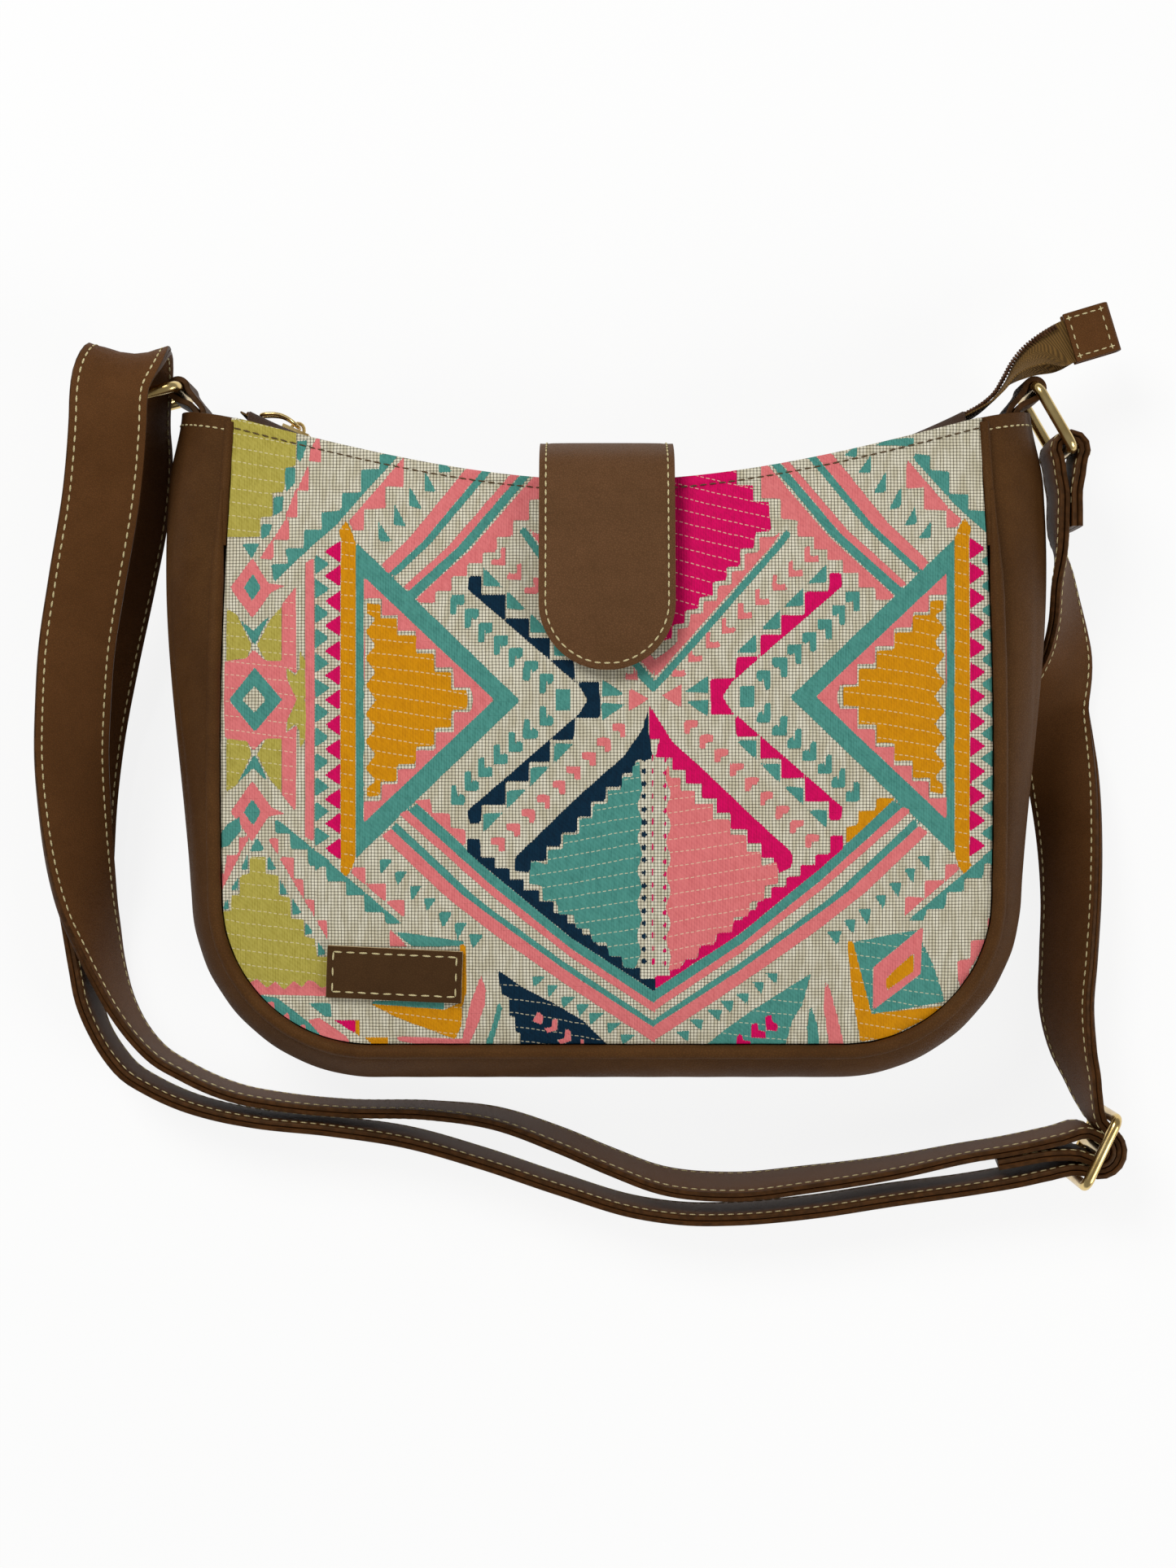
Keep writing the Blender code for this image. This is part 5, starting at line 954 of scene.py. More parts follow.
def puckers(x, y, half):
    """Small gathers that a seam draws into the cloth beside it."""
    side = np.maximum(half - np.abs(x), 0.0)
    near = np.exp(-np.minimum(side, y - PANEL_BOTTOM) / PUCKER_REACH)
    run = np.where(side < y - PANEL_BOTTOM, y, x)
    wave = 0.5 + 0.35 * np.sin(run * 2 * pi / PUCKER_PITCHES[0])
    wave = wave + 0.15 * np.sin(run * 2 * pi / PUCKER_PITCHES[1] + 1.3)
    drape = np.sin(x * 46 + 1.1) * np.sin(y * 61 + 0.4) + 0.6 * np.sin(x * 91 - y * 40)
    return -PUCKER * near * wave + DRAPE * drape


def hem(x, edge):
    """Rows of the hem: over the edge and down inside. Returns y, z and the flat run."""
    turns = np.radians(np.arange(20, 181, 20))
    downs = np.linspace(0, HEM_DEPTH, 9)[1:]
    rows = []
    for turn in turns:
        rows.append((mouth(x) - HEM_ROLL * (1 - sin(turn)), edge - HEM_ROLL * (1 - cos(turn)),
                     HEM_ROLL * turn + 0 * x))
    for down in downs:
        rows.append((mouth(x) - HEM_ROLL - down, edge - 2 * HEM_ROLL + 0 * x,
                     HEM_ROLL * pi + down + 0 * x))
    return [np.stack(values) for values in zip(*rows)]


def tucked(grid, drop):
    """Carry a panel's cloth past the seam and down into it, on its sides and along its bottom."""
    over = TUCK[0] + TUCK[1] * smooth((grid[:, :1, 1] - PIPING_TOP) / (10 * PIPING_RADIUS))
    left, right = grid[:, :1].copy(), grid[:, -1:].copy()
    left[..., 0] -= over
    right[..., 0] += over
    for side in (left, right):
        side[..., 2] -= drop
    wide = np.concatenate([left, grid, right], axis=1)
    low = wide[:1].copy()
    low[..., 1] -= TUCK[0]
    low[..., 2] -= drop
    return np.concatenate([low, wide])


def build_panel(name, front):
    """A panel's cloth, with its hem and tucked edges."""
    columns, rows = PANEL_POINTS
    x, y, across, up, half = panel_grid(columns, rows)
    below = mouth(x) - y
    edge = front_edge(mouth(x)) if front else BODY_DEPTH + 0 * x
    z = front_edge(y) + DOME * swell(across, up) if front else BODY_DEPTH + 0 * x
    groove = HEM_GROOVE[0] * np.exp(-((below - HEM_STITCH) / HEM_GROOVE[1]) ** 2)
    puff = HEM_PUFF * smooth(1 - below / HEM_STITCH)
    relief = puckers(x, y, half) - groove + (puff if front else 0.0)
    if not front:
        relief = np.minimum(relief, 0.0)
    hem_y, hem_z, run = hem(x[-1], edge[-1])
    xs = np.concatenate([x, np.broadcast_to(x[-1], hem_y.shape)])
    flat_y = np.concatenate([y, y[-1] + run])
    flat_z = np.concatenate([z, np.broadcast_to(z[-1], hem_y.shape)])
    below = np.maximum(mouth(xs) - flat_y, 0.0)
    flat_y = mouth(xs) - below - HEM_PULL * np.maximum(1 - below / HEM_REACH, 0.0)
    places = [xs, np.concatenate([y, hem_y]), np.concatenate([z + relief, hem_z])]
    places = tucked(np.stack(places, axis=-1), TUCK[2])
    flat = tucked(np.stack([xs, flat_y, flat_z], axis=-1), 0.0)
    a, b = chart_place(flat[..., 0], flat[..., 1], flat[..., 2])
    faces = grid_faces(*a.shape)
    if not front:
        places[..., 2] = BODY_DEPTH - places[..., 2]
        faces = faces[:, ::-1]
    thing = piece(name, places.reshape(-1, 3), faces, [WOVEN], angle=60)
    weave_into(thing, a, b)
    print(name, len(faces), "faces")


build_panel("front_cloth", True)
build_panel("back_cloth", False)

# %% [markdown]
# Inside, the cloth is backed by a bonded layer, which also closes the panel. It shows only deep in
# the mouth, so it needs few faces.

# %% Backing layers
BACKING_POINTS = (60, 50)
BACKING_DROP = 0.0068         # how far below the hem it ends
BACKING_LAP = 0.0001


def build_backing(name, front):
    x, y, across, up, half = panel_grid(*BACKING_POINTS)
    y = y - BACKING_DROP * smooth((up - 0.9) / 0.1)
    inside = PANEL_THICKNESS - BACKING_LAP
    z = front_edge(y) + DOME * swell(across, up) - inside if front else inside + 0 * x
    places = np.stack([x, y, z], axis=-1)
    faces = grid_faces(*x.shape)
    piece(name, places.reshape(-1, 3), faces[:, ::-1] if front else faces, [BACKING])


build_backing("front_backing", True)
build_backing("back_backing", False)
print("panel backings are in")

# %% [markdown]
# The gusset is one long strip of leather that makes the sides and the bottom. It bows outwards
# between the seams, more at the sides, and it creases softly where it turns the corners. At its
# two ends a row of stitches is sewn across it as a hem; the fold of that hem is not shaped.

# %% Gusset
GUSSET_THICKNESS = 0.0013
GUSSET_BULGE_LOW = 0.0103
GUSSET_BULGE_HIGH = 0.0202
GUSSET_PEAK = 0.0032
GUSSET_POINTS = (420, 34)
GUSSET_RUN = 0.35             # about half of the strip's length
GUSSET_CREASE = 0.0007        # depth of the long crease along the sides
GUSSET_FOLDS = (0.00010, 0.017)    # depth and pitch of the folds at the corners


def seam_share(y):
    """1 where the piping fills the seam, less above its end."""
    return 1 - smooth((y - PIPING_TOP) / (10 * PIPING_RADIUS))


def gusset_bulge(y):
    """How far the gusset bows out past its seams."""
    return GUSSET_BULGE_LOW + (GUSSET_BULGE_HIGH - GUSSET_BULGE_LOW) * smooth((y + 0.060) / 0.130)


def gusset_grid(along, across):
    """Points of the gusset's outer face, from the left hem to the right one, front to back."""
    s = np.linspace(-1, 1, along)
    u = np.linspace(0, 1, across)[None, :]
    edge = outline(s)[:, None, :]
    away = outward(s)[:, None, :]
    y = edge[..., 1]
    held = seam_share(y)
    low = PANEL_THICKNESS * (1 - held) + 2 * (PIPING_RADIUS + GAP) * held
    high = front_edge(y) - PANEL_THICKNESS * (1 - held) - (PIPING_RADIUS + GAP) * held
    bow = np.sin(pi * u) ** 0.62
    reach = SEAM * held + 2 * GAP + gusset_bulge(y) * bow
    run = s[:, None] * GUSSET_RUN
    crease = np.exp(-((u - 0.27 - 0.05 * np.sin(run * 40)) / 0.035) ** 2)
    crease = crease * smooth((y + 0.05) / 0.05)
    corner = np.exp(-((y + 0.070) / 0.022) ** 2) * np.sin(run * 2 * pi / GUSSET_FOLDS[1])
    reach = reach - (GUSSET_CREASE * crease + GUSSET_FOLDS[0] * corner) * np.sin(pi * u)
    places = edge + away * reach[..., None]
    places[..., 1] += GUSSET_PEAK * bow * smooth((np.abs(s)[:, None] - 0.8) / 0.2)
    places[..., 2] = high + (low - high) * u
    return places


GUSSET = gusset_grid(*GUSSET_POINTS)
GUSSET_MIDDLE = tuple(count // 2 for count in GUSSET_POINTS)
GUSSET_OUT = normals_of(GUSSET)
GUSSET_OUT *= np.sign(-GUSSET_OUT[GUSSET_MIDDLE][1])    # at the bottom, out is -Y
slab("gusset_leather", GUSSET - GUSSET_OUT * GUSSET_THICKNESS / 2, GUSSET_THICKNESS,
     [GUSSET_LEATHER, EDGE_PAINT])
print("gusset:", GUSSET.shape)

# %% [markdown]
# Piping is a thin cord in a folded strip of leather, caught in the seam between panel and gusset.
# At the top it thins out and runs into the seam.

# %% Piping
PIPING_STEPS = 420
PIPING_TAPER = (0.35, 26)     # share of the radius at an end, and steps until it is full
LIP_RADIUS = 0.0016
LIP_OUT = 0.0019
LIP_SPAN = (0.86, 0.995)      # on the outline, from the piping's end to the mouth
LIP_INSIDE = 0.0011           # below the front panel's edge
LIP_LOW = 0.0017              # height of the back panel's one


def piping_points(height):
    """The piping's middle line. height(y) is how high it lies."""
    top = (PIPING_TOP - PANEL_BOTTOM - PANEL_CORNER) / (MOUTH_END - PANEL_BOTTOM - PANEL_CORNER)
    end = BOTTOM_SHARE + (1 - BOTTOM_SHARE) * (CORNER_SHARE + (1 - CORNER_SHARE) * top)
    s = np.linspace(-end, end, PIPING_STEPS + 1)
    points = outline(s) + outward(s) * (SEAM + GAP / 2)
    points[:, 2] = height(points[:, 1])
    return points


def piping_size():
    """The piping's radii: a little uneven, and thin at both ends."""
    step = np.arange(PIPING_STEPS + 1)
    least, steps = PIPING_TAPER
    taper = least + (1 - least) * smooth(np.minimum(step, PIPING_STEPS - step) / steps)
    pinch = 1 + 0.018 * np.sin(step * 0.9) + 0.014 * np.sin(step * 0.37 + 1)
    return PIPING_RADIUS * taper * pinch


tube("front_welt", piping_points(front_edge), piping_size(), GUSSET_LEATHER, sides=20)
tube("back_welt", piping_points(lambda y: PIPING_RADIUS + GAP + 0 * y), piping_size(),
     GUSSET_LEATHER, sides=20)


def seam_above_piping(side, height):
    """The gusset's turned edge, which closes the seam between the piping's end and the mouth."""
    s = side * np.linspace(*LIP_SPAN, 60)
    points = outline(s) + outward(s) * LIP_OUT
    points[:, 2] = height(points[:, 1])
    return points


for side, label in ((-1, "left"), (1, "right")):
    tube("front_seam_" + label, seam_above_piping(side, lambda y: front_edge(y) - LIP_INSIDE),
         LIP_RADIUS, GUSSET_LEATHER, sides=12)
    tube("back_seam_" + label, seam_above_piping(side, lambda y: LIP_LOW + 0 * y),
         LIP_RADIUS, GUSSET_LEATHER, sides=12)
print("piping steps:", PIPING_STEPS)

# %% [markdown]
# The lining is a loose cloth sack. It is left open at the top, just under the zip, and gets its
# thickness from Solidify, because nobody sees its rim.

# %% Lining
LINING_THICKNESS = 0.0005
LINING_PLAY = 0.0004
LINING_DROP = 0.0120
LINING_SQUARE = 2.6           # 2 would make its rounds ellipses
LINING_FILL = 0.8             # share of the bulges that it follows
LINING_POINTS = (160, 50)


def lining_grid(around, rows):
    """Points of the sack, from its bottom to its open top."""
    turn = 2 * pi * np.linspace(0, 1, around, endpoint=False)[None, :]
    v = np.linspace(0, 1, rows)[:, None]
    half, y = side_point(v)
    half = half + LINING_FILL * gusset_bulge(y) - LINING_PLAY
    x = half * np.sign(np.cos(turn)) * np.abs(np.cos(turn)) ** (2 / LINING_SQUARE)
    share = (y - PANEL_BOTTOM) / (MOUTH_END - PANEL_BOTTOM)
    full = np.sqrt(np.maximum(0.0, 1 - (1 - np.minimum(v / CORNER_SHARE, 1.0)) ** 2.5))
    deep = MID_Z - PANEL_THICKNESS - LINING_THICKNESS - LINING_PLAY
    front = LINING_FILL * DOME * swell(np.minimum(np.abs(x) / PANEL_HALF, 1.0), share)
    deep = deep + np.where(np.sin(turn) > 0, front - MOUTH_LEAN * share, 0.0)
    z = MID_Z + full * deep * np.sign(np.sin(turn)) * np.abs(np.sin(turn)) ** (2 / LINING_SQUARE)
    wrinkle = 1 - 0.012 * (0.5 + 0.5 * np.sin(turn * 23)) * smooth(share * 3)
    z = MID_Z + (z - MID_Z) * wrinkle
    top = mouth(x) - LINING_DROP
    return np.stack([x, PANEL_BOTTOM + (top - PANEL_BOTTOM) * share, z], axis=-1)


sack_grid = lining_grid(*LINING_POINTS)
sack_faces = grid_faces(*LINING_POINTS[::-1], closed=True)
sack = piece("lining_sack", sack_grid.reshape(-1, 3), sack_faces, [LINING])
wall = sack.modifiers.new("wall", "SOLIDIFY")
wall.thickness = LINING_THICKNESS
wall.offset = 1.0
print("lining:", sack_grid.shape)

# %% [markdown]
# Two tapes run side by side along the mouth and out past its right end, where they turn on edge
# and fold together into a tail. A row of numbers for each station gives its place and how far the
# two tapes are opened: 90 degrees is flat, 0 is folded in two.

# %% Zip path
ZIP_LOW = 0.0760
ZIP_RADIUS = 0.2520
ZIP_HALF_LENGTH = 0.1160
ZIP_CENTRE_Y = ZIP_LOW + ZIP_RADIUS
TAPE_WIDTH = 0.0138
TAPE_THICKNESS = 0.0006
COIL_GAP = 0.0010
COIL_WIDTH = 0.0021
COIL_HEIGHT = 0.0015
ZIP_TAIL = [
    (0.1215, 0.1074, 90), (0.1262, 0.1115, 90), (0.1292, 0.1165, 86), (0.1316, 0.1218, 66),
    (0.1346, 0.1266, 42), (0.1388, 0.1308, 16), (0.1440, 0.1343, 1.5), (0.1500, 0.1370, 0.4),
    (0.1590, 0.1398, 0.4)]
TAIL_BARE = 0.0150            # the end of the tail without a coil
ZIP_STEPS = 22


def zip_y(x):
    """The arc on which the zip runs along the mouth."""
    return ZIP_CENTRE_Y - np.sqrt(ZIP_RADIUS ** 2 - x * x)


def zip_rows(spacing):
    """Places, directions and fold of points along the zip and its tail."""
    stations = [(x, float(zip_y(x)), 90)
                for x in np.linspace(-ZIP_HALF_LENGTH, ZIP_HALF_LENGTH, ZIP_STEPS + 1)]
    rows = flow([(x, y, 0.0, fold) for x, y, fold in stations + ZIP_TAIL], spacing)
    return rows[:, :3] + (0, 0, MID_Z), directions(rows[:, :3]), np.radians(rows[:, 3])


ZIP_PLACES, ZIP_ALONG, ZIP_FOLD = zip_rows(0.0015)


def tape_frame(side):
    """Start, width and height directions of one tape: side 1 is the front one, -1 the back one."""
    away = np.stack([ZIP_ALONG[:, 1], -ZIP_ALONG[:, 0], 0 * ZIP_FOLD], axis=1)
    up = np.array([0, 0, side])
    sine, cosine = np.sin(ZIP_FOLD)[:, None], np.cos(ZIP_FOLD)[:, None]
    return ZIP_PLACES + up * COIL_GAP / 2, up * sine + away * cosine, up * cosine - away * sine


for side, label in ((1, "front"), (-1, "back")):
    start, wide, high = tape_frame(side)
    across = np.linspace(0, 1, 7)[None, :, None]
    slab("tape_" + label, start[:, None] + wide[:, None] * TAPE_WIDTH * across, TAPE_THICKNESS,
         [TAPE], rim=0.00012)
zip_length = float(np.linalg.norm(np.diff(ZIP_PLACES, axis=0), axis=1).sum())
print("zip length in mm:", round(1000 * zip_length))

# %% [markdown]
# A strip of leather on each side joins the hem of a panel to its tape, and closes the mouth around
# the zip.

# %% Facings
FACING_THICKNESS = 0.0010
FACING_END = 0.0030
FACING_LAP = 0.0030


def facing_grid(side):
    u = np.linspace(0, 1, 14)[None, :]
    x = np.linspace(-1, 1, 120)[:, None] * (PANEL_TOP_HALF - FACING_END)
    outer = MID_Z + side * (MID_Z - PANEL_THICKNESS - GAP) + 0 * x
    if side > 0:
        outer = outer + front_edge(mouth(x)) - BODY_DEPTH
    inner = MID_Z + side * (COIL_GAP / 2 + TAPE_WIDTH - FACING_LAP)
    high = mouth(x) - FACING_THICKNESS
    low = zip_y(x) + TAPE_THICKNESS / 2 + GAP + FACING_THICKNESS / 2
    y = high + (low - high) * smooth(u * 1.5)
    return np.stack([x + 0 * u, y, outer + (inner - outer) * u], axis=-1)


for side, label in ((1, "front"), (-1, "back")):
    slab("mouth_facing_" + label, facing_grid(side), FACING_THICKNESS, [DARK_LEATHER, EDGE_PAINT])
print("facings are in")

# %% [markdown]
# The tail's raw end is capped by a piece of leather that is folded over it and sewn through.

# %% Tail tab
TAB_THICKNESS = 0.0012
TAB_LENGTH = 0.0125
TAB_EDGE = 0.0012

tab_along = ZIP_ALONG[-1]
tab_wide, tab_high = [direction[-1] for direction in tape_frame(1)[1:]]
tab_half = COIL_GAP / 2 + TAPE_THICKNESS / 2 + 2 * GAP + TAB_THICKNESS / 2


def tab_profile():
    turns = np.radians(np.arange(15, 180, 15))
    ahead = [-TAB_LENGTH * t for t in (1, 0.75, 0.5, 0.25)] + [GAP]
    rise = [tab_half] * 5
    ahead += list(GAP + tab_half * np.sin(turns)) + ahead[::-1]
    rise += list(tab_half * np.cos(turns)) + [-tab_half] * 5
    return np.array(ahead), np.array(rise)


ahead, rise = tab_profile()
tab_across = -TAB_EDGE + (TAPE_WIDTH + 2 * TAB_EDGE) * np.linspace(0, 1, 9)
TAB = (ZIP_PLACES[-1] + tab_along * ahead[:, None, None] + tab_high * rise[:, None, None]
       + tab_wide * tab_across[None, :, None])
slab("tail_tab", TAB, TAB_THICKNESS, [STRAP_LEATHER, EDGE_PAINT])
print("tab profile points:", len(ahead))

# %% [markdown]
# The slider is a cast body, so the solid of the frame stays and is plated. Its pull is a loop of
# bent wire, which gets a rounder section here.

# %% Slider and pull
SLIDER_REST_X = -0.1010
PULL_LENGTH = 0.0125
PULL_WIRE = 0.0006
PULL_HALF = 0.0028
PULL_BOW = 0.0018
SLIDER_PLAY = 0.00045
SLIDER_PLATE = 0.0010
BRIDGE_RISE = 0.0026          # of the slider's bridge, on which the pull hangs
BRIDGE_WIRE = 0.00055
SLIDER_TOP = TAPE_THICKNESS / 2 + GAP + COIL_HEIGHT + SLIDER_PLAY + SLIDER_PLATE
PULL_RISE = SLIDER_TOP + BRIDGE_RISE / 2 - BRIDGE_WIRE / 2


def on_slider(x, y, z):
    """A place given along, off and across the zip at the slider's middle."""
    slope = asin(SLIDER_REST_X / ZIP_RADIUS)
    return (SLIDER_REST_X + x * cos(slope) - y * sin(slope),
            float(zip_y(SLIDER_REST_X)) + x * sin(slope) + y * cos(slope), MID_Z + z)


def pull_points():
    rest = TAPE_THICKNESS / 2 + GAP + COIL_HEIGHT + 2 * PULL_WIRE
    half = [(0.0, 0.0), (0.0, 0.8 * PULL_HALF)] + [(t, PULL_HALF) for t in (0.04, 0.25, 0.5, 0.75)]
    half += [(0.92, 0.85 * PULL_HALF), (0.99, 0.5 * PULL_HALF), (1.0, 0.0)]
    loop = half + [(t, -z) for t, z in reversed(half[1:-1])]
    points = []
    for t, z in loop:
        height = PULL_RISE + (rest - PULL_RISE) * t + PULL_BOW * sin(pi * t)
        points.append(on_slider(-PULL_LENGTH * t, height, z))
    return points


def rounded(points, per_step=5):
    """A closed loop of points, resampled as a smooth curve."""
    points = np.array(points)
    spacing = np.linalg.norm(np.diff(points, axis=0), axis=1).mean() / per_step
    rows = flow(np.concatenate([points[-2:], points, points[:2]]), spacing)
    away = np.linalg.norm(rows - points[0], axis=1)
    return rows[np.argmin(away):len(rows) - 1 - np.argmin(away[::-1])]


tube("pull_loop", rounded(pull_points()), PULL_WIRE, GOLD, closed=True, sides=14, body="pull")
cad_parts["zip_slider"].data.materials[0] = GOLD
print("pull length in mm:", 1000 * PULL_LENGTH)

# %% [markdown]
# The flap is sewn to the back of the mouth, goes over the top and lies on the front, where it ends
# in a half round. Its face leather swells a little between the lines of stitches.

# %% Flap
FLAP_WIDTH = 0.0420
FLAP_THICKNESS = 0.0012
FLAP_LINING_THICKNESS = 0.0008
SNAP_THICKNESS = 0.0015
SNAP_Y = 0.0340
FLAP_STACK = 2 * SNAP_THICKNESS + 5 * GAP + FLAP_LINING_THICKNESS + FLAP_THICKNESS / 2
FLAP_HINGE_Z = 0.0035
FLAP_ROUND = 0.68
FLAP_FOLD = [(0.0028, 0.0000), (0.0065, 0.0060), (0.0105, 0.0145), (0.0127, 0.0260),
             (0.0126, 0.0370), (0.0102, 0.0470), (0.0055, 0.0555)]
FLAP_TIP_Y = 0.0212
FLAP_END_TURN = radians(84)   # how far its half round is followed towards the tip
FLAP_CROWN = 0.00020
SEAM_GROOVE = (0.00010, 0.90, 0.035)    # depth, place across and width of the sewn groove
UNDERSIDE_INSET = 0.0003


def flap_rows():
    """Places, directions and lengths along the flap's middle, as (y, z, 0)."""
    points = [(MOUTH_LOW + y, FLAP_HINGE_Z + z, 0.0) for y, z in FLAP_FOLD]
    for y, extra in ((0.0760, 0.0012), (0.0640, 0.0006), (0.0500, 0.0), (SNAP_Y, 0.0),
                     (FLAP_TIP_Y, -0.0012)):
        points.append((y, float(front_height(0.0, y)) + FLAP_STACK + extra, 0.0))
    rows = flow(points, 0.0015)
    length = np.concatenate([[0], np.cumsum(np.linalg.norm(np.diff(rows, axis=0), axis=1))])
    return rows, directions(rows), length


FLAP_ROWS, FLAP_ALONG, FLAP_LENGTH = flap_rows()


def flap_grid(inset, lift, rows=110, columns=21):
    """Points on the flap's path, lifted off it, inside its outline by inset."""
    half_width = FLAP_WIDTH / 2 - inset
    whole = FLAP_LENGTH[-1] - inset
    v = np.linspace(0, 1, rows)
    turn = FLAP_END_TURN * np.clip((v - FLAP_ROUND) / (1 - FLAP_ROUND), 0, 1)
    straight = inset + (whole - inset - half_width) * v / FLAP_ROUND
    travel = np.where(v < FLAP_ROUND, straight, whole - half_width * (1 - np.sin(turn)))
    half = np.where(v < FLAP_ROUND, half_width, half_width * np.cos(turn))
    y, z, dy, dz = [np.interp(travel, FLAP_LENGTH, column) for column in
                    (FLAP_ROWS[:, 0], FLAP_ROWS[:, 1], FLAP_ALONG[:, 0], FLAP_ALONG[:, 1])]
    size = np.hypot(dy, dz)
    y, z = y + lift * dz / size, z - lift * dy / size
    x = half[:, None] * np.linspace(-1, 1, columns)[None, :]
    return np.stack([x, y[:, None] + 0 * x, z[:, None] + 0 * x], axis=-1)


def padded_between_seams(a):
    """A leather face is thickest in the middle and pulled down along its stitches."""
    depth, place, width = SEAM_GROOVE
    groove = np.exp(-((np.abs(a) - place) / width) ** 2)
    return FLAP_CROWN * (1 - np.abs(a) ** 4) - depth * groove


UNDER = FLAP_THICKNESS / 2 + GAP + FLAP_LINING_THICKNESS / 2
slab("flap_face", flap_grid(0.0, 0.0), FLAP_THICKNESS, [LEATHER, EDGE_PAINT], "flap",
     padded_between_seams)
slab("flap_underside", flap_grid(UNDERSIDE_INSET, -UNDER, 60, 11), FLAP_LINING_THICKNESS,
     [DARK_LEATHER, EDGE_PAINT], "flap")
for name in ("snap_flap", "snap_panel"):
    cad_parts[name].data.materials[0] = STEEL
print("flap length in mm:", round(1000 * float(FLAP_LENGTH[-1]), 1))

# %% [markdown]
# The maker's patch is a bare piece of smooth leather, with nothing written on it. Its cut edge is
# pale, as the split inside the leather is.

# %% Label patch
PATCH_LENGTH = 0.0420
PATCH_WIDTH = 0.0162
PATCH_THICKNESS = 0.0012
PATCH_AT = (-0.0657, -0.0725)
PATCH_TILT = radians(-2.5)


def patch_points(a, b, lift):
    """Points of the patch's middle surface, a along it and b across, lifted off it."""
    x = PATCH_AT[0] + a * cos(PATCH_TILT) - b * sin(PATCH_TILT)
    y = PATCH_AT[1] + a * sin(PATCH_TILT) + b * cos(PATCH_TILT)
    return np.stack([x, y, front_height(x, y) + 2 * GAP + PATCH_THICKNESS / 2 + lift], axis=-1)


patch_a = np.linspace(-0.5, 0.5, 43)[None, :] * PATCH_LENGTH
patch_b = np.linspace(-0.5, 0.5, 17)[:, None] * PATCH_WIDTH
patch_grid = patch_points(patch_a + 0 * patch_b, patch_b + 0 * patch_a, 0.0)
PATCH_LEATHER = leather("patch leather", "4a321c", "3e2916", depth=0.00004)
slab("blank_patch", patch_grid, PATCH_THICKNESS, [PATCH_LEATHER, RAW_EDGE], rim=0.0002)
print("patch is", 1000 * PATCH_LENGTH, "by", 1000 * PATCH_WIDTH, "mm")

# %% [markdown]
# At each end of the mouth a strip of leather, the chape, is folded round a ring's bar and sewn
# inside the gusset's hem.

# %% Chapes
WIRE = 0.00175
RING_AT = (0.1365, 0.1125)
CHAPE_WIDTH = 0.0200
CHAPE_THICKNESS = 0.0018


def chape_grid(side):
    """The strip: up, round the ring's bar and down again."""
    round_bar = WIRE + GAP + CHAPE_THICKNESS / 2
    x, y = RING_AT
    fold = [(x + round_bar * cos(radians(a)), y + round_bar * sin(radians(a)))
            for a in (180, 150, 120, 90, 60, 30, 0, -30)]
    inner = [(0.1278, 0.0935), (0.1278, 0.1010), (0.1289, 0.1062), (0.1316, 0.1096)]
    outer = [(0.1361, 0.1088), (0.1325, 0.1072), (0.1304, 0.1042), (0.1299, 0.1005),
             (0.1299, 0.0935)]
    rows = flow([(px, py, 0.0) for px, py in inner + fold + outer], 0.0009)
    z = MID_Z + np.linspace(-0.5, 0.5, 13) * CHAPE_WIDTH
    x = side * rows[:, :1] + 0 * z
    return np.stack([x, rows[:, 1:2] + 0 * z, z[None, :] + 0 * x], axis=-1)


for side, label in ((-1, "left"), (1, "right")):
    slab("chape_strip_" + label, chape_grid(side), CHAPE_THICKNESS, [GUSSET_LEATHER, EDGE_PAINT])
print("chapes are in")

# %% [markdown]
# The rings and the adjuster are bent from plated wire. Each is a rounded rectangle, swept with a
# round section. The adjuster has a third bar in its middle.

# %% Rings and adjuster
STRAP_WIDTH = 0.0240
SIDE_PLAY = 0.0010
RING_HALF_WIDTH = STRAP_WIDTH / 2 + SIDE_PLAY + WIRE
RING_LENGTH = 0.0226
RING_TURNS = {1: radians(-60), -1: radians(195)}
ADJUSTER_PITCH = 0.0119
ADJUSTER_AT = (0.1593, -0.1324)
ADJUSTER_TURN = radians(-25.6)
ADJUSTER_ALONG = np.array([sin(ADJUSTER_TURN), -cos(ADJUSTER_TURN), 0])
ADJUSTER_OUT = np.array([cos(ADJUSTER_TURN), sin(ADJUSTER_TURN), 0])
ADJUSTER_MIDDLE = np.array([*ADJUSTER_AT, RING_HALF_WIDTH + WIRE])
WIRE_CORNER = 1.6 * WIRE
BAR_SHARE = 0.92              # of the wire's radius, for the adjuster's middle bar


def wire_frame(centre, along, low, high, half, corner):
    """A rectangle with round corners in the plane of along and +Z."""
    points = []
    middle = (low + high) / 2
    reach = (high - low) / 2 - corner
    tall = half - corner
    corners = ((1, 1), (-1, 1), (-1, -1), (1, -1))
    for quarter, (a, b) in enumerate(corners):
        for turn in pi / 2 * (quarter + np.linspace(0, 1, 9)):
            t = middle + a * reach + corner * cos(turn)
            points.append(centre + along * t + np.array([0, 0, b * tall + corner * sin(turn)]))
        a, b = corners[(quarter + 1) % 4]
        start, turn = points[-1], pi / 2 * (quarter + 1)
        t = middle + a * reach + corner * cos(turn)
        end = centre + along * t + np.array([0, 0, b * tall + corner * sin(turn)])
        points += [start + (end - start) * share for share in (0.2, 0.4, 0.6, 0.8)]
    return np.array(points)


def ring_frame(side):
    """A ring's pivot in its chape, and the direction in which it hangs."""
    turn = RING_TURNS[side]
    return np.array([side * RING_AT[0], RING_AT[1], MID_Z]), np.array([cos(turn), sin(turn), 0])


for side, label in ((-1, "left"), (1, "right")):
    pivot, along = ring_frame(side)
    loop = wire_frame(pivot, along, 0.0, RING_LENGTH, RING_HALF_WIDTH, WIRE_CORNER)
    tube("ring_wire_" + label, loop, WIRE, GOLD, closed=True, sides=18, body=label + "_ring")

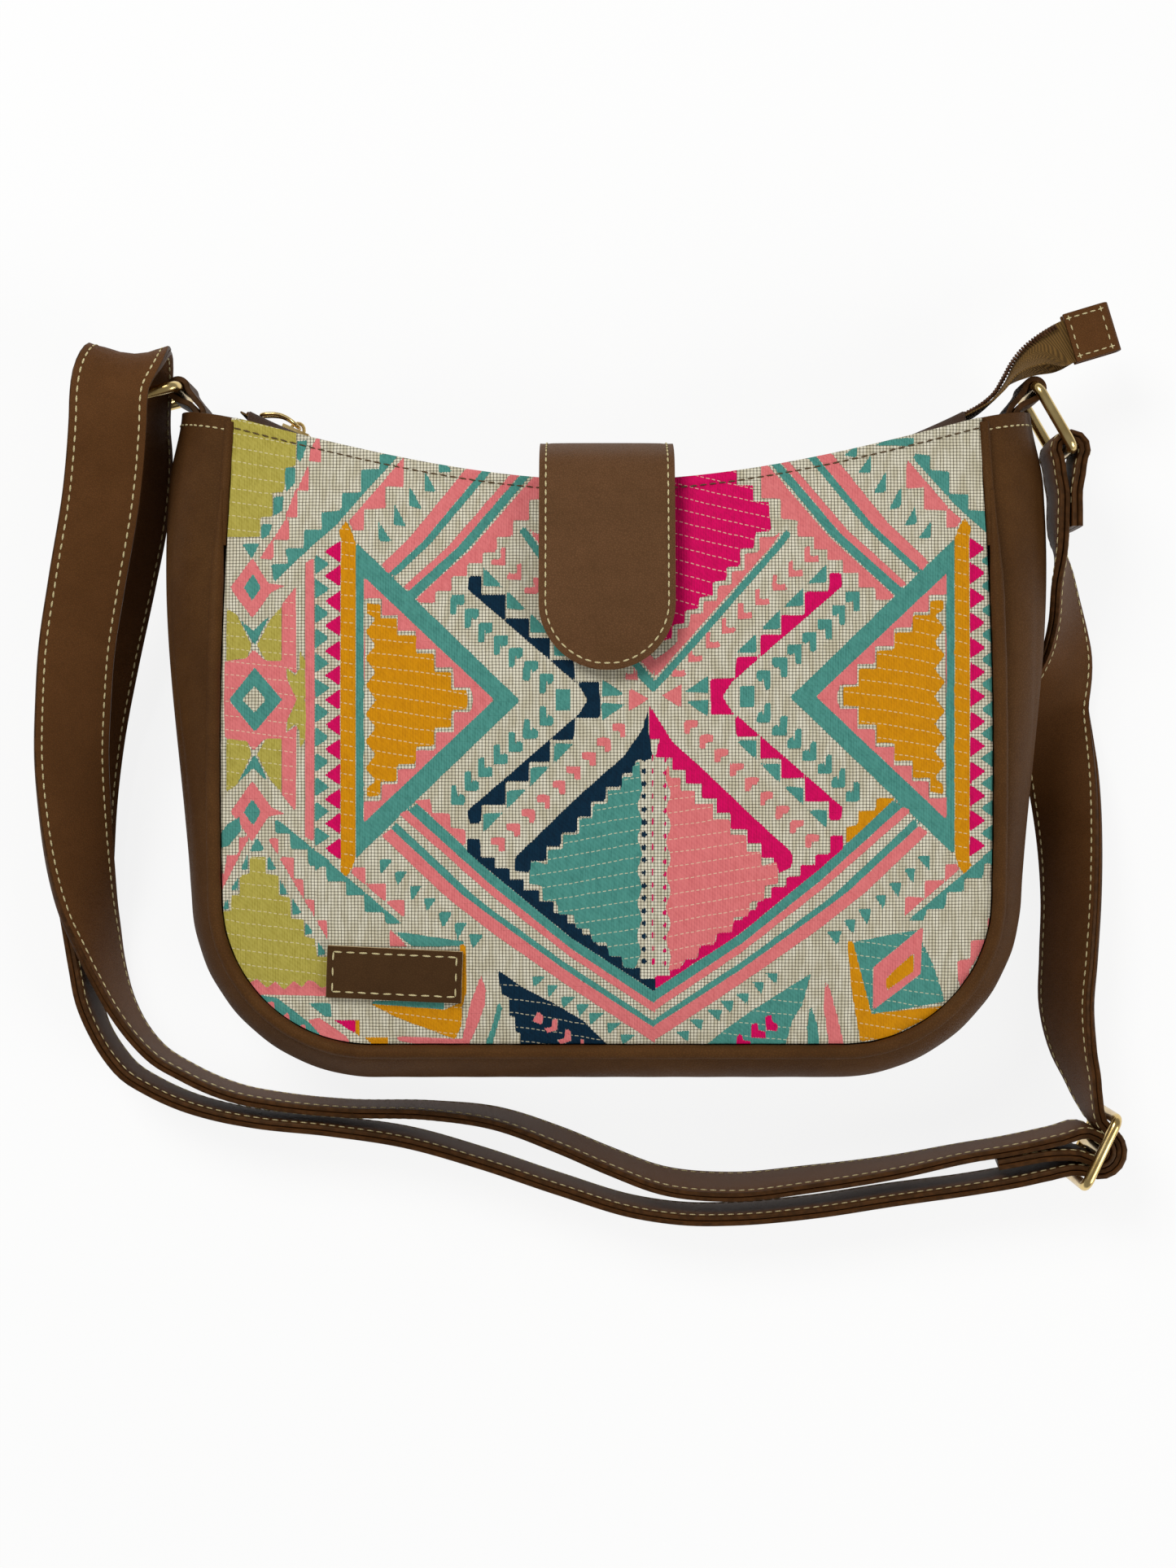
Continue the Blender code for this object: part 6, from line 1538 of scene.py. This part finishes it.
loop = wire_frame(ADJUSTER_MIDDLE, ADJUSTER_ALONG, -ADJUSTER_PITCH, ADJUSTER_PITCH,
                  RING_HALF_WIDTH, WIRE_CORNER)
tube("adjuster_frame", loop, WIRE, GOLD, closed=True, sides=18)
bar = ADJUSTER_MIDDLE + np.array([0, 0, 1.0]) * np.linspace(-1, 1, 9)[:, None] * RING_HALF_WIDTH
tube("adjuster_bar", bar, BAR_SHARE * WIRE, GOLD, sides=18)
print("ring is", round(2000 * RING_HALF_WIDTH, 1), "mm across")

# %% [markdown]
# The strap is one long loop of two leathers, sewn and painted at the edges. It runs from the right
# ring down to the adjuster, round it, along the bottom, up the left side, over the left ring and
# all the way back to the adjuster's middle bar. Each station is a place and the strap's tilt:
# 0 lies flat, 90 and -90 stand on an edge. These numbers repeat those of the part's source.

# %% Strap route
LAYER_THICKNESS = 0.0015
STRAP_THICKNESS = 2 * LAYER_THICKNESS + GAP
STRAP_REST = STRAP_WIDTH / 2 + GAP
RING_LOOP_PLAY = 0.0012
ARCH_Y = 0.1080               # middle of the strap's bend over the left ring
ARCH_Z = 0.0441
ARCH_LOW = 0.0148             # its radius below and above the bar
ARCH_HIGH = 0.0109
ARCH_X = (-0.1486, -0.1553)
ARCH_TILT = (-61, -8)
RIGHT_RUN = [
    (0.1457, 0.0720, 0.0285, 90), (0.1459, 0.0660, 0.0282, 88), (0.1474, 0.0545, 0.0255, 71),
    (0.1494, 0.0410, 0.0202, 60), (0.1503, 0.0305, 0.0152, 46), (0.1500, 0.0210, 0.0100, 25),
    (0.1484, 0.0120, 0.0068, 5), (0.1493, 0.0000, 0.0074, -12), (0.1508, -0.0110, 0.0085, -25),
    (0.1522, -0.0250, 0.0098, -38), (0.1530, -0.0520, 0.0112, -51), (0.1521, -0.0710, 0.0115, -54),
    (0.1514, -0.0870, 0.0119, -58), (0.1536, -0.1010, 0.0128, -66), (0.1566, -0.1105, 0.0142, -76),
    (0.1586, -0.1180, 0.0158, -85), (0.1604, -0.1232, 0.0165, -90)]
LOWER_RUN = [
    (0.1512, -0.1385, 0.0162, -90), (0.1450, -0.1399, 0.0155, -90), (0.1350, -0.1422, 0.0142, -89),
    (0.1202, -0.1450, 0.0128, -89), (0.0938, -0.1487, STRAP_REST, -88),
    (0.0674, -0.1527, STRAP_REST, -88), (0.0411, -0.1550, STRAP_REST, -88),
    (0.0268, -0.1550, STRAP_REST, -88), (0.0101, -0.1528, STRAP_REST, -88),
    (-0.0152, -0.1452, STRAP_REST, -88), (-0.0406, -0.1367, STRAP_REST, -88),
    (-0.0657, -0.1297, STRAP_REST, -88), (-0.0900, -0.1262, STRAP_REST, -89),
    (-0.1141, -0.1238, STRAP_REST, -90), (-0.1263, -0.1215, STRAP_REST, -90),
    (-0.1384, -0.1179, STRAP_REST, -90), (-0.1490, -0.1130, STRAP_REST, -90)]
LEFT_RUN = [
    (-0.1565, -0.1083, STRAP_REST, -90), (-0.1622, -0.1016, STRAP_REST, -90),
    (-0.1667, -0.0939, STRAP_REST, -90), (-0.1698, -0.0846, STRAP_REST, -86),
    (-0.1708, -0.0733, 0.0122, -79), (-0.1711, -0.0619, 0.0119, -69),
    (-0.1716, -0.0500, 0.0113, -58), (-0.1723, -0.0390, 0.0104, -48),
    (-0.1728, -0.0270, 0.0092, -38), (-0.1705, -0.0006, 0.0094, -30),
    (-0.1645, 0.0265, 0.0140, -32), (-0.1575, 0.0514, 0.0200, -40), (-0.1520, 0.0720, 0.0245, -48),
    (-0.1491, 0.0920, 0.0281, -55), (-0.1487, 0.1005, 0.0291, -61)]
FRONT_RUN = [
    (-0.1557, 0.1000, 0.0546, -8), (-0.1584, 0.0791, 0.0500, -10), (-0.1648, 0.0491, 0.0430, -13),
    (-0.1689, 0.0288, 0.0382, -16), (-0.1707, 0.0133, 0.0346, -19),
    (-0.1721, -0.0049, 0.0306, -24), (-0.1718, -0.0233, 0.0266, -32),
    (-0.1708, -0.0392, 0.0228, -42), (-0.1690, -0.0531, 0.0190, -54),
    (-0.1668, -0.0628, 0.0162, -64), (-0.1640, -0.0739, 0.0138, -74),
    (-0.1598, -0.0855, 0.0126, -82),
    (-0.1541, -0.0952, STRAP_REST, -87), (-0.1468, -0.1031, STRAP_REST, -89)]
UPPER_RUN = [
    (-0.1383, -0.1082, STRAP_REST, -90), (-0.1293, -0.1126, STRAP_REST, -90),
    (-0.1200, -0.1158, STRAP_REST, -90), (-0.1082, -0.1180, STRAP_REST, -90),
    (-0.0862, -0.1203, STRAP_REST, -90), (-0.0575, -0.1210, STRAP_REST, -89),
    (-0.0364, -0.1236, STRAP_REST, -86), (-0.0152, -0.1308, STRAP_REST, -83),
    (0.0017, -0.1379, STRAP_REST, -82), (0.0183, -0.1440, STRAP_REST, -82),
    (0.0410, -0.1462, STRAP_REST, -82), (0.0674, -0.1436, STRAP_REST, -84),
    (0.0938, -0.1398, 0.0127, -87), (0.1202, -0.1344, 0.0138, -90), (0.1300, -0.1327, 0.0146, -90),
    (0.1396, -0.1306, 0.0157, -90), (0.1480, -0.1286, 0.0163, -90), (0.1560, -0.1266, 0.0165, -90)]
SEWN_END = [
    (0.1532, -0.1340, 0.0165, -90), (0.1475, -0.1337, 0.0163, -90), (0.1404, -0.1344, 0.0158, -90),
    (0.1340, -0.1357, 0.0151, -90), (0.1280, -0.1369, 0.0145, -90)]


def arch():
    """The strap's bend over the left ring's front bar, untwisting on its way round."""
    stations = []
    for step in range(9):
        t = step / 8
        turn = pi * (t - 0.5)
        radius = ARCH_LOW + (ARCH_HIGH - ARCH_LOW) * smooth(t)
        x = ARCH_X[0] + (ARCH_X[1] - ARCH_X[0]) * smooth(t) ** 1.37
        tilt = ARCH_TILT[0] + (ARCH_TILT[1] - ARCH_TILT[0]) * t
        stations.append((x, ARCH_Y + radius * cos(turn), ARCH_Z + radius * sin(turn), tilt))
    return stations


def round_adjuster(radius, swing):
    """Stations round the adjuster's bars, at a radius from its middle."""
    stations = []
    for a in range(0, 181, 20):
        spot = ADJUSTER_MIDDLE + radius * (ADJUSTER_OUT * sin(radians(a))
                                           - ADJUSTER_ALONG * cos(radians(a)))
        inward = 90 + 90 * cos(radians(a / 2)) if swing else 90
        stations.append((*spot, -90, inward))
    return stations


def strap_stations():
    """Stations with the side that faces the bag, in degrees from +X, as a fifth number."""
    pivot, along = ring_frame(1)
    bar = pivot + along * RING_LENGTH
    apart = (STRAP_THICKNESS + GAP) / 2 + GAP
    loop = WIRE + RING_LOOP_PLAY + STRAP_THICKNESS / 2
    end = [(bar[0] + apart, bar[1] - 0.0245), (bar[0] + apart, bar[1] - 0.0190),
           (bar[0] + apart, bar[1] - 0.0130), (bar[0] + apart + 0.0009, bar[1] - 0.0080)]
    turn = [(bar[0] + loop * cos(radians(a)), bar[1] + loop * sin(radians(a)))
            for a in (-35, -5, 25, 55, 90, 125, 155, 185, 215)]
    neck = [(bar[0] - apart - 0.0009, bar[1] - 0.0080), (bar[0] - apart, bar[1] - 0.0130)]
    stations = [(x, y, MID_Z, 90, 180) for x, y in end + turn + neck]
    stations += [(*place, 180) for place in RIGHT_RUN]
    inner = WIRE + GAP + STRAP_THICKNESS / 2
    stations += round_adjuster(inner + STRAP_THICKNESS + GAP, True)
    stations += [(*place, 90) for place in LOWER_RUN]
    stations += [(*place, 0) for place in LEFT_RUN + arch() + FRONT_RUN]
    stations += [(*place, 90) for place in UPPER_RUN]
    stations += round_adjuster(inner, False)
    return stations + [(*place, 90) for place in SEWN_END]


STRAP_ROWS = flow(strap_stations(), 0.0028)
STRAP_PLACES = STRAP_ROWS[:, :3]
STRAP_LENGTH = float(np.linalg.norm(np.diff(STRAP_PLACES, axis=0), axis=1).sum())
print("strap length in mm:", round(1000 * STRAP_LENGTH))

# %% [markdown]
# Each layer is swept along the route. Its direction across comes from the tilt, and its normal
# leans half way towards that of its own edge, which keeps a twisted strip from pinching.

# %% Strap layers
FACE_POINTS, EDGE_POINTS, INNER_POINTS = 13, 3, 5    # of a layer's section
STRAP_CROWN = 0.00022
STRAP_GROOVE = (0.00016, 0.80, 0.05)    # depth, place across and width of the sewn groove
STRAP_EDGE = 0.00045          # radius of the rounded edges
UNDER_INSET = 0.0004


def strap_frame():
    """Directions along and across the strap at each of its rows."""
    along = directions(STRAP_PLACES)
    tilt, inward = np.radians(STRAP_ROWS[:, 3]), np.radians(STRAP_ROWS[:, 4])
    wide = np.stack([np.cos(inward) * np.cos(tilt), np.sin(inward) * np.cos(tilt), np.sin(tilt)], 1)
    wide -= along * np.sum(wide * along, axis=1)[:, None]
    return along, wide / np.linalg.norm(wide, axis=1)[:, None]


STRAP_ALONG, STRAP_WIDE = strap_frame()


def strap_line(across, lift):
    """Points along the strap at a distance from its middle line, lifted off its middle surface."""
    line = STRAP_PLACES + STRAP_WIDE * across
    normal = np.cross(directions(line) * 0.5 + STRAP_ALONG * 0.5, STRAP_WIDE)
    return line + normal * lift, normal


def strap_section(half, low, high, outside):
    """Across and lift of a layer's section. Its outer face swells and its edges are rounded."""
    a = np.linspace(-1, 1, FACE_POINTS)
    depth, place, width = STRAP_GROOVE
    crown = outside * STRAP_CROWN * (1 - np.abs(a) ** 4)
    crown -= outside * depth * np.exp(-((np.abs(a) - place) / width) ** 2)
    r = STRAP_EDGE
    flat = (half - r) * a
    far, near = (high, low) if outside > 0 else (low, high)
    outer = [(x, far + c) for x, c in zip(flat, crown)]
    inner = [(x, near) for x in flat[::-1][::3]]
    side = [(half - r * 0.3, far - outside * r * 0.3), (half, far - outside * r),
            (half, near + outside * r * 0.5)]
    return outer + side + inner + [(-x, h) for x, h in reversed(side)]


def strap_strip(name, outside, half):
    """One layer of the strap, closed at both ends."""
    low = outside * GAP / 2
    high = outside * (GAP / 2 + LAYER_THICKNESS)
    section = strap_section(half, min(low, high), max(low, high), outside)
    lines = [strap_line(across, lift)[0] for across, lift in section]
    grid = np.stack(lines, axis=1)
    rows, sides = grid.shape[:2]
    faces = grid_faces(rows, sides, closed=True)
    painted = np.repeat([0, 1, 0, 1], [FACE_POINTS, EDGE_POINTS, INNER_POINTS, EDGE_POINTS])
    shares = np.tile(painted, rows - 1)
    vertices = grid.reshape(-1, 3)
    ends = np.stack([grid[0].mean(axis=0), grid[-1].mean(axis=0)])
    count = len(vertices)
    caps = []
    for k in range(0, sides - 1, 2):
        a, b, c = k, k + 1, (k + 2) % sides
        far = (rows - 1) * sides
        caps += [(count, c, b, a), (count + 1, far + a, far + b, far + c)]
    faces = np.concatenate([faces, np.array(caps)])
    shares = np.concatenate([shares, np.ones(len(caps))])
    thing = piece(name, np.concatenate([vertices, ends]), faces, [STRAP_LEATHER, EDGE_PAINT],
                  shares=shares)
    return recalculated(thing)


strap_strip("strap_upper", 1, STRAP_WIDTH / 2)
strap_strip("strap_under", -1, STRAP_WIDTH / 2 - UNDER_INSET)
print("strap rows:", len(STRAP_ROWS))

# %% [markdown]
# Stitches repeat along a path, which is what Geometry Nodes are good at. The path is resampled at
# the stitch length, a grain-shaped thread is put on each point, turned along the path and laid on
# the surface, and a small random swing keeps the row from looking ruled. Zip teeth are made by the
# same tree with other sizes.

# %% Stitch tree
GRAIN_SIDES, GRAIN_RINGS = 8, 6


def stitch_tree():
    """Inputs: path, pitch, the three sizes of a stitch, its swing and its finish."""
    tree = bpy.data.node_groups.new("stitches", "GeometryNodeTree")
    face = tree.interface
    face.new_socket("Path", in_out="INPUT", socket_type="NodeSocketGeometry")
    for name in ("Pitch", "Length", "Width", "Height", "Swing"):
        face.new_socket(name, in_out="INPUT", socket_type="NodeSocketFloat")
    face.new_socket("Finish", in_out="INPUT", socket_type="NodeSocketMaterial")
    face.new_socket("Stitches", in_out="OUTPUT", socket_type="NodeSocketGeometry")

    def node(kind, settings=None, inputs=None):
        made = tree.nodes.new(kind)
        for key, value in (settings or {}).items():
            setattr(made, key, value)
        for key, value in (inputs or {}).items():
            if isinstance(value, bpy.types.NodeSocket):
                tree.links.new(value, made.inputs[key])
            else:
                made.inputs[key].default_value = value
        return made

    given = node("NodeGroupInput").outputs
    curve = node("GeometryNodeMeshToCurve", inputs={"Mesh": given["Path"]})
    even = node("GeometryNodeResampleCurve", {"mode": "LENGTH"},
                {"Curve": curve.outputs[0], "Length": given["Pitch"]})
    grain = node("GeometryNodeMeshUVSphere",
                 inputs={"Segments": GRAIN_SIDES, "Rings": GRAIN_RINGS, "Radius": 0.5})
    up = node("GeometryNodeInputNamedAttribute", {"data_type": "FLOAT_VECTOR"}, {"Name": "up"})
    tangent = node("GeometryNodeInputTangent")
    lay = node("FunctionNodeAlignRotationToVector", {"axis": "X"}, {"Vector": tangent.outputs[0]})
    face_up = node("FunctionNodeAlignRotationToVector", {"axis": "Z", "pivot_axis": "X"},
                   {"Rotation": lay.outputs[0], "Vector": up.outputs[0]})
    back = node("ShaderNodeMath", {"operation": "MULTIPLY"}, {0: given["Swing"], 1: -1.0})
    chance = node("FunctionNodeRandomValue", {"data_type": "FLOAT"},
                  {"Min": back.outputs[0], "Max": given["Swing"], "Seed": 7})
    swing = node("ShaderNodeCombineXYZ", inputs={"Z": chance.outputs[1]})
    turn = node("FunctionNodeEulerToRotation", inputs={0: swing.outputs[0]})
    turned = node("FunctionNodeRotateRotation", {"rotation_space": "LOCAL"},
                  {0: face_up.outputs[0], 1: turn.outputs[0]})
    size = node("ShaderNodeCombineXYZ", inputs={"X": given["Length"], "Y": given["Width"],
                                                "Z": given["Height"]})
    copies = node("GeometryNodeInstanceOnPoints", inputs={
        "Points": even.outputs[0], "Instance": grain.outputs[0], "Rotation": turned.outputs[0],
        "Scale": size.outputs[0]})
    real = node("GeometryNodeRealizeInstances", inputs={0: copies.outputs[0]})
    soft = node("GeometryNodeSetShadeSmooth", inputs={0: real.outputs[0]})
    coat = node("GeometryNodeSetMaterial", inputs={0: soft.outputs[0], "Material": given["Finish"]})
    node("NodeGroupOutput", inputs={0: coat.outputs[0]})
    return tree


STITCHES = stitch_tree()
print("stitch tree:", len(STITCHES.nodes), "nodes")

# %% [markdown]
# A row of stitches is given as one or more lines of points with their normals. The lines become a
# mesh of edges, the tree is run on it once, and what it makes is kept as a plain mesh.

# %% Sewing
def sew(name, lines, pitch, sizes, finish, body="bag", swing=0.06):
    """lines is a list of (points, normals). sizes is a stitch's length, width and height."""
    points, normals, edges = [], [], []
    for line, normal in lines:
        start = len(points)
        points += [tuple(p) for p in line]
        normals += [tuple(n) for n in np.broadcast_to(normal, np.shape(line))]
        edges += [(start + k, start + k + 1) for k in range(len(line) - 1)]
    path = bpy.data.meshes.new(name + "_path")
    path.from_pydata(points, edges, [])
    up = path.attributes.new("up", "FLOAT_VECTOR", "POINT")
    up.data.foreach_set("vector", np.asarray(normals, dtype=np.float32).ravel())
    holder = bpy.data.objects.new(name, path)
    bpy.context.scene.collection.objects.link(holder)
    run = holder.modifiers.new("sewing", "NODES")
    run.node_group = STITCHES
    given = {"Pitch": pitch, "Length": sizes[0], "Width": sizes[1], "Height": sizes[2],
             "Swing": swing, "Finish": finish}
    for socket in STITCHES.interface.items_tree:
        if socket.in_out == "INPUT" and socket.name in given:
            run[socket.identifier] = given[socket.name]
    bpy.context.view_layer.update()
    made = holder.evaluated_get(bpy.context.evaluated_depsgraph_get())
    mesh = bpy.data.meshes.new_from_object(made)
    mesh.name = name
    bpy.data.objects.remove(holder)
    up = mesh.attributes.get("up")
    if up is not None:
        mesh.attributes.remove(up)
    thing = bpy.data.objects.new(name, mesh)
    bpy.context.scene.collection.objects.link(thing)
    PIECES[name] = (thing, body)
    print(name, len(mesh.polygons) // (GRAIN_SIDES * GRAIN_RINGS), "stitches")


SEAM_INSET = 0.0023
STITCH = (0.0023, 0.00062, 0.00042)
STITCH_PITCH = 0.0031
THREAD_RISE = 0.00008         # of a stitch's middle over the strap
strap_half = STRAP_WIDTH / 2 - SEAM_INSET
strap_lines = []
for across in (-strap_half, strap_half):
    for outside in (1, -1):
        lift = outside * (GAP / 2 + LAYER_THICKNESS + THREAD_RISE)
        line, normal = strap_line(across, lift)
        strap_lines.append((line[3:-3], normal[3:-3] * outside))
sew("strap_stitches", strap_lines, STITCH_PITCH, STITCH, CREAM_THREAD)

# %% [markdown]
# The other seams follow the grids of their own pieces: round the flap, round the patch, along both
# hems of the mouth, across the gusset's hems and over the tail's tab.

# %% Other seams
FLAP_SEAM = 0.0021            # how far inside its edge each of these is sewn
PATCH_SEAM = 0.0019
PATCH_CORNER = 0.0014         # left free at the patch's corners
GUSSET_SEAM = 0.0036
TAB_SEAM = 0.0006
FLAP_SEAM_ROWS = 90


def flap_seam():
    """Down one side of the flap, round its end and up the other side."""
    grid = flap_grid(FLAP_SEAM, 0.0, FLAP_SEAM_ROWS, 3)
    out = normals_of(grid)[:, 1]
    out = out * np.sign(out[2 * FLAP_SEAM_ROWS // 3, 2])    # a row on the front, where out is up
    left, right = grid[:, 0], grid[::-1, 2]
    line = np.concatenate([left, right])
    normal = np.concatenate([out, out[::-1]])
    return line + normal * (FLAP_THICKNESS / 2 + 0.00014), normal


sew("flap_stitches", [flap_seam()], 0.0029, (0.0022, 0.0006, 0.00042), CREAM_THREAD, "flap")


def patch_seam():
    """The patch's four rows of stitches."""
    a = PATCH_LENGTH / 2 - PATCH_SEAM
    b = PATCH_WIDTH / 2 - PATCH_SEAM
    t = np.linspace(-1, 1, 40)
    along, across = t * (a - PATCH_CORNER), t * (b - PATCH_CORNER)
    sides = [(along, 0 * t - b), (along, 0 * t + b), (0 * t - a, across), (0 * t + a, across)]
    up = PATCH_THICKNESS / 2 + 0.00006
    return [(patch_points(p, q, up), (0.0, 0.0, 1.0)) for p, q in sides]


sew("patch_stitches", patch_seam(), 0.0036, (0.0028, 0.00058, 0.00040), CREAM_THREAD)


def hem_seam(up):
    """The row along a hem: up is 1 in front and -1 behind."""
    x = np.linspace(-0.995, 0.995, 300) * PANEL_TOP_HALF
    y = mouth(x) - HEM_STITCH
    front = up > 0
    z = front_edge(y) + DOME * swell(x / PANEL_HALF, (y - PANEL_BOTTOM) / (mouth(x) - PANEL_BOTTOM))
    z = z - 0.00022 if front else 0.00034 + 0 * x
    return np.stack([x, y, z], axis=1), (0.0, 0.0, float(up))


sew("hem_stitches", [hem_seam(1), hem_seam(-1)], 0.0030, (0.0024, 0.0005, 0.0004),
    BROWN_THREAD)


def gusset_hem_lines():
    """A row of stitches across each end of the gusset."""
    step = np.linalg.norm(GUSSET[1, GUSSET_MIDDLE[1]] - GUSSET[0, GUSSET_MIDDLE[1]])
    row = int(round(GUSSET_SEAM / step))
    lines = []
    for k in (row, -1 - row):
        lines.append((GUSSET[k] + GUSSET_OUT[k] * 0.00012, GUSSET_OUT[k]))
    return lines


sew("gusset_hem_stitches", gusset_hem_lines(), STITCH_PITCH, STITCH, CREAM_THREAD)


def tab_lines():
    """Both faces of the tab are sewn along all four of their edges."""
    lines = []
    t = np.linspace(0, 1, 30)[:, None]
    back, ahead_of = -TAB_LENGTH + 0.0016, -0.0002
    low, high = TAB_SEAM, TAPE_WIDTH - TAB_SEAM
    corners = [(back, low), (ahead_of, low), (ahead_of, high), (back, high), (back, low)]
    for face in (1, -1):
        out = tab_high * face
        level = ZIP_PLACES[-1] + out * (tab_half + TAB_THICKNESS / 2 + 0.0001)
        for (a0, w0), (a1, w1) in zip(corners, corners[1:]):
            line = level + tab_along * (a0 + (a1 - a0) * t) + tab_wide * (w0 + (w1 - w0) * t)
            lines.append((line, out))
    return lines


sew("tab_stitches", tab_lines(), 0.0026, (0.0020, 0.0005, 0.0004), CREAM_THREAD)

# %% [markdown]
# The two halves of the coil are rows of short, fat grains laid across the tapes, close enough to
# touch, which is how a nylon coil looks from above.

# %% Zip coil
COIL_PITCH = 0.00105
COIL_TURN = (0.00095, COIL_WIDTH, COIL_HEIGHT)


def coil_line(side):
    """The middle line of one half of the coil."""
    start, wide, high = tape_frame(side)
    kept = np.linalg.norm(ZIP_PLACES - ZIP_PLACES[-1], axis=1) > TAIL_BARE
    lift = TAPE_THICKNESS / 2 + GAP + COIL_HEIGHT / 2
    line = start + wide * COIL_WIDTH / 2 + high * lift
    return line[kept], high[kept]


for side, label in ((1, "front"), (-1, "back")):
    sew("coil_teeth_" + label, [coil_line(side)], COIL_PITCH, COIL_TURN, COIL, swing=0.02)

# %% [markdown]
# Each soft piece now stands for its solid, which stays in the simulation. A piece rides on the body
# of the solid that it dresses.

# %% Riding and replacing
STANDS_FOR = {
    "front_cloth": ["front_panel"] + [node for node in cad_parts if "_field_" in node],
    "back_cloth": ["back_panel"], "gusset_leather": ["gusset"],
    "front_welt": ["front_piping"], "back_welt": ["back_piping"], "lining_sack": ["lining"],
    "tape_front": ["zip_tape_front"], "tape_back": ["zip_tape_back"],
    "coil_teeth_front": ["zip_coil_front"], "coil_teeth_back": ["zip_coil_back"],
    "mouth_facing_front": ["facing_front"], "mouth_facing_back": ["facing_back"],
    "tail_tab": ["zip_end_tab"], "pull_loop": ["zip_pull"], "flap_face": ["flap"],
    "flap_underside": ["flap_lining"], "blank_patch": ["label_patch"],
    "chape_strip_left": ["chape_left"], "chape_strip_right": ["chape_right"],
    "ring_wire_left": ["ring_left"], "ring_wire_right": ["ring_right"],
    "adjuster_frame": ["adjuster"], "strap_upper": ["strap_face"], "strap_under": ["strap_backing"],
}
for name, (thing, body) in PIECES.items():
    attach(thing, body)
    if name in STANDS_FOR:
        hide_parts(*STANDS_FOR[name])
print("pieces:", len(PIECES), "standing for", sum(len(v) for v in STANDS_FOR.values()), "solids")

# %% [markdown]
# The bag lies on a white sheet under soft light. Big lamps high up give soft shadows. The floor
# looks white to the camera and in reflections, through Light Path, and takes only a faint shadow.

# %% Floor and light
FLOOR_HALF = 4.0
FLOOR_DROP = 0.0004
FLOOR_GLOW = 0.86             # share of its own light where the camera sees it
SKY = 0.27


def white_floor():
    floor = Finish("white floor", Roughness=0.9, Specular_IOR_Level=0.1)
    place = floor.place()
    cloud = floor.noise(place, 3.0, 2.0)
    floor.feed(Base_Color=floor.mix(cloud, linear("f4f4f2"), linear("fafaf8")))
    nodes, links = floor.tree.nodes, floor.tree.links
    rays = nodes.new("ShaderNodeLightPath")
    seen = Term(floor, rays.outputs["Is Camera Ray"])
    for ray in ("Is Glossy Ray", "Is Transmission Ray"):
        seen = seen.highest(Term(floor, rays.outputs[ray]))
    glow = nodes.new("ShaderNodeEmission")
    glow.inputs["Strength"].default_value = 1.0
    blend = nodes.new("ShaderNodeMixShader")
    floor.plug(blend.inputs[0], seen * FLOOR_GLOW)
    links.new(floor.shader.outputs[0], blend.inputs[1])
    links.new(glow.outputs[0], blend.inputs[2])
    links.new(blend.outputs[0], nodes["Material Output"].inputs["Surface"])
    return floor.material


corners = np.array([(-1, -1), (1, -1), (1, 1), (-1, 1)]) * FLOOR_HALF
sheet_mesh = bpy.data.meshes.new("floor")
sheet_mesh.from_pydata([(x, y, -FLOOR_DROP) for x, y in corners], [], [(0, 1, 2, 3)])
sheet_mesh.materials.append(white_floor())
floor_sheet = bpy.data.objects.new("floor", sheet_mesh)
bpy.context.scene.collection.objects.link(floor_sheet)


def lamp(name, at, size, power):
    """A round area lamp that points at the bag."""
    data = bpy.data.lights.new(name, "AREA")
    data.shape = "DISK"
    data.size = size
    data.energy = power
    thing = bpy.data.objects.new(name, data)
    thing.location = at
    thing.rotation_euler = (Vector((0, 0, 0)) - Vector(at)).to_track_quat("-Z", "Y").to_euler()
    bpy.context.scene.collection.objects.link(thing)


lamp("key", (-0.75, 0.95, 1.35), 0.9, 20.5)
lamp("fill", (1.25, -0.75, 0.95), 1.1, 13.0)
world = bpy.data.worlds.new("studio")
world.use_nodes = True
sky = world.node_tree.nodes["Background"]
sky.inputs["Color"].default_value = (1.0, 1.0, 1.0, 1.0)
sky.inputs["Strength"].default_value = SKY
bpy.context.scene.world = world
print("lamps and floor are in")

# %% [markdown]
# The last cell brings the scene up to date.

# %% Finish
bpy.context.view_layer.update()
